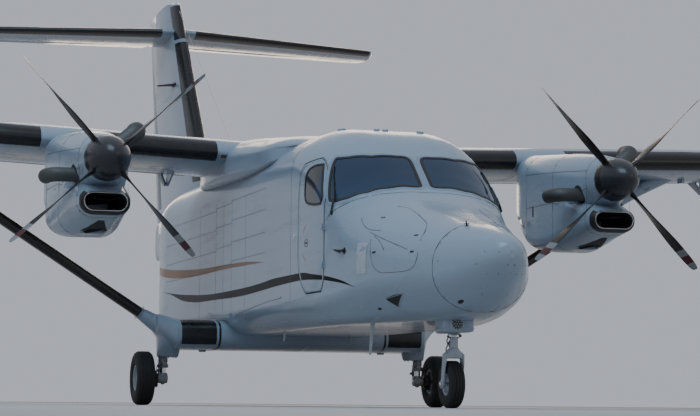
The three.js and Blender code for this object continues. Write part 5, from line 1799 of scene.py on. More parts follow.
@dataclass
class Fuselage:
    """The nose, cabin and tail cone, with their doors."""

    paint: Finish
    inside: Finish
    radome: Finish
    seal: Finish
    sealant: Finish
    frame: Finish
    chrome: Finish
    half: float = 0.98
    lap_heights: Row = (1.73, 1.96, 2.22, 2.46)
    lap_start: float = 5.1
    lap_jogs: Row = (6.7, 7.52)
    lap_end: float = 10.46
    lap_left_end: float = 8.8
    lap_step: float = 0.03
    frames: Row = (4.0, 6.02, 6.7, 7.13, 7.52, 8.4)
    frame_gap: float = 0.12
    frame_top: float = 2.5
    former_start: float = 5.2
    former_pitch: float = 0.41
    former_count: int = 13
    row_pitch: float = 0.034
    frame_pitch: float = 0.036
    former_rivets: float = 0.05
    # the door handle's cup, and its grip, as station and height
    cup: tuple[Row, ...] = (
        (3.33, 1.742), (3.33, 1.694), (3.372, 1.68), (3.45, 1.69), (3.45, 1.746), (3.372, 1.756),
        (3.33, 1.742),
    )
    grip: tuple[Row, ...] = ((3.36, 1.718), (3.435, 1.718))
    mark_radius: float = 0.19
    lamp: Row = (3.862, 1.807)
    shells: tuple[str, ...] = (
        "nose_bay",
        "cockpit_shell",
        "cabin_side_left",
        "cabin_side_right",
        "cabin_roof",
        "cabin_belly",
        "tail_cone",
    )
    doors: tuple[str, ...] = ("crew_door_left", "crew_door_right", "cargo_door")
    # the nose hatches' lines; these rows and the next hold station, place across and height
    hatch_lines: tuple[tuple[Row, ...], ...] = (
        (
            (1.757, -0.773, 1.644), (1.688, -0.793, 1.488), (1.646, -0.79, 1.366), (1.525, -0.757, 1.3),
            (1.282, -0.68, 1.295), (1.102, -0.616, 1.301), (1.005, -0.579, 1.335),
            (0.974, -0.555, 1.419), (0.987, -0.548, 1.478),
        ),
        ((1.838, -0.756, 1.719), (1.559, -0.702, 1.632), (1.308, -0.642, 1.559), (1.146, -0.602, 1.509)),
        (
            (1.933, -0.44, 1.993), (1.799, -0.364, 1.973), (1.506, -0.359, 1.872),
            (1.203, -0.375, 1.764), (1.089, -0.437, 1.679), (1.034, -0.506, 1.585),
        ),
        ((2.147, -0.757, 1.897), (2.043, -0.769, 1.819), (1.886, -0.757, 1.746), (1.688, -0.693, 1.725)),
        ((1.728, -0.743, 1.674), (1.576, -0.728, 1.603), (1.487, -0.724, 1.522)),
    )
    screen_joint: tuple[Row, ...] = (
        (2.74, -0.955, 1.9), (2.675, -0.94, 1.951), (2.49, -0.855, 2.027), (2.341, -0.642, 2.116),
        (2.244, -0.348, 2.164), (2.24, 0.0, 2.183),
    )
    fairing_edge: tuple[Row, ...] = (
        (4.38, -0.98, 1.192), (4.85, -0.98, 1.181), (5.39, -0.98, 1.154), (5.87, -0.977, 1.123),
        (6.47, -0.971, 1.089),
    )
    fairing_foot: tuple[Row, ...] = ((6.72, -0.969, 1.076), (7.3, -0.971, 1.09), (7.86, -0.976, 1.12))
    latches: tuple[Row, ...] = (
        (1.852, -0.618, 1.869), (1.154, -0.511, 1.648), (1.073, -0.58, 1.483), (1.639, -0.774, 1.508),
    )
    nose_rivets: tuple[Row, ...] = (
        (1.29, -0.682, 1.337), (0.113, -0.203, 1.434), (-0.025, -0.107, 1.419), (0.202, -0.248, 1.323),
        (-0.036, -0.032, 1.307), (0.135, -0.168, 1.233), (0.062, -0.085, 1.231), (0.691, -0.45, 1.374),
        (0.383, -0.125, 1.061), (0.653, -0.137, 0.954), (1.884, -0.845, 1.538), (1.859, -0.845, 1.393),
    )
    port_lines: tuple[tuple[Row, ...], ...] = (
        ((1.77, 0.86, 1.31), (1.77, 0.86, 1.626)),
        ((1.81, 0.3, 0.76), (1.81, 0.3, 0.96)),
    )

    def build(self) -> None:
        """Lays the skins and the doors, and puts on the joints, hatches and fastenings."""
        for node in self.shells:
            piece = skin(node, f"{node}_skin", FUSELAGE)
            dress(piece, "airframe", Slot.WHITE, self.inside, self.paint, self.paint, replaces=[node])
        for node in self.doors:
            piece = skin(node, f"{node}_skin", FUSELAGE)
            dress(piece, node, Slot.WHITE, self.inside, self.paint, self.paint, replaces=[node])
        nose = skin("radome", "radome_skin", FUSELAGE)
        dress(nose, "airframe", Slot.RADOME, self.radome, self.radome, self.radome, replaces=["radome"])
        root = skin("wing_fairing", "wing_fairing_skin", FAIRING, 0.06)
        dress(root, "airframe", Slot.WHITE, self.paint, self.paint, self.paint, replaces=["wing_fairing"])
        for side in Side:
            self.build_laps(side)
            self.build_door(side)
        self.build_hatches()
        self.build_fairings()

    def build_fairings(self) -> None:
        """Lays the raised edges where the beam's fairing meets the cabin's sides."""
        ridges = Solid()
        for flip in (1, -1):
            for line, width, thick in ((self.fairing_edge, 0.024, 0.006), (self.fairing_foot, 0.06, 0.018)):
                strip(ridges, FUSELAGE, filleted(placed(line, flip), 0.2), width, thick, 0.05)
        dress(ridges.piece("fairing_edges"), "airframe", Slot.WHITE, self.frame)

    def build_laps(self, side: Side) -> None:
        """Puts the lap joints and frame seams with their rivets along a cabin side.

        Args:
            side: The side.
        """
        x = side.value * self.half
        end = self.lap_left_end if side is Side.LEFT else self.lap_end
        heads = Solid()
        lines = Solid()
        for height in self.lap_heights:
            route = [at(x, self.lap_start, height)]
            for i, jog in enumerate(self.lap_jogs):
                route.append(at(x, jog - 0.02, height - self.lap_step * i))
                route.append(at(x, jog + 0.02, height - self.lap_step * (i + 1)))
            route.append(at(x, end, height - self.lap_step * len(self.lap_jogs)))
            strip(lines, FUSELAGE, route, 0.005, 0.0007, 0.05)
            rivets(heads, FUSELAGE, along([p + UP * 0.014 for p in route], self.row_pitch))
        low, top = 1.12 if side is Side.RIGHT else 1.3, self.frame_top
        for frame in self.frames:
            for shift in (-0.014, 0.014):
                row = [at(x, frame + shift, z) for z in steps(low, top, 12)]
                rivets(heads, FUSELAGE, along(row, self.frame_pitch))
            strip(lines, FUSELAGE, [at(x, frame, low), at(x, frame, top)], 0.0045, 0.0006, 0.1)
        for former in [self.former_start + self.former_pitch * i for i in range(self.former_count)]:
            if min(abs(former - frame) for frame in self.frames) > self.frame_gap and former < end:
                row = [at(x, former, z) for z in steps(low, top, 12)]
                rivets(heads, FUSELAGE, along(row, self.former_rivets))
        dress(heads.piece(f"cabin_rivets_{side.word}"), "airframe", Slot.WHITE, self.frame)
        dress(lines.piece(f"cabin_joints_{side.word}"), "airframe", Slot.TRIM, self.sealant)

    def build_door(self, side: Side) -> None:
        """Frames a crew door and gives it its handle, marks and lamp.

        Args:
            side: The side.
        """
        name = f"crew_door_{side.word}"
        line = filleted(outlines(name, FUSELAGE)[0], 0.09)
        # the frame's darker lacquer paints the shade and dark reflection of the door's rounded surround
        frame = Solid()
        strip(frame, FUSELAGE, shifted(FUSELAGE, line, 0.02), 0.03, 0.0022, 0.03)
        dress(frame.piece(f"{name}_frame"), name, Slot.WHITE, self.frame)
        dark = Solid()
        strip(dark, FUSELAGE, shifted(FUSELAGE, line, 0.003), 0.007, 0.0018, 0.03)
        x = side.value * 0.976
        cup = [at(x, *place) for place in self.cup]
        strip(dark, FUSELAGE, filleted(cup, 0.012), 0.008, 0.0016, 0.012)
        strip(dark, FUSELAGE, [at(x, *place) for place in self.grip], 0.018, 0.003, 0.02)
        dress(dark.piece(f"{name}_seal"), name, Slot.TRIM, self.seal)
        marks = Solid()
        centre = at(x, *self.grip[0])
        for start, end in ((35, 75), (-75, -35)):
            turns = [math.radians(turn) for turn in steps(start, end, 8)]
            arc = [centre + (AFT * math.cos(t) + UP * math.sin(t)) * self.mark_radius for t in turns]
            strip(marks, FUSELAGE, arc, 0.007, 0.0008, 0.012)
        red = Enamel("red_marking", (0.42, 0.03, 0.03)).made()
        dress(marks.piece(f"{name}_marks"), name, Slot.WHITE, red)
        lamp = Solid()
        point, normal = FUSELAGE.onto(at(x, *self.lamp))
        ring = oval(point, AFT * 0.016, UP * 0.036, 0.9, 28)
        lamp.plate([p - normal * 0.004 for p in ring], normal * 0.01, 0.002)
        dress(lamp.piece(f"door_lamp_{side.word}"), "airframe", Slot.GLASS, self.chrome)

    def build_hatches(self) -> None:
        """Draws the joints of radome, hatches and windscreen frame, with latches and screws."""
        lines = Solid()
        screws = Solid()
        catches = Solid()
        joint = filleted(outlines("radome", FUSELAGE)[0], 0.06)
        strip(lines, FUSELAGE, joint, 0.007, 0.0008, 0.03)
        rivets(screws, FUSELAGE, along(shifted(FUSELAGE, joint, 0.025), 0.1), 0.0045)
        brow = placed(self.screen_joint)
        brow += placed(reversed(self.screen_joint[:-1]), -1)
        strip(lines, FUSELAGE, filleted(brow, 0.08), 0.009, 0.0012, 0.03)
        for flip in (1, -1):
            for line in self.hatch_lines:
                strip(lines, FUSELAGE, filleted(placed(line, flip), 0.08), 0.006, 0.0008, 0.03)
            for place in placed(self.latches, flip):
                point, normal = FUSELAGE.onto(place)
                turn = normal.to_track_quat("Z", "Y").to_matrix()
                size = Vector((0.016, 0.012, 0.0022)) * 0.8
                for shift in (-0.014, 0.014):
                    middle = point + turn @ Vector((shift, 0, 0))
                    catches.block(middle - size, middle + size, 0.0015, turn)
            rivets(screws, FUSELAGE, placed(self.nose_rivets, flip), 0.007)
            for line in self.port_lines:
                strip(lines, FUSELAGE, placed(line, flip), 0.004, 0.0006)
        turns = [math.tau * i / 64 for i in range(65)]
        hoop = [at(math.sin(t) * 1.1, 4.0, 1.95 + math.cos(t) * 1.2) for t in turns]
        strip(lines, FUSELAGE, hoop, 0.006, 0.0008, 0.05)
        dress(lines.piece("nose_joints"), "airframe", Slot.TRIM, self.sealant)
        dress(catches.piece("hatch_latches"), "airframe", Slot.TRIM, self.seal)
        dress(screws.piece("nose_screws"), "airframe", Slot.TRIM, self.sealant)


@dataclass
class Glazing:
    """The windscreens and the crew doors' windows, each with a black seal and a riveted frame."""

    glass: Finish
    seal: Finish
    paint: Finish
    frame: Finish
    seal_width: float = 0.034
    pane_lift: float = 0.0015
    corner: float = 0.11
    window_seal_width: float = 0.026
    panes: tuple[tuple[str, str], ...] = (
        ("windscreen_left", "airframe"),
        ("windscreen_right", "airframe"),
        ("crew_window_left", "crew_door_left"),
        ("crew_window_right", "crew_door_right"),
    )

    def build(self) -> None:
        """Lays each pane on the fuselage's form and frames it."""
        for node, body in self.panes:
            pane = skin(node, f"{node}_pane", FUSELAGE)
            lift = self.pane_lift
            for vert in pane.data.vertices:
                point, normal = FUSELAGE.onto(vert.co)
                if (point - vert.co).length < lift:
                    vert.co = vert.co + normal * lift
            dress(pane, body, Slot.GLASS, self.glass, self.seal, self.glass, replaces=[node])
            line = filleted(outlines(node, FUSELAGE)[0], self.corner)
            screen = node.startswith("windscreen")
            ring = Solid()
            width = self.seal_width if screen else self.window_seal_width
            strip(ring, FUSELAGE, line, width, 0.0075, 0.014)
            dress(ring.piece(f"{node}_seal"), body, Slot.TRIM, self.seal)
            if screen:
                ring = Solid()
                strip(ring, FUSELAGE, shifted(FUSELAGE, line, -0.036), 0.044, 0.0022, 0.02)
                for shift in (-0.028, -0.046):
                    rivets(ring, FUSELAGE, along(shifted(FUSELAGE, line, shift), 0.034), 0.0042)
                dress(ring.piece(f"{node}_frame"), body, Slot.WHITE, self.frame)


@dataclass
class Wing:
    """The wing halves, their boots, panels and what moves on them."""

    paint: Finish
    rubber: Finish
    dark: Finish
    boots: tuple[Row, ...] = ((1.2, 2.64), (3.32, 6.9), (6.92, 10.6))
    boot_pitch: float = 0.3
    reach: tuple[float, float] = (0.06, 0.06)
    panels: Row = (1.7, 2.3, 3.7, 4.5, 5.4, 6.4, 7.4, 8.4, 9.4)
    cover: Cover = Cover(0.2, 0.13, 0.012, 0.02, 0.05, 0.05, 0.8, 32)
    rows: Row = (0.1, 0.2, 0.46, 0.62)
    wicks: Row = (7.4, 8.4, 9.4, 10.2)
    wick_reach: float = 0.13

    def build(self) -> None:
        """Builds both halves."""
        for side in Side:
            word = side.word
            half = skin(f"wing_{word}", f"wing_{word}_skin", WING, 0.03)
            dress(half, "airframe", Slot.WING, *[self.paint] * 3, replaces=[f"wing_{word}"])
            recast(f"aileron_{word}", f"aileron_{word}", Slot.WING, self.paint)
            recast(f"flap_{word}", f"flap_{word}", Slot.WING, self.paint)
            self.build_boots(side)
            self.build_panels(side)

    def build_boots(self, side: Side) -> None:
        """Wraps the boots round the leading edge.

        Args:
            side: The wing half.
        """
        solid = Solid()
        for first, last in self.boots:
            spans = steps(first, last, max(2, round((last - first) / self.boot_pitch)))
            if first < WING_KINK < last:
                spans = sorted([x for x in spans if abs(x - WING_KINK) > 0.1] + [WING_KINK])
            boot(solid, WING, spans, side.value, self.reach)
        dress(solid.piece(f"wing_boots_{side.word}"), "airframe", Slot.TRIM, self.rubber)

    def build_panels(self, side: Side) -> None:
        """Puts oval access panels and rivet rows on the underside, and static wicks on the aileron.

        Args:
            side: The wing half.
        """
        solid = Solid()
        for x in self.panels:
            nose, chord, _, z = wing_law(x)
            self.cover.lay(solid, WING, at(side.value * x, nose + 0.33 * chord, z - 0.2))
        for share in self.rows:
            for up in (-0.2, 0.3):
                route = WING.beside([1.2 + 0.5 * i for i in range(20)], share, side.value, up)
                rivets(solid, WING, along(route, 0.06), 0.004)
        dress(solid.piece(f"wing_panels_{side.word}"), "airframe", Slot.WING, self.paint)
        rods = Solid()
        for x in self.wicks:
            nose, chord, _, z = wing_law(x)
            tail = nose + chord
            line = z + (WING.tilt_station - tail) * WING.tilt
            end = at(side.value * x, tail + self.wick_reach, line - 0.004)
            rods.bar(at(side.value * x, tail - 0.02, line), end, 0.004, 0.0025, sides=8)
        dress(rods.piece(f"static_wicks_{side.word}"), f"aileron_{side.word}", Slot.TRIM, self.dark)


@dataclass
class Tail:
    """The fin and the tailplane on top of it, with rudder and elevators."""

    paint: Finish
    rubber: Finish
    fin_reach: tuple[float, float] = (0.11, 0.11)
    stabilizer_reach: tuple[float, float] = (0.2, 0.11)
    covers: Row = (0.62, 1.18, 2.3)
    cover: Cover = Cover(0.13, 0.075, 0.01, 0.015, 0.04, 0.045, 0.9, 28)
    rivet_pitch: float = 0.055

    def build(self) -> None:
        """Lays smooth skins over the fin and the tailplane and wraps their boots."""
        for node, form in (("fin", FIN), ("stabilizer", STABILIZER)):
            piece = skin(node, f"{node}_skin", form, 0.03)
            dress(piece, "airframe", Slot.WING, *[self.paint] * 3, replaces=[node])
        recast("rudder", "rudder", Slot.WING, self.paint)
        solid = Solid()
        boot(solid, FIN, steps(3.3, 5.66, 8), 1, self.fin_reach)
        boot(solid, FIN, steps(5.72, 6.33, 3), 1, self.fin_reach)
        for side in Side:
            recast(f"elevator_{side.word}", f"elevator_{side.word}", Slot.WING, self.paint)
            boot(solid, STABILIZER, steps(0.27, 3.42, 8), side.value, self.stabilizer_reach)
        dress(solid.piece("tail_boots"), "airframe", Slot.TRIM, self.rubber)
        self.build_details()

    def build_details(self) -> None:
        """Puts access covers under the tailplane and rivet rows on it and on the fin."""
        covers = Solid()
        for side in Side:
            sign = side.value
            for x in self.covers:
                nose, chord, _, z = stab_law(x)
                self.cover.lay(covers, STABILIZER, at(sign * x, nose + 0.36 * chord, z - 0.2))
            for share in (0.3, 0.62):
                for up in (-0.2, 0.2):
                    route = STABILIZER.beside(steps(0.3, 3.3, 8), share, sign, up)
                    rivets(covers, STABILIZER, along(route, self.rivet_pitch))
            for share in (0.2, 0.42, 0.6):
                route = FIN.beside(steps(3.35, 5.7, 8), share, sign, 0)
                rivets(covers, FIN, along(route, self.rivet_pitch))
        dress(covers.piece("tail_rivets"), "airframe", Slot.WING, self.paint)


@dataclass
class Nacelle:
    """An engine's cowling with its intake lip and exhausts."""

    paint: Finish
    lip: Finish
    steel: Finish
    painted_shade: Finish
    band: Finish
    sealant: Finish
    side: Side
    centre_x: float = ENGINE_X
    centre_z: float = ENGINE_Z
    screw: float = 0.0048
    # each stack's way across and up, lift above the engine's axis, reach, radius and station
    stacks: tuple[Row, ...] = (
        (-1.0, 0.0, -0.152, 0.548, 0.078, 4.66),
        (0.765, 0.644, 0.024, 0.55, 0.098, 4.68),
    )
    # distances behind the core's front, and radii
    core_front: float = 4.205
    core: tuple[Row, ...] = (
        (0, 0), (0, 0.044), (0.145, 0.044), (0.15, 0.12), (0.25, 0.19), (0.36, 0.23), (1.9, 0.23), (1.9, 0),
    )

    @property
    def x(self) -> float:
        """The engine's place across."""
        return self.side.value * self.centre_x

    def build(self) -> None:
        """Builds the cowling, the intake's lip and liner, and the exhausts."""
        cowl = BodyForm(COWL_ROWS, centre=self.x, axis_z=2.6, step=0.06, rays=20)
        chin = BodyForm(CHIN_ROWS, centre=self.x, axis_z=2.2, step=0.06, rays=20)
        node = f"nacelle_{self.side.word}"
        piece = skin(node, f"{node}_skin", JoinedForm((cowl, chin)), 0.03)
        dress(piece, "airframe", Slot.WHITE, self.painted_shade, self.paint, self.paint, replaces=[node])
        self.build_intake()
        self.build_exhausts()
        self.build_trim(cowl, chin)

    def build_trim(self, cowl: BodyForm, chin: BodyForm) -> None:
        """Puts the band behind the lip, seams, and dark patches that paint the shade in the chin's ramp, in
        the gaps round the stacks and in the slots.

        Args:
            cowl: The cowling's form.
            chin: The chin's form.
        """
        word = self.side.word
        both = JoinedForm((cowl, chin))
        band = Solid()
        rings = []
        for i in range(61):
            t = math.radians(lerp(140, 400, i / 60))
            outer = []
            inner = []
            for station in (4.2965, 4.3, 4.306, 4.312, 4.32, 4.332, 4.35, 4.366):
                point, normal = chin.onto(at(self.x + 0.3 * math.cos(t), station, 2.165 + 0.18 * math.sin(t)))
                outer.append(point + normal * 0.0035)
                inner.append(point - normal * 0.003)
            front = self.throat(4.2925, 0.2385, 2.0635, 2.2665, 0.1)
            near = min(front, key=lambda p: (p - outer[0]).length)
            rings.append([near, *outer, *reversed(inner)])
        band.lofted(rings)
        dress(band.piece(f"intake_band_{word}"), "airframe", Slot.TRIM, self.band)
        dark = Solid()
        ramp = [(4.56, 0.034), (4.8, 0.1), (4.88, 0.118), (5.03, 0.155), (5.0, 0.1), (4.88, 0.063)]
        ramp += [(s, -x) for s, x in reversed(ramp)]
        patch(dark, chin, [at(self.x + x, s, 1.9) for s, x in ramp], 0.0012)
        for across, up, lift, _, radius, station in self.stacks:
            way = Vector((across, 0, up))
            middle, normal = both.onto(at(self.x, station, self.centre_z + lift) + way * 0.4)
            high = normal.cross(AFT).normalized()
            patch(dark, both, oval(middle, AFT * radius * 1.2, high * radius * 1.2, 1.0, 32), 0.0014)
        outboard = self.x + self.side.value * 0.5
        inboard = self.x - self.side.value * 0.5
        for s, z, long in ((4.56, 2.5, 0.035), (4.98, 2.62, 0.04), (5.5, 2.4, 0.06)):
            strip(dark, both, [at(outboard, s, z), at(outboard, s + long, z)], 0.009, 0.0012, 0.02)
        strip(dark, both, [at(inboard, 5.88, 2.32), at(inboard, 5.88, 2.45)], 0.034, 0.0014, 0.02)
        dress(dark.piece(f"cowl_openings_{word}"), "airframe", Slot.TRIM, self.painted_shade)
        seams = Solid()
        for s in (4.47, 5.3, 6.1):
            loop = [math.tau * i / 48 for i in range(49)]
            route = [at(self.x + 0.6 * math.cos(t), s, 2.5 + 0.75 * math.sin(t)) for t in loop]
            strip(seams, both, route, 0.006, 0.0008, 0.04)
            rivets(seams, both, along([p + AFT * 0.022 for p in route], 0.12), self.screw)
        for sign in (-1, 1):
            for z in (2.44, 2.86):
                route = [at(self.x + sign * 0.6, s, z) for s in (4.47, 4.9, 5.3, 5.7, 6.1)]
                strip(seams, both, route, 0.006, 0.0008, 0.04)
                rivets(seams, both, along([p + UP * 0.02 for p in route], 0.09), self.screw)
        dress(seams.piece(f"cowl_seams_{word}"), "airframe", Slot.TRIM, self.sealant)

    def throat(self, station: float, half: float, low: float, high: float, corner: float) -> list[Vector]:
        """Gives one section of the intake's throat.

        Args:
            station: Its station.
            half: Half its width.
            low: Its lowest height.
            high: Its highest height.
            corner: The radius of its corners.

        Returns:
            The points in order.
        """
        points = []
        for cx, cz, start in (
            (half - corner, high - corner, 0),
            (corner - half, high - corner, 90),
            (corner - half, low + corner, 180),
            (half - corner, low + corner, 270),
        ):
            for i in range(9):
                turn = math.radians(start + 90 * i / 8)
                across = self.x + cx + corner * math.cos(turn)
                points.append(at(across, station, cz + corner * math.sin(turn)))
        return points

    def build_intake(self) -> None:
        """Makes the polished lip round the intake and the liner behind it, dark to paint the shade inside the
        intake.
        """
        lip = Solid()
        rings = []
        for i in range(12):
            turn = math.tau * i / 12
            grow = 0.004 + 0.008 * math.cos(turn)
            station = 4.292 + 0.012 * math.sin(turn)
            rings.append(self.throat(station, 0.229 + grow, 2.073 - grow, 2.257 + grow, 0.091 + grow))
        lip.lofted(rings, closed=True)
        dress(lip.piece(f"intake_lip_{self.side.word}"), "airframe", Slot.EXHAUST, self.lip)
        liner = Solid()
        rows = (
            (4.3, 0.228, 2.074, 2.256, 0.09),
            (4.34, 0.218, 2.083, 2.247, 0.081),
            (4.99, 0.148, 2.102, 2.248, 0.068),
        )
        inner = [self.throat(*row) for row in rows]
        outer = [self.throat(s, half + 0.002, low - 0.002, high + 0.002, r) for s, half, low, high, r in rows]
        liner.lofted([*inner, *reversed(outer)], closed=True)
        dress(liner.piece(f"intake_liner_{self.side.word}"), "airframe", Slot.TRIM, self.painted_shade)

    def build_exhausts(self) -> None:
        """Makes the bent exhaust stacks, open at their ends, and the engine's core."""
        node = f"engine_{self.side.word}"
        solid = Solid()
        for across, up, lift, reach, radius, station in self.stacks:
            centre = at(self.x, station, self.centre_z + lift)
            stops = []
            for out, aft, grow in (
                (0.06, 0.0, 1.0),
                (reach - 0.15, 0.004, 1.0),
                (reach - 0.045, 0.045, 1.02),
                (reach, 0.15, 1.04),
                (reach + 0.01, 0.26, 1.06),
            ):
                stops.append([across * out, aft, up * out, radius * grow])
            route = smooth_rows(stops, 5)
            points = [centre + Vector(stop[:3]) for stop in route]
            walls = []
            for wall in (0.0, 0.007):
                rings = []
                for i, stop in enumerate(route):
                    flat = Vector((-up, 0, across)).normalized()
                    side = run_at(points, i).normalized().cross(flat).normalized()
                    rings.append(circle(points[i], flat, side, stop[3] - wall, 32))
                walls.append(rings)
            solid.lofted([*walls[0], *reversed(walls[1])], closed=True)
        piece = solid.piece(f"exhausts_{self.side.word}")
        dress(piece, "airframe", Slot.EXHAUST, self.steel, replaces=[node])
        # the core is near black: painted shade inside the nacelle
        core = Solid().spun(self.core, at(self.x, self.core_front, self.centre_z), AFT)
        dress(core.piece(f"engine_core_{self.side.word}"), "airframe", Slot.EXHAUST, self.painted_shade)


@dataclass
class Propeller:
    """A four-bladed propeller in feather with its spinner."""

    blade_paint: Finish
    spinner_paint: Finish
    side: Side
    centre_x: float = ENGINE_X
    centre_z: float = ENGINE_Z
    station: float = 4.16
    radius: float = BLADE_RADIUS
    front: float = 3.83
    back: float = 4.29
    spinner_radius: float = 0.248
    points: int = 28
    # share of the radius, chord, thickness, blade angle from the plane of turning
    rows: tuple[Row, ...] = (
        (0.08, 0.092, 0.088, 98), (0.16, 0.1, 0.082, 99), (0.25, 0.158, 0.05, 99),
        (0.4, 0.184, 0.036, 97), (0.55, 0.192, 0.029, 88.5), (0.7, 0.19, 0.023, 80.5),
        (0.85, 0.166, 0.016, 75.5), (0.96, 0.126, 0.01, 72), (1.0, 0.072, 0.007, 71),
    )

    @property
    def centre(self) -> Vector:
        """The middle of the blades' plane."""
        return at(self.side.value * self.centre_x, self.station, self.centre_z)

    def cone(self, share: float) -> float:
        """Returns the spinner's radius at a share of its length."""
        return self.spinner_radius * math.sqrt(1 - (1 - share) ** 2) ** 1.15

    def build(self) -> None:
        """Builds the blades and the spinner, on the body that turns."""
        body = f"propeller_{self.side.word}"
        blades = Solid()
        first = 43.5 if self.side is Side.LEFT else 42.3
        for i in range(4):
            blades.lofted(self.blade_rings(math.radians(first + 90 * i)))
        back = self.spinner_profile(self.station + 0.0003, self.back)
        blades.spun([*back, (self.back - self.station, 0.05)], self.centre, AFT, 96)
        dress(blades.piece(f"{body}_blades"), body, Slot.BLADE, self.blade_paint, replaces=[body])
        nose = Solid().spun(self.spinner_profile(self.front, self.station), self.centre, AFT, 96)
        shell = nose.piece(f"spinner_{self.side.word}_shell")
        dress(shell, body, Slot.SPINNER, self.spinner_paint, replaces=[f"spinner_{self.side.word}"])

    def spinner_profile(self, start: float, end: float) -> list[Row]:
        """Gives the spinner's profile between two stations.

        Args:
            start: The first station.
            end: The last station.

        Returns:
            Distances behind the blades' plane and radii, closed to the axis.
        """
        span = self.back - self.front
        first, last = ((station - self.front) / span for station in (start, end))
        power = 2 if start == self.front else 1
        shares = [lerp(first, last, share**power) for share in steps(0, 1, 28)]
        profile = [(self.front + t * span - self.station, self.cone(t)) for t in shares]
        return [(profile[0][0], 0.0), *profile, (profile[-1][0], 0.0)]

    def blade_rings(self, turn: float) -> list[list[Vector]]:
        """Gives the sections of one blade.

        Args:
            turn: The blade's angle from level.

        Returns:
            Rings of points from the root to the tip.
        """
        radial = Vector((math.cos(turn), 0, math.sin(turn)))
        moving = Vector((-math.sin(turn), 0, math.cos(turn)))
        rings = []
        for share, chord, thick, angle in smooth_rows(self.rows, 5):
            a = math.radians(angle)
            lead = moving * math.cos(a) + AHEAD * math.sin(a)
            face = AHEAD * math.cos(a) - moving * math.sin(a)
            flat = clamp((share - 0.14) / 0.12, 0, 1)
            foot = self.centre + radial * share * self.radius
            ring = []
            for i in range(self.points):
                t = math.tau * i / self.points
                c, s = math.cos(t), math.sin(t)
                wing = math.copysign(2 * foil_half((1 - c) / 2, 0.5), s) if abs(s) > 1e-6 else 0.0
                across = lerp(s, wing * (0.9 if s > 0 else 0.7), flat)
                ring.append(foot + lead * c * chord / 2 + face * across * thick / 2)
            rings.append(ring)
        return rings


@dataclass
class Wheel:
    """A wheel: a treaded tyre on a cast hub."""

    tyre: Finish
    hub: Finish
    name: str
    side: int
    centre: Vector
    radius: float
    width: float
    rim: float
    hub_width: float
    grooves: int = 4
    groove_depth: float = 0.008
    bolts: int = 8

    def build(self) -> None:
        """Builds the tyre and the hub about the axle."""
        tyre = Solid().spun(self.tyre_profile(), self.centre, LEFT, 72)
        tyre_piece = tyre.piece(f"{self.name}_tyre_tread")
        dress(tyre_piece, self.name, Slot.TYRE, self.tyre, replaces=[self.name.replace("wheel", "tyre")])
        w = self.hub_width / 2
        r = self.rim
        outward = self.side or 1
        profile = [
            (-0.5, 0.03), (-0.42, r * 0.55), (-0.5, r * 0.8), (-0.86, r * 0.86), (-1.0, r * 0.93),
            (-1.04, r + 0.006), (-0.97, r + 0.012), (-0.9, r - 0.0003), (0.9, r - 0.0003), (0.97, r + 0.012),
            (1.04, r + 0.006), (1.0, r * 0.93), (0.78, r * 0.88), (0.42, r * 0.8), (0.3, r * 0.62),
            (0.34, r * 0.45), (0.6, r * 0.36), (0.74, r * 0.33), (0.8, r * 0.27), (0.8, 0.001), (-0.5, 0.001),
            (-0.5, 0.03),
        ]
        out = LEFT * outward
        rows = [(share * w * outward, radius) for share, radius in profile]
        hub = Solid().spun(rows, self.centre, LEFT, 72)
        feet = oval(self.centre + out * w * 0.3, AFT * r * 0.7, UP * r * 0.7, 1.0, self.bolts)
        hub.bolts(feet, out * 0.02, 0.009)
        hub_piece = hub.piece(f"{self.name}_hub_casting")
        dress(hub_piece, self.name, Slot.HUB, self.hub, replaces=[self.name.replace("wheel", "hub")])

    def tyre_profile(self) -> list[Row]:
        """Gives the tyre's section: rounded shoulders, a grooved tread and ribbed walls.

        Returns:
            Distances along the axle and radii, as a closed loop.
        """
        w = self.width / 2
        wall = self.radius - self.rim
        shoulder = ((0.76, 0.0), (0.92, 0.12), (1.0, 0.42), (0.98, 0.62), (0.88, 0.84), (0.66, 0.965))
        stops = [(share, self.rim + wall * up) for share, up in shoulder]
        half = smooth_rows([*stops, (0.52, self.radius * 0.998)], 4)
        tread = []
        gap = 0.00242 / w
        for i in range(self.grooves):
            middle = lerp(0.42, -0.42, i / (self.grooves - 1))
            crown = self.radius - 0.006 * middle * middle
            floor = crown - self.groove_depth
            tread += [(middle + gap, crown), (middle + gap * 0.7, floor)]
            tread += [(middle - gap * 0.7, floor), (middle - gap, crown)]
        right = [(share * w, radius) for share, radius in half]
        left = [(-along_axle, radius) for along_axle, radius in reversed(right)]
        return [*right, *[(share * w, radius) for share, radius in tread], *left, right[0]]


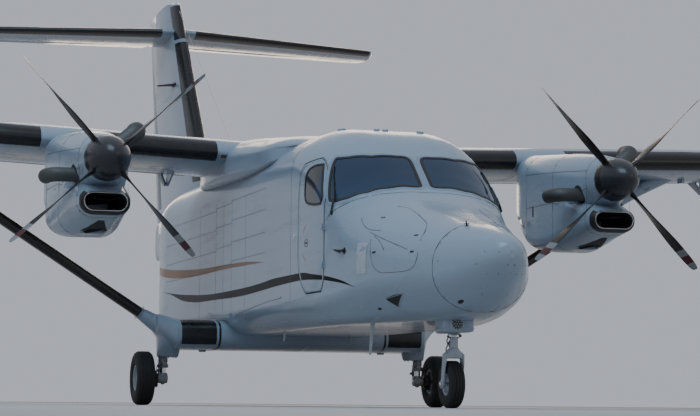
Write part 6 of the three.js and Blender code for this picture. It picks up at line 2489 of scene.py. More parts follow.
@dataclass
class Strut:
    """A wing strut with a white shoe at the wing and a collar at its lower end."""

    paint: Finish
    dark: Finish
    glass: Finish
    side: Side
    station: float = 7.48
    low_x: float = 1.8
    low_z: float = 1.03
    top_x: float = 4.9
    chord: float = 0.34
    thick: float = 0.128
    points: int = 44
    foot: float = 0.047
    # places along the strut, with the chord and thickness there
    shoe: tuple[Row, ...] = (
        (0.852, 0.352, 0.122), (0.86, 0.368, 0.138), (0.93, 0.43, 0.172), (1.07, 0.6, 0.302),
    )
    lamp_share: float = 0.95
    rim: tuple[Row, ...] = (
        (0.03, 0.06), (-0.02, 0.06), (-0.026, 0.056), (-0.026, 0.05), (0.0, 0.046), (0.03, 0.046),
        (0.03, 0.06),
    )
    lens: tuple[Row, ...] = ((-0.006, 0), (-0.004, 0.03), (0.0, 0.047), (0.02, 0.047), (0.02, 0))

    @property
    def top_z(self) -> float:
        """The height of the strut's line where it meets the wing."""
        return WING.onto(at(self.top_x, self.station, 0))[0].z + 0.01

    def ring(self, share: float, chord: float, thick: float, grow: float = 0.0) -> list[Vector]:
        """Gives one section across the strut.

        Args:
            share: Its place from the lower end, 0, to the wing, 1.
            chord: Its chord.
            thick: Its thickness.
            grow: How far it stands out beyond them.

        Returns:
            The points in order.
        """
        x = lerp(self.low_x, self.top_x, share)
        z = lerp(self.low_z, self.top_z, share)
        slope = math.atan2(self.top_z - self.low_z, self.top_x - self.low_x)
        points = []
        for i in range(self.points):
            turn = math.tau * i / self.points
            part = (1 - math.cos(turn)) / 2
            half = foil_half(part, thick / chord) * chord + grow * abs(math.sin(turn))
            up = math.copysign(half, math.sin(turn))
            aft = part * chord - grow * math.cos(turn)
            place = self.side.value * (x - up * math.sin(slope))
            points.append(at(place, self.station - chord * 0.4 + aft, z + up * math.cos(slope)))
        return points

    def build(self) -> None:
        """Builds the strut, its shoe, collar and lamp."""
        word = self.side.word
        shares = steps(self.foot - 0.01, 0.9, 8)
        tube = Solid().lofted([self.ring(share, self.chord, self.thick) for share in shares])
        sleeve = tube.piece(f"strut_{word}_sleeve")
        dress(sleeve, "airframe", Slot.TRIM, self.dark, replaces=[f"strut_{word}"])
        white = Solid().lofted(smooth_rings([self.ring(*row) for row in self.shoe], 6))
        foot = self.foot
        collars = ((foot - 0.003, foot, 0.026), (foot - 0.02, foot - 0.003, 0.006), (0.842, 0.852, 0.009))
        for low, high, grow in collars:
            rows = ((low, 0.0), (low + 0.0008, grow), (high - 0.0008, grow), (high, 0.0))
            white.lofted([self.ring(share, self.chord, self.thick, out) for share, out in rows])
        dress(white.piece(f"strut_{word}_shoe"), "airframe", Slot.WHITE, self.paint)
        lamp = self.ring(self.lamp_share, 0.46, 0.19)[0] + AFT * 0.03
        bezel = Solid().spun(self.rim, lamp, AFT, 32)
        dress(bezel.piece(f"strut_lamp_rim_{word}"), "airframe", Slot.WHITE, self.paint)
        lens = Solid().spun(self.lens, lamp, AFT, 32)
        dress(lens.piece(f"strut_lamp_{word}"), "airframe", Slot.GLASS, self.glass)


@dataclass
class GearBeam:
    """The beam under the floor, with its boots, jack pads and a knuckle casting at each end."""

    paint: Finish
    rubber: Finish
    steel: Finish
    low: float = 0.675
    high: float = 1.04
    nose: float = 6.93
    tail: float = 7.96
    end_x: float = 1.56
    power: float = 0.62
    wheel_station: float = 7.45
    boot_span: tuple[float, float] = (1.09, 1.52)
    band_span: tuple[float, float] = (1.035, 1.06)
    rivet_rows: Row = (0.62, 0.98)
    # the knuckle's arm: place across, height above the beam's middle, half axes along and up
    arm: tuple[Row, ...] = (
        (1.48, 0, 0.515, 0.182), (1.57, 0.02, 0.47, 0.18), (1.68, 0.095, 0.33, 0.145),
        (1.76, 0.15, 0.23, 0.11),
    )
    # its socket round the strut: place along the strut, chord and thickness
    socket: tuple[Row, ...] = (
        (-0.075, 0.52, 0.24), (0.0, 0.42, 0.185), (0.03, 0.376, 0.156), (0.044, 0.352, 0.138),
    )
    # its foot over the leg: place across, shift aft, height, half axes across and along
    foot: tuple[Row, ...] = (
        (1.56, -0.02, 0.9175, 0.165, 0.4),
        (1.57, -0.01, 0.74, 0.15, 0.26),
        (1.58, 0.0, 0.65, 0.14, 0.17),
        (1.585, 0.0, 0.585, 0.132, 0.12),
    )
    pad_x: float = 1.15
    pad_face: float = 0.655
    pad: tuple[Row, ...] = (
        (0, 0), (0, 0.04), (0.004, 0.045), (0.03, 0.045), (0.036, 0.062), (0.05, 0.064), (0.05, 0),
    )

    def section(self, x: float, grow: float = 0.0, turns: Sequence[float] = ()) -> list[Vector]:
        """Gives points round the beam's section.

        Args:
            x: The place across.
            grow: How far they stand out.
            turns: The angles, in degrees from straight aft; all round where there are none.

        Returns:
            The points in order.
        """
        middle = self.middle + LEFT * x
        long = (self.tail - self.nose) / 2 + grow
        high = (self.high - self.low) / 2 + grow
        if not turns:
            turns = [360 * (i + 0.5) / 72 for i in range(72)]
        points = []
        for turn in turns:
            c, s = math.cos(math.radians(turn)), math.sin(math.radians(turn))
            across = math.copysign(abs(c) ** self.power, c) * long
            up = math.copysign(abs(s) ** self.power, s) * high
            points.append(middle + Vector((0, across, up)))
        return points

    @property
    def middle(self) -> Vector:
        """The middle of the beam."""
        return at(0, (self.nose + self.tail) / 2, (self.low + self.high) / 2)

    def build(self) -> None:
        """Builds the beam, both knuckles, the boots and the pads."""
        beam = Solid().lofted([self.section(x) for x in (-self.end_x, -0.8, 0.0, 0.8, self.end_x)])
        dress(beam.piece("gear_beam_skin"), "airframe", Slot.WHITE, self.paint, replaces=["gear_beam"])
        for side in Side:
            self.build_knuckle(side)
            self.build_boot(side)
            foot = at(side.value * self.pad_x, self.wheel_station, self.pad_face)
            pad = Solid().spun(self.pad, foot, UP, 36)
            dress(pad.piece(f"jack_pad_{side.word}"), "airframe", Slot.GEAR, self.steel)

    def build_boot(self, side: Side) -> None:
        """Wraps a boot round the front of the beam, with a thin band beside it.

        Args:
            side: The beam's end.
        """
        sign = side.value
        turns = steps(112, 211, 30)
        solid = Solid()
        rings = []
        for i, x in enumerate(steps(*self.boot_span, 8)):
            outer = self.section(sign * x, 0.005 if 0 < i < 8 else 0.002, turns)
            rings.append([*outer, *reversed(self.section(sign * x, -0.002, turns))])
        solid.lofted(rings)
        low, high = (sign * x for x in self.band_span)
        band = ((low, -0.002), (low, 0.003), (high, 0.003), (high, -0.002))
        solid.lofted([self.section(x, grow) for x, grow in band], closed=True)
        dress(solid.piece(f"beam_boot_{side.word}"), "airframe", Slot.TRIM, self.rubber)
        seams = Solid()
        for x in self.rivet_rows:
            for shift in (-0.012, 0.012):
                for turn in range(80, 250, 6):
                    place = self.section(sign * (x + shift), 0.0, [turn])[0]
                    out = (self.section(sign * (x + shift), 0.05, [turn])[0] - place).normalized()
                    head = place + out * 0.0005
                    seams.bar(head, head + out * 0.002, 0.0038, sides=6, bevel=0)
        dress(seams.piece(f"beam_rivets_{side.word}"), "airframe", Slot.WHITE, self.paint)

    def build_knuckle(self, side: Side) -> None:
        """Casts the knuckle that carries the strut and the wheel leg.

        Args:
            side: The beam's end.
        """
        sign = side.value
        solid = Solid()
        arm = [
            oval(self.middle + Vector((sign * x, 0, up)), AFT * long, UP * high, self.power, 40)
            for x, up, long, high in self.arm
        ]
        solid.lofted(smooth_rings(arm, 4))
        strut = Strut(self.paint, self.rubber, self.steel, side)
        solid.lofted(smooth_rings([strut.ring(*row) for row in self.socket], 4))
        leg = [
            level_oval(at(sign * x, self.wheel_station + shift, z), wide, long, 1.0, 40)
            for x, shift, z, wide, long in self.foot
        ]
        solid.lofted(smooth_rings(leg, 4))
        piece = fused(solid, f"knuckle_{side.word}", 0.012, 4)
        dress(piece, "airframe", Slot.WHITE, self.paint)
        foot = at(sign * self.foot[-1][0], self.wheel_station, 0.588)
        bolts = Solid().bolts(circle(foot, LEFT * 0.108, AFT * 0.098, 1.0, 10), DOWN * 0.012, 0.008)
        dress(bolts.piece(f"knuckle_bolts_{side.word}"), "airframe", Slot.GEAR, self.steel)


@dataclass
class MainLeg:
    """A main leg: cylinder, piston, torque links, axle casting, brake and its pipe."""

    paint: Finish
    chrome: Finish
    dark: Finish
    side: Side
    leg_x: float = 1.64
    station: float = 7.45
    axle_z: float = 0.326
    top_z: float = 0.584
    links: tuple[tuple[Row, ...], ...] = (
        ((0.03, 0.53), (0.172, 0.44), (0.172, 0.408), (0.03, 0.48)),
        ((0.15, 0.441), (0.176, 0.428), (0.07, 0.302), (0.04, 0.312)),
    )
    pins: tuple[Row, ...] = ((0.046, 0.505), (0.164, 0.426), (0.055, 0.318))
    # distances along the leg or the axle, and radii
    cylinder: tuple[Row, ...] = (
        (0, 0), (0, 0.058), (0.06, 0.058), (0.068, 0.052), (0.082, 0.052), (0.088, 0.066), (0.124, 0.068),
        (0.13, 0.06), (0.13, 0),
    )
    rod: tuple[Row, ...] = ((0.12, 0), (0.12, 0.038), (0.21, 0.038), (0.216, 0.046), (0.23, 0.046), (0.23, 0))
    disc: tuple[Row, ...] = (
        (0.0, 0.026), (0.0, 0.05), (0.04, 0.054), (0.05, 0.07), (0.054, 0.098), (0.062, 0.1), (0.066, 0.088),
        (0.09, 0.088), (0.094, 0.104), (0.106, 0.104), (0.11, 0.06), (0.11, 0.026), (0.0, 0.026),
    )

    @property
    def x(self) -> float:
        """The leg's place across."""
        return self.side.value * self.leg_x

    def build(self) -> None:
        """Builds the leg's parts."""
        word = self.side.word
        out = LEFT * self.side.value
        x, s = self.x, self.station
        top = at(x, s, self.top_z)
        axle = at(x, s, self.axle_z)
        casting = Solid().spun(self.cylinder, top, DOWN, 40)
        casting.block(at(x - 0.046, s + 0.03, 0.474), at(x + 0.046, s + 0.075, 0.534), 0.01)
        casting.block(at(x - 0.03, s - 0.08, 0.48), at(x + 0.03, s - 0.05, 0.53), 0.008)
        shell = fused(casting, f"main_leg_cylinder_{word}", 0.0045, 2)
        dress(shell, "airframe", Slot.GEAR, self.paint, replaces=[f"main_leg_{word}"])
        rod = Solid().spun(self.rod, top, DOWN, 36)
        rod.bar(axle - out * 0.06, axle + out * 0.29, 0.026, sides=32)
        dress(rod.piece(f"main_leg_piston_{word}"), "airframe", Slot.GEAR, self.chrome)
        foot = Solid()
        foot.block(at(x - 0.046, s - 0.06, 0.28), at(x + 0.046, s + 0.056, 0.376), 0.02)
        foot.bar(axle - out * 0.055, axle + out * 0.07, 0.06, sides=32)
        foot.bar(at(x, s, 0.392), at(x, s, 0.34), 0.052, sides=32)
        foot.block(at(x - 0.03, s + 0.03, 0.29), at(x + 0.03, s + 0.085, 0.34), 0.012)
        foot.block(at(x - 0.022, s - 0.02, 0.25), at(x + 0.022, s + 0.02, 0.3), 0.008)
        dress(fused(foot, f"axle_casting_{word}", 0.0045, 2), "airframe", Slot.GEAR, self.paint)
        links = Solid()
        for i, outline in enumerate(self.links):
            half = 0.023 if i == 0 else 0.02
            for shift in (-half, half - 0.009):
                links.plate([at(x + shift, s + a, z) for a, z in outline], LEFT * 0.009, 0.002)
            web = [at(x - half, s + a, z) for a, z in outline]
            middle = sum(web, Vector()) / len(web)
            links.plate([middle.lerp(point, 0.72) for point in web], LEFT * 2 * half, 0.002)
        for a, z in self.pins:
            links.bar(at(x - 0.034, s + a, z), at(x + 0.034, s + a, z), 0.011, sides=20)
            for sign in (-1, 1):
                links.bar(at(x + sign * 0.034, s + a, z), at(x + sign * 0.04, s + a, z), 0.016, sides=6)
        dress(links.piece(f"torque_links_{word}"), "airframe", Slot.GEAR, self.paint)
        self.build_brake(out)

    def build_brake(self, out: Vector) -> None:
        """Builds the brake's disc, carrier, pads and pipe.

        Args:
            out: The way to the wheel.
        """
        word = self.side.word
        centre = at(self.x, self.station, self.axle_z) + out * 0.04
        brake = Solid().spun(self.disc, centre, out, 48)
        brake.bolts(circle(centre + out * 0.052, AFT, UP, 0.084, 8), out * -0.012, 0.007)
        for turn in (200, 235):
            way = Vector((0, math.cos(math.radians(turn)), math.sin(math.radians(turn))))
            place = centre + way * 0.098 + out * 0.068
            size = Vector((0.036, 0.024, 0.02))
            brake.block(place - size, place + size, 0.008, Matrix.Rotation(math.radians(turn), 3, "X"))
        dress(brake.piece(f"brake_{word}"), "airframe", Slot.HUB, self.dark)
        x, s = self.x, self.station
        near = out.x * 0.07
        stops = [
            (0.4, 0.06, 0.5), (0.9, 0.085, 0.47), (1.1, 0.1, 0.42), (1.1, 0.1, 0.37), (1.2, 0.1, 0.32),
            (1.5, 0.095, 0.29),
        ]
        stops = [(x + near * share, s - ahead, z) for share, ahead, z in stops]
        route = [at(*stop) for stop in smooth_rows(stops, 4)]
        pipes = Solid().tube(route, 0.0055, 10)
        pipes.tube([p + Vector((out.x * 0.006, 0.07, 0.02)) for p in route[:18]], 0.004, 8)
        for k in (0, 9, 19):
            pipes.bar(route[k] + DOWN * 0.008, route[k] + UP * 0.008, 0.0095, sides=6)
        dress(pipes.piece(f"brake_pipe_{word}"), "airframe", Slot.TRIM, self.dark)


@dataclass
class NoseGear:
    """The faired housing under the nose with its landing light, and the fork that steers."""

    paint: Finish
    grey: Finish
    chrome: Finish
    dark: Finish
    glass: Finish
    half: float = 0.155
    front: float = 1.27
    back: float = 1.9
    low: float = 0.735
    high: float = 1.0
    steer_station: float = 1.5
    axle_station: float = 1.56
    axle_z: float = 0.232
    light_x: float = -0.052
    light_z: float = 0.814
    light_radius: float = 0.058
    screw_rows: tuple[Row, ...] = ((0.775, 0.004), (0.955, 0.024))
    # distances along an axis, and radii
    cell: tuple[Row, ...] = (
        (0, 0), (0, 0.009), (0.003, 0.009), (0.0045, 0.0065), (0.003, 0.0045), (0.002, 0.0),
    )
    spigot: tuple[Row, ...] = (
        (0.1, 0), (0.1, 0.042), (0.235, 0.042), (0.25, 0.05), (0.262, 0.05), (0.262, 0),
    )
    collar: tuple[Row, ...] = (
        (0, 0), (0, 0.034), (0.066, 0.034), (0.067, 0.056), (0.074, 0.06), (0.106, 0.06), (0.11, 0.052),
        (0.11, 0),
    )
    # the fork's arch: height, half axes across and along
    arch: tuple[Row, ...] = (
        (0.58, 0.052, 0.058), (0.562, 0.062, 0.064), (0.535, 0.096, 0.062), (0.5, 0.112, 0.058),
        (0.484, 0.106, 0.05),
    )
    # each leg of the fork: place across, shift aft, height, half axes across and along
    tine: tuple[Row, ...] = (
        (0.088, 0.01, 0.53, 0.018, 0.052), (0.094, 0.018, 0.42, 0.014, 0.048),
        (0.094, 0.044, 0.3, 0.014, 0.04), (0.092, 0.06, 0.198, 0.014, 0.034),
    )
    # outlines of the torque links as shift aft and height, and their half widths
    links: tuple[tuple[tuple[Row, ...], float], ...] = (
        (((0.03, 0.69), (0.128, 0.64), (0.128, 0.615), (0.03, 0.645)), 0.018),
        (((0.106, 0.637), (0.13, 0.628), (0.062, 0.547), (0.034, 0.547)), 0.015),
    )
    pins: tuple[Row, ...] = ((0.045, 0.668), (0.118, 0.628), (0.048, 0.556))
    # the pipes: place across, shift aft and height
    pipe: tuple[Row, ...] = (
        (-0.05, -0.01, 0.705), (-0.066, -0.01, 0.68), (-0.07, 0, 0.65), (-0.06, 0, 0.62), (-0.07, 0.01, 0.59),
        (-0.075, 0.01, 0.565), (-0.07, 0.01, 0.545),
    )

    def ring(self, z: float, grow: float) -> list[Vector]:
        """Gives one level section of the housing.

        Args:
            z: Its height.
            grow: How far it stands out.

        Returns:
            The points in order.
        """
        w = self.half + grow
        front = self.front - grow
        back = self.back + grow
        half = [(w - 0.06, front), (w - 0.012, front + 0.045), (w, front + 0.11)]
        half += [(w * 0.9, back - 0.26), (w * 0.35, back)]
        corners = [at(x, s, z) for x, s in half] + [at(-x, s, z) for x, s in reversed(half)]
        return filleted([*corners, corners[0]], 0.05, 4)[:-1]

    def build(self) -> None:
        """Builds the housing, the light, the leg and the fork."""
        low = self.low
        rows = ((low, -0.03), (low + 0.004, -0.018), (low + 0.022, 0.0), (0.88, 0.004), (self.high, 0.04))
        shell = Solid().lofted([self.ring(*row) for row in smooth_rows(rows, 4)])
        piece = shell.piece("nose_gear_housing_shell")
        dress(piece, "airframe", Slot.WHITE, self.paint, replaces=["nose_gear_housing"])
        screws = Solid()
        for z, grow in self.screw_rows:
            for point in along(self.ring(z, grow), 0.05):
                out = (point - at(0, 1.55, z)).normalized()
                screws.bar(point - out * 0.002, point + out * 0.002, 0.004, sides=6, bevel=0)
        dress(screws.piece("housing_screws"), "airframe", Slot.TRIM, self.grey)
        self.build_light()
        self.build_leg()

    def build_light(self) -> None:
        """Builds the landing light in the housing's front, with its cells."""
        centre = at(self.light_x, self.front - 0.008, self.light_z)
        r = self.light_radius
        rows = [(-0.02, r + 0.01), (0.008, r + 0.009), (0.013, r + 0.004), (0.013, r), (0.004, r - 0.004)]
        rim = Solid().spun([*rows, (-0.02, r - 0.004), rows[0]], centre, AHEAD, 48)
        dress(rim.piece("landing_light_rim"), "airframe", Slot.WHITE, self.grey)
        rows = [(-0.015, 0), (-0.015, r - 0.002), (0.003, r - 0.002), (0.004, 0)]
        plate = Solid().spun(rows, centre, AHEAD, 48)
        dress(plate.piece("landing_light_plate"), "airframe", Slot.TRIM, self.dark)
        cells = Solid()
        spots = [(0.0, 0.0)]
        for count, radius in ((6, 0.44), (11, 0.8)):
            spots += [(math.tau * i / count, radius * r) for i in range(count)]
        for turn, reach in spots:
            place = centre + Vector((math.cos(turn) * reach, 0, math.sin(turn) * reach)) + AHEAD * 0.003
            cells.spun(self.cell, place, AHEAD, 12)
        dress(cells.piece("landing_light_cells"), "airframe", Slot.GLASS, self.glass)

    def build_leg(self) -> None:
        """Builds the steering leg: spigot, collar, links, fork, axle and small pipes."""
        s = self.steer_station
        top = at(0, s, 0.8)
        fork = Solid().spun(self.spigot, top, DOWN, 36)
        arch = [level_oval(at(0, s + 0.01, z), wide, long, 0.9, 32) for z, wide, long in self.arch]
        fork.lofted(smooth_rings(arch, 3))
        for sign in (-1, 1):
            tine = [
                level_oval(at(sign * x, s + shift, z), wide, long, 0.85, 24)
                for x, shift, z, wide, long in self.tine
            ]
            fork.lofted(smooth_rings(tine, 4))
            axle = at(sign * 0.08, self.axle_station, self.axle_z)
            fork.bar(axle, axle + LEFT * sign * 0.03, 0.044, sides=28)
        fork.block(at(-0.03, s + 0.03, 0.545), at(0.03, s + 0.075, 0.585), 0.008)
        leg = fused(fork, "nose_fork", 0.0045, 2)
        dress(leg, "nose_leg", Slot.GEAR, self.grey, replaces=["nose_leg"])
        rod = Solid().spun(self.collar, top, DOWN, 40)
        rod.bolts(circle(at(0, s, 0.69), LEFT, AFT, 0.05, 8), DOWN * 0.01, 0.006)
        end = LEFT * 0.122
        axle = at(0, self.axle_station, self.axle_z)
        rod.bar(axle - end, axle + end, 0.02, sides=24)
        for sign in (-1, 1):
            rod.bar(axle + end * sign * 0.9, axle + end * sign * 0.99, 0.03, sides=6)
        dress(rod.piece("nose_leg_collar"), "nose_leg", Slot.GEAR, self.chrome)
        links = Solid()
        for outline, half in self.links:
            for shift in (-half, half - 0.007):
                links.plate([at(shift, s + a, z) for a, z in outline], LEFT * 0.007, 0.0015)
            web = [at(-half, s + a * 0.8 + 0.016, z) for a, z in outline]
            links.plate(web, LEFT * 2 * half, 0.0015)
        for a, z in self.pins:
            links.bar(at(-0.026, s + a, z), at(0.026, s + a, z), 0.008, sides=16)
        dress(links.piece("nose_torque_links"), "nose_leg", Slot.GEAR, self.grey)
        pipes = Solid()
        for shift, radius in ((0.0, 0.0045), (0.012, 0.0035)):
            stops = [(x, s + a + shift, z) for x, a, z in self.pipe]
            pipes.tube([at(*stop) for stop in smooth_rows(stops, 4)], radius, 8)
        pipes.bar(at(-0.05, s - 0.02, 0.7), at(-0.05, s + 0.035, 0.7), 0.011, sides=20)
        pipes.bar(at(0.05, s - 0.045, 0.705), at(0.05, s + 0.03, 0.705), 0.016, sides=24)
        dress(pipes.piece("nose_leg_pipes"), "nose_leg", Slot.TRIM, self.dark)


@dataclass
class Fittings:
    """The small things on the skin: inlets, vane, probes, aerials, wipers, lights and strips."""

    paint: Finish
    dark: Finish
    seal: Finish
    chrome: Finish
    red: Finish
    pale: Finish
    # station, place across and height
    inlet: tuple[Row, ...] = (
        (1.57, -0.681, 1.054), (1.4, -0.645, 1.085), (1.237, -0.6, 1.096), (1.36, -0.583, 1.035),
        (1.485, -0.567, 0.975),
    )
    port_plate: tuple[Row, ...] = (
        (1.77, 0.85, 1.626), (1.95, 0.87, 1.626), (1.95, 0.87, 1.31), (1.77, 0.85, 1.31),
    )
    # station, place across, height, half axes along and across
    drains: tuple[Row, ...] = ((1.791, -0.662, 0.968, 0.035, 0.016), (0.64, -0.24, 0.995, 0.045, 0.022))
    # the fin aerial's outline, as reach and shift aft, and its station and height
    blade: tuple[Row, ...] = (
        (-0.03, -0.09), (0.05, -0.075), (0.215, 0.125), (0.235, 0.17), (0.228, 0.21), (0.05, 0.1),
        (-0.03, 0.09),
    )
    # the vane's corners: place along its arm, and drop
    vane: tuple[Row, ...] = ((0.1, 0.0), (0.95, 0.0), (0.8, 0.014), (0.2, 0.03))
    blade_station: float = 14.13
    blade_height: float = 4.97
    # a wiper's arm and blade: station, place across, height and lift off the skin
    wiper_arm: tuple[Row, ...] = (
        (2.645, 0.9, 2.12, 0.016), (2.7, 0.89, 2.2, 0.018), (2.78, 0.87, 2.31, 0.018),
    )
    wiper_blade: tuple[Row, ...] = (
        (2.63, 0.895, 2.115, 0.012), (2.72, 0.89, 2.24, 0.013), (2.84, 0.862, 2.38, 0.013),
        (2.93, 0.83, 2.5, 0.012),
    )
    left_rise: float = 0.075
    # station, place across and radius of each flat aerial
    roof_plates: tuple[Row, ...] = (
        (3.95, -0.45, 0.047), (3.7, -0.11, 0.034), (3.68, -0.02, 0.034), (3.6, 0.36, 0.04),
    )
    above_roof: float = 3.1
    wire_foot: float = 9.95
    wire_top: float = 6.2
    wire_size: float = 0.004
    # places along a blade aerial, and its width there in chords
    aerial_widths: tuple[Row, ...] = (
        (-0.08, 1.25), (0.0, 1.2), (0.03, 1.0), (0.55, 0.8), (0.92, 0.56), (1.0, 0.34),
    )
    # station, place across, root's height, length, chord at the root, sweep, and 1 for up or -1 for down
    aerials: tuple[Row, ...] = (
        (2.647, -0.467, 0.845, 0.31, 0.13, 0.09, -1),
        (5.638, -0.589, 0.845, 0.1, 0.1, 0.04, -1),
        (6.518, 0.476, 0.845, 0.1, 0.1, 0.04, -1),
        (2.116, -0.761, 1.87, 0.03, 0.022, 0.008, 1),
        (1.847, -0.626, 1.868, 0.03, 0.022, 0.008, 1),
    )

    def build(self) -> None:
        """Puts all of them on."""
        self.build_inlet()
        self.build_aerials()
        self.build_roof()
        self.build_probes()
        for side in Side:
            self.build_wiper(side)
            self.build_lights(side)

    def build_inlet(self) -> None:
        """Makes the flush inlet with its lip, the drains and the pale plates of the static ports; the inlet
        and drains are dark patches that paint the shade inside them.
        """
        dark = Solid()
        corners = placed(self.inlet)
        patch(dark, FUSELAGE, corners, 0.001)
        for s, x, z, long, high in self.drains:
            point, normal = FUSELAGE.onto(at(x, s, z))
            side = AFT.cross(normal).normalized()
            ahead = normal.cross(side).normalized()
            patch(dark, FUSELAGE, oval(point, ahead * long, side * high, 1.0, 20), 0.001)
        dress(dark.piece("flush_inlets"), "airframe", Slot.TRIM, self.dark)
        lip = Solid()
        strip(lip, FUSELAGE, [corners[0], corners[-1]], 0.014, 0.009, 0.02)
        strip(lip, FUSELAGE, [corners[2], corners[-1]], 0.01, 0.005, 0.02)
        strip(lip, FUSELAGE, [corners[0], corners[2]], 0.006, 0.002, 0.02)
        dress(lip.piece("inlet_lip"), "airframe", Slot.WHITE, self.paint)
        bar = Solid()
        for sign in (-1, 1):
            patch(bar, FUSELAGE, placed(self.port_plate, sign), 0.0018)
        dress(bar.piece("static_port_plates"), "airframe", Slot.WHITE, self.pale)

    def build_aerials(self) -> None:
        """Makes the blade aerials, each a short foil that narrows and leans back."""
        blades = Solid()
        for station, x, z, height, chord, sweep, way in self.aerials:
            rings = []
            for share, width in self.aerial_widths:
                ring = []
                for i in range(24):
                    turn = math.tau * i / 24
                    part = (1 - math.cos(turn)) / 2
                    half = math.copysign(foil_half(part, 0.16) * chord * width, math.sin(turn))
                    aft = part * chord * width - chord * width * 0.4 + sweep * share
                    ring.append(at(x + half, station + aft, z + way * height * share))
                rings.append(ring)
            blades.lofted(rings)
        dress(blades.piece("blade_aerials"), "airframe", Slot.WHITE, self.pale)

    def build_roof(self) -> None:
        """Puts flat aerials on the roof and strings the wire aerial from the roof to the fin."""
        plates = Solid()
        for station, x, half in self.roof_plates:
            point, normal = FUSELAGE.onto(at(x, station, self.above_roof))
            profile = [(-0.004, 0), (-0.004, half), (0.012, half), (0.018, half * 0.94), (0.022, half * 0.8)]
            plates.spun([*profile, (0.024, 0)], point, normal, 32)
        foot, up = FUSELAGE.onto(at(0, self.wire_foot, self.above_roof))
        nose, _, _, _ = fin_law(self.wire_top)
        top = at(0, nose - 0.004, self.wire_top)
        profile = [(-0.01, 0), (-0.01, 0.02), (0.01, 0.018), (0.03, 0.007), (0.04, 0.005), (0.042, 0)]
        plates.spun(profile, foot, up, 20)
        way = (top - foot).normalized()
        plates.bar(top + way * 0.02, top - way * 0.05, 0.01, 0.005, sides=12)
        dress(plates.piece("roof_aerials"), "airframe", Slot.WHITE, self.paint)
        start = foot + up * 0.034
        end = top - way * 0.045
        points = [start.lerp(end, share) for share in steps(0, 1, 60)]
        wire = Solid().tube(points, self.wire_size / 2, 8).piece("aerial_wire")
        dress(wire, "airframe", Slot.TRIM, self.chrome)

    def build_probes(self) -> None:
        """Makes the airflow vane, the nose probe and the blade aerial on the fin."""
        dark = Solid()
        for sign in (-1, 1):
            hub, normal = FUSELAGE.onto(at(sign * 0.902, 2.238, 1.56))
            profile = [(0, 0), (0, 0.034), (0.004, 0.034), (0.008, 0.018), (0.03, 0.015), (0.032, 0)]
            dark.spun(profile, hub, normal, 28)
            start = hub + normal * 0.024
            end = FUSELAGE.onto(at(sign * 0.926, 2.45, 1.585))[0] + normal * 0.034
            dark.bar(start, end, 0.008, 0.004, sides=12)
            vane = [start.lerp(end, share) + DOWN * drop for share, drop in self.vane]
            dark.plate(vane, normal * 0.003)
        tip, normal = FUSELAGE.onto(at(-0.159, 0.707, 1.717))
        profile = [(-0.004, 0), (-0.004, 0.02), (0.003, 0.018), (0.006, 0.008), (0.05, 0.005), (0.052, 0)]
        dark.spun(profile, tip, normal, 20)
        middle = tip + normal * 0.018
        dark.bar(middle - LEFT * 0.03, middle + LEFT * 0.03, 0.004, sides=10)
        wall = FIN.onto(at(-1, self.blade_station, self.blade_height))[0]
        dark.plate([wall + Vector((-x, y, 0)) for x, y in self.blade], UP * 0.018, 0.004)
        foot = oval(wall + Vector((0.03, 0, 0.009)), AFT * 0.125, UP * 0.034, 0.9, 24)
        dark.plate(foot, LEFT * -0.042, 0.004)
        dress(dark.piece("vanes_and_probes"), "airframe", Slot.TRIM, self.seal)

    def build_wiper(self, side: Side) -> None:
        """Parks a wiper along the outboard edge of a windscreen.

        Args:
            side: The windscreen's side.
        """
        sign = side.value

        def on(station: float, x: float, z: float, lift: float) -> Vector:
            """Returns a point above the skin."""
            point, normal = FUSELAGE.onto(at(sign * x, station, z))
            return point + normal * lift

        solid = Solid()
        rise = self.left_rise if side is Side.LEFT else 0.0
        spindle, normal = FUSELAGE.onto(at(sign * (0.92 - rise / 4), 2.613 + rise / 2, 1.972 + rise))
        profile = [(-0.004, 0), (-0.004, 0.022), (0.003, 0.022), (0.005, 0.014), (0.014, 0.012), (0.016, 0)]
        solid.spun(profile, spindle, normal, 24)
        arm = [spindle + normal * 0.012, *(on(*row) for row in self.wiper_arm)]
        solid.tube([Vector(row) for row in smooth_rows(arm, 4)], 0.0085, 10)
        second = [point + Vector((0, -0.025, -0.004)) for point in arm[:3]]
        solid.tube([Vector(row) for row in smooth_rows(second, 4)], 0.005, 8)
        blade = [on(*row) for row in self.wiper_blade]
        solid.tube([Vector(row) for row in smooth_rows(blade, 5)], 0.007, 8)
        for point, row in zip(blade, self.wiper_blade):
            solid.bar(on(*row[:3], 0.003), point, 0.006, sides=8)
        dress(solid.piece(f"wiper_{side.word}"), "airframe", Slot.TRIM, self.seal)

    def build_lights(self, side: Side) -> None:
        """Sets the light in the wing's root.

        Args:
            side: The wing half.
        """
        lens = Solid()
        frame = Solid()
        for solid, low, high, reach, grow in (
            (frame, 1.032, 1.168, (-0.0016, 0.0334), 0.003),
            (lens, 1.04, 1.16, (-0.0032, 0.0269), 0.0055),
        ):
            boot(solid, WING, steps(low, high, 4), side.value, reach, grow)
        dress(lens.piece(f"root_light_{side.word}"), "airframe", Slot.GLASS, self.red)
        dress(frame.piece(f"root_light_frame_{side.word}"), "airframe", Slot.WING, self.pale)


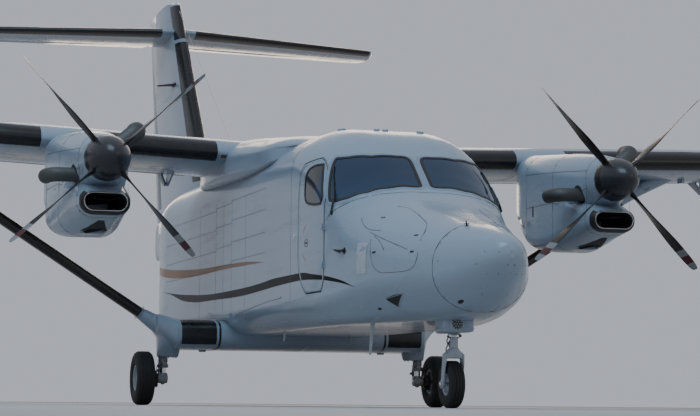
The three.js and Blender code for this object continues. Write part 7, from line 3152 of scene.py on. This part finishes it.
@dataclass
class Studio:
    """The floor, the lamps and the camera; its angles are in degrees, its lens in millimetres."""

    place: Colour = (-6.949, -26.216, 0.03)
    yaw: float = 16.862
    pitch: float = 5.329
    roll: float = 0.522
    lens: float = 108.228
    sensor: float = 36.0
    clip: float = 400.0
    floor_half: float = 150.0
    sky: Row = (0.86, 0.9, 1.0, 1)
    sky_power: float = 0.55
    # each lamp's name, place, aim, size, power in watts and colour
    lamps: tuple[tuple[str, Colour, Colour, float, float, Colour], ...] = (
        ("key", (-9, -12, 22), (0, 0, 2), 14, 2500, (0.5, 0.78, 1.0)),
        ("fill", (16, -20, 6.2), (0, -2, 2), 10, 222, (1.0, 0.84, 0.68)),
        ("back", (6, 22, 10), (0, 4, 3), 12, 1000, (1.0, 0.82, 0.62)),
    )

    def build(self) -> None:
        """Makes the floor, the lamps and the camera."""
        self.make_camera()
        self.make_floor()
        self.make_lamps()

    def make_camera(self) -> None:
        """Sets the camera where the picture was taken from, close to the ground."""
        data = bpy.data.cameras.new("camera")
        data.lens = self.lens
        data.sensor_width = self.sensor
        data.clip_end = self.clip
        yaw, pitch, roll = (math.radians(v) for v in (self.yaw, self.pitch, self.roll))
        ahead = Vector((math.sin(yaw) * math.cos(pitch), math.cos(yaw) * math.cos(pitch), math.sin(pitch)))
        right = Vector((math.cos(yaw), -math.sin(yaw), 0))
        up = right.cross(ahead)
        tilted = right * math.cos(roll) + up * math.sin(roll)
        upright = up * math.cos(roll) - right * math.sin(roll)
        camera = bpy.data.objects.new("camera", data)
        turn = Matrix((tilted, upright, -ahead)).transposed().to_4x4()
        camera.matrix_world = Matrix.Translation(self.place) @ turn
        bpy.context.scene.collection.objects.link(camera)
        bpy.context.scene.camera = camera

    def make_floor(self) -> None:
        """Makes a wide pale floor."""
        bm = bmesh.new()
        bmesh.ops.create_grid(bm, x_segments=8, y_segments=8, size=self.floor_half)
        floor = keep(bm, "floor")
        s = Shader("floor_screed", (0.45, 0.45, 0.45), 0.6)
        s.colour(s.mix(s.noise(0.6, 5), (0.43, 0.425, 0.42), (0.48, 0.475, 0.47)))
        s.bump(s.noise(40, 4), 0.001)
        floor.data.materials.append(s.material)

    def make_lamps(self) -> None:
        """Lights the aircraft from above and in front with large soft lamps."""
        world = bpy.data.worlds.new("studio")
        world.use_nodes = True
        world.node_tree.nodes["Background"].inputs[0].default_value = self.sky
        world.node_tree.nodes["Background"].inputs[1].default_value = self.sky_power
        bpy.context.scene.world = world
        for name, place, aim, size, power, colour in self.lamps:
            data = bpy.data.lights.new(name, "AREA")
            data.color = colour
            data.energy = power
            data.size = size
            lamp = bpy.data.objects.new(name, data)
            lamp.location = place
            lamp.rotation_euler = (Vector(aim) - Vector(place)).to_track_quat("-Z", "Y").to_euler()
            bpy.context.scene.collection.objects.link(lamp)


def main() -> None:
    """Builds the aircraft's sub-assemblies in order and reports the pieces."""
    Studio().build()
    inside = Enamel("primer", (0.36, 0.37, 0.34), 0.6).made()
    white = Lacquer("white_lacquer").made()
    livery = Livery("livery").made()
    radome = Lacquer("radome_lacquer").made()
    seal = Rubber("seal_rubber", (0.012, 0.012, 0.014), 0.45).made()
    black = Rubber("boot_rubber", (0.0085, 0.0085, 0.0105), 0.3).made()
    # near black that paints the shade inside the nacelle, the intake, the engine's core, the cowl's openings
    # and the flush inlets
    painted_shade = Enamel("painted_shade", (0.02, 0.019, 0.018), 0.7).made()
    steel = Metal("exhaust_steel_heated", (0.15, 0.152, 0.152), 0.6).made()
    polished = Metal("polished_lip", (0.72, 0.72, 0.72), 0.16).made()
    glass = PaneGlass("pane_glass").made()
    blades = BladePaint("blade_paint").made()
    spinner = Enamel("spinner_paint", (0.026, 0.027, 0.032), 0.26).made()
    tyre = Rubber("tyre_rubber", (0.014, 0.014, 0.014), 0.75).made()
    cast = Enamel("cast_hub", (0.36, 0.4, 0.45), 0.36).made()
    sealant = Enamel("grey_sealant", (0.09, 0.1, 0.11), 0.6).made()
    # a darker blue copy of the white lacquer: painted shade and dark reflection on the raised frames, ridges
    # and rivet heads
    frame = Lacquer("frame_lacquer", (0.23, 0.3, 0.38)).made()
    chrome = Metal("lamp_chrome", (0.85, 0.84, 0.8), 0.12).made()
    band = Rubber("intake_band", (0.024, 0.021, 0.022), 0.5).made()
    grey = Enamel("gear_grey", (0.36, 0.4, 0.45), 0.42).made()
    gear = Enamel("gear_white", (0.22, 0.225, 0.235), 0.36).made()
    piston = Metal("piston_chrome", (0.7, 0.7, 0.7), 0.14, (1, 1, 6), 90).made()
    pale = Enamel("pale_plate", (0.42, 0.46, 0.49), 0.45).made()
    red = Enamel("light_red", (0.028, 0.005, 0.007), 0.3).made()
    pearl = Enamel("lens_cells", (0.3, 0.33, 0.34), 0.12).made()
    trim = Enamel("cockpit_grey", (0.07, 0.075, 0.085), 0.7).made()
    # the sleeve's black is tinted brown to paint in the warm light that falls on it
    sleeve = Rubber("strut_sleeve", (0.016, 0.0115, 0.0105), 0.24).made()
    Fuselage(livery, inside, radome, seal, sealant, frame, chrome).build()
    Glazing(glass, seal, white, frame).build()
    Wing(white, black, seal).build()
    Tail(white, black).build()
    for side in Side:
        Nacelle(white, polished, steel, painted_shade, band, sealant, side).build()
        Propeller(blades, spinner, side).build()
        axle = at(side.value * 1.89, 7.45, 0.326)
        name = f"main_wheel_{side.word}"
        Wheel(tyre, cast, name, side.value, axle, radius=0.326, width=0.22, rim=0.15, hub_width=0.17).build()
    axle = at(0, 1.56, 0.232)
    Wheel(
        tyre, cast, "nose_wheel", 0, axle, radius=0.232, width=0.15, rim=0.104, hub_width=0.118, grooves=3
    ).build()
    for side in Side:
        Strut(white, sleeve, red, side).build()
        MainLeg(gear, piston, band, side).build()
    GearBeam(white, black, grey).build()
    NoseGear(white, grey, piston, seal, pearl).build()
    Fittings(white, painted_shade, seal, chrome, red, pale).build()
    recast("cockpit_fittings", "airframe", Slot.TRIM, trim)


if __name__ == "__main__":
    logging.basicConfig(level=logging.INFO, format="%(message)s")
    main()
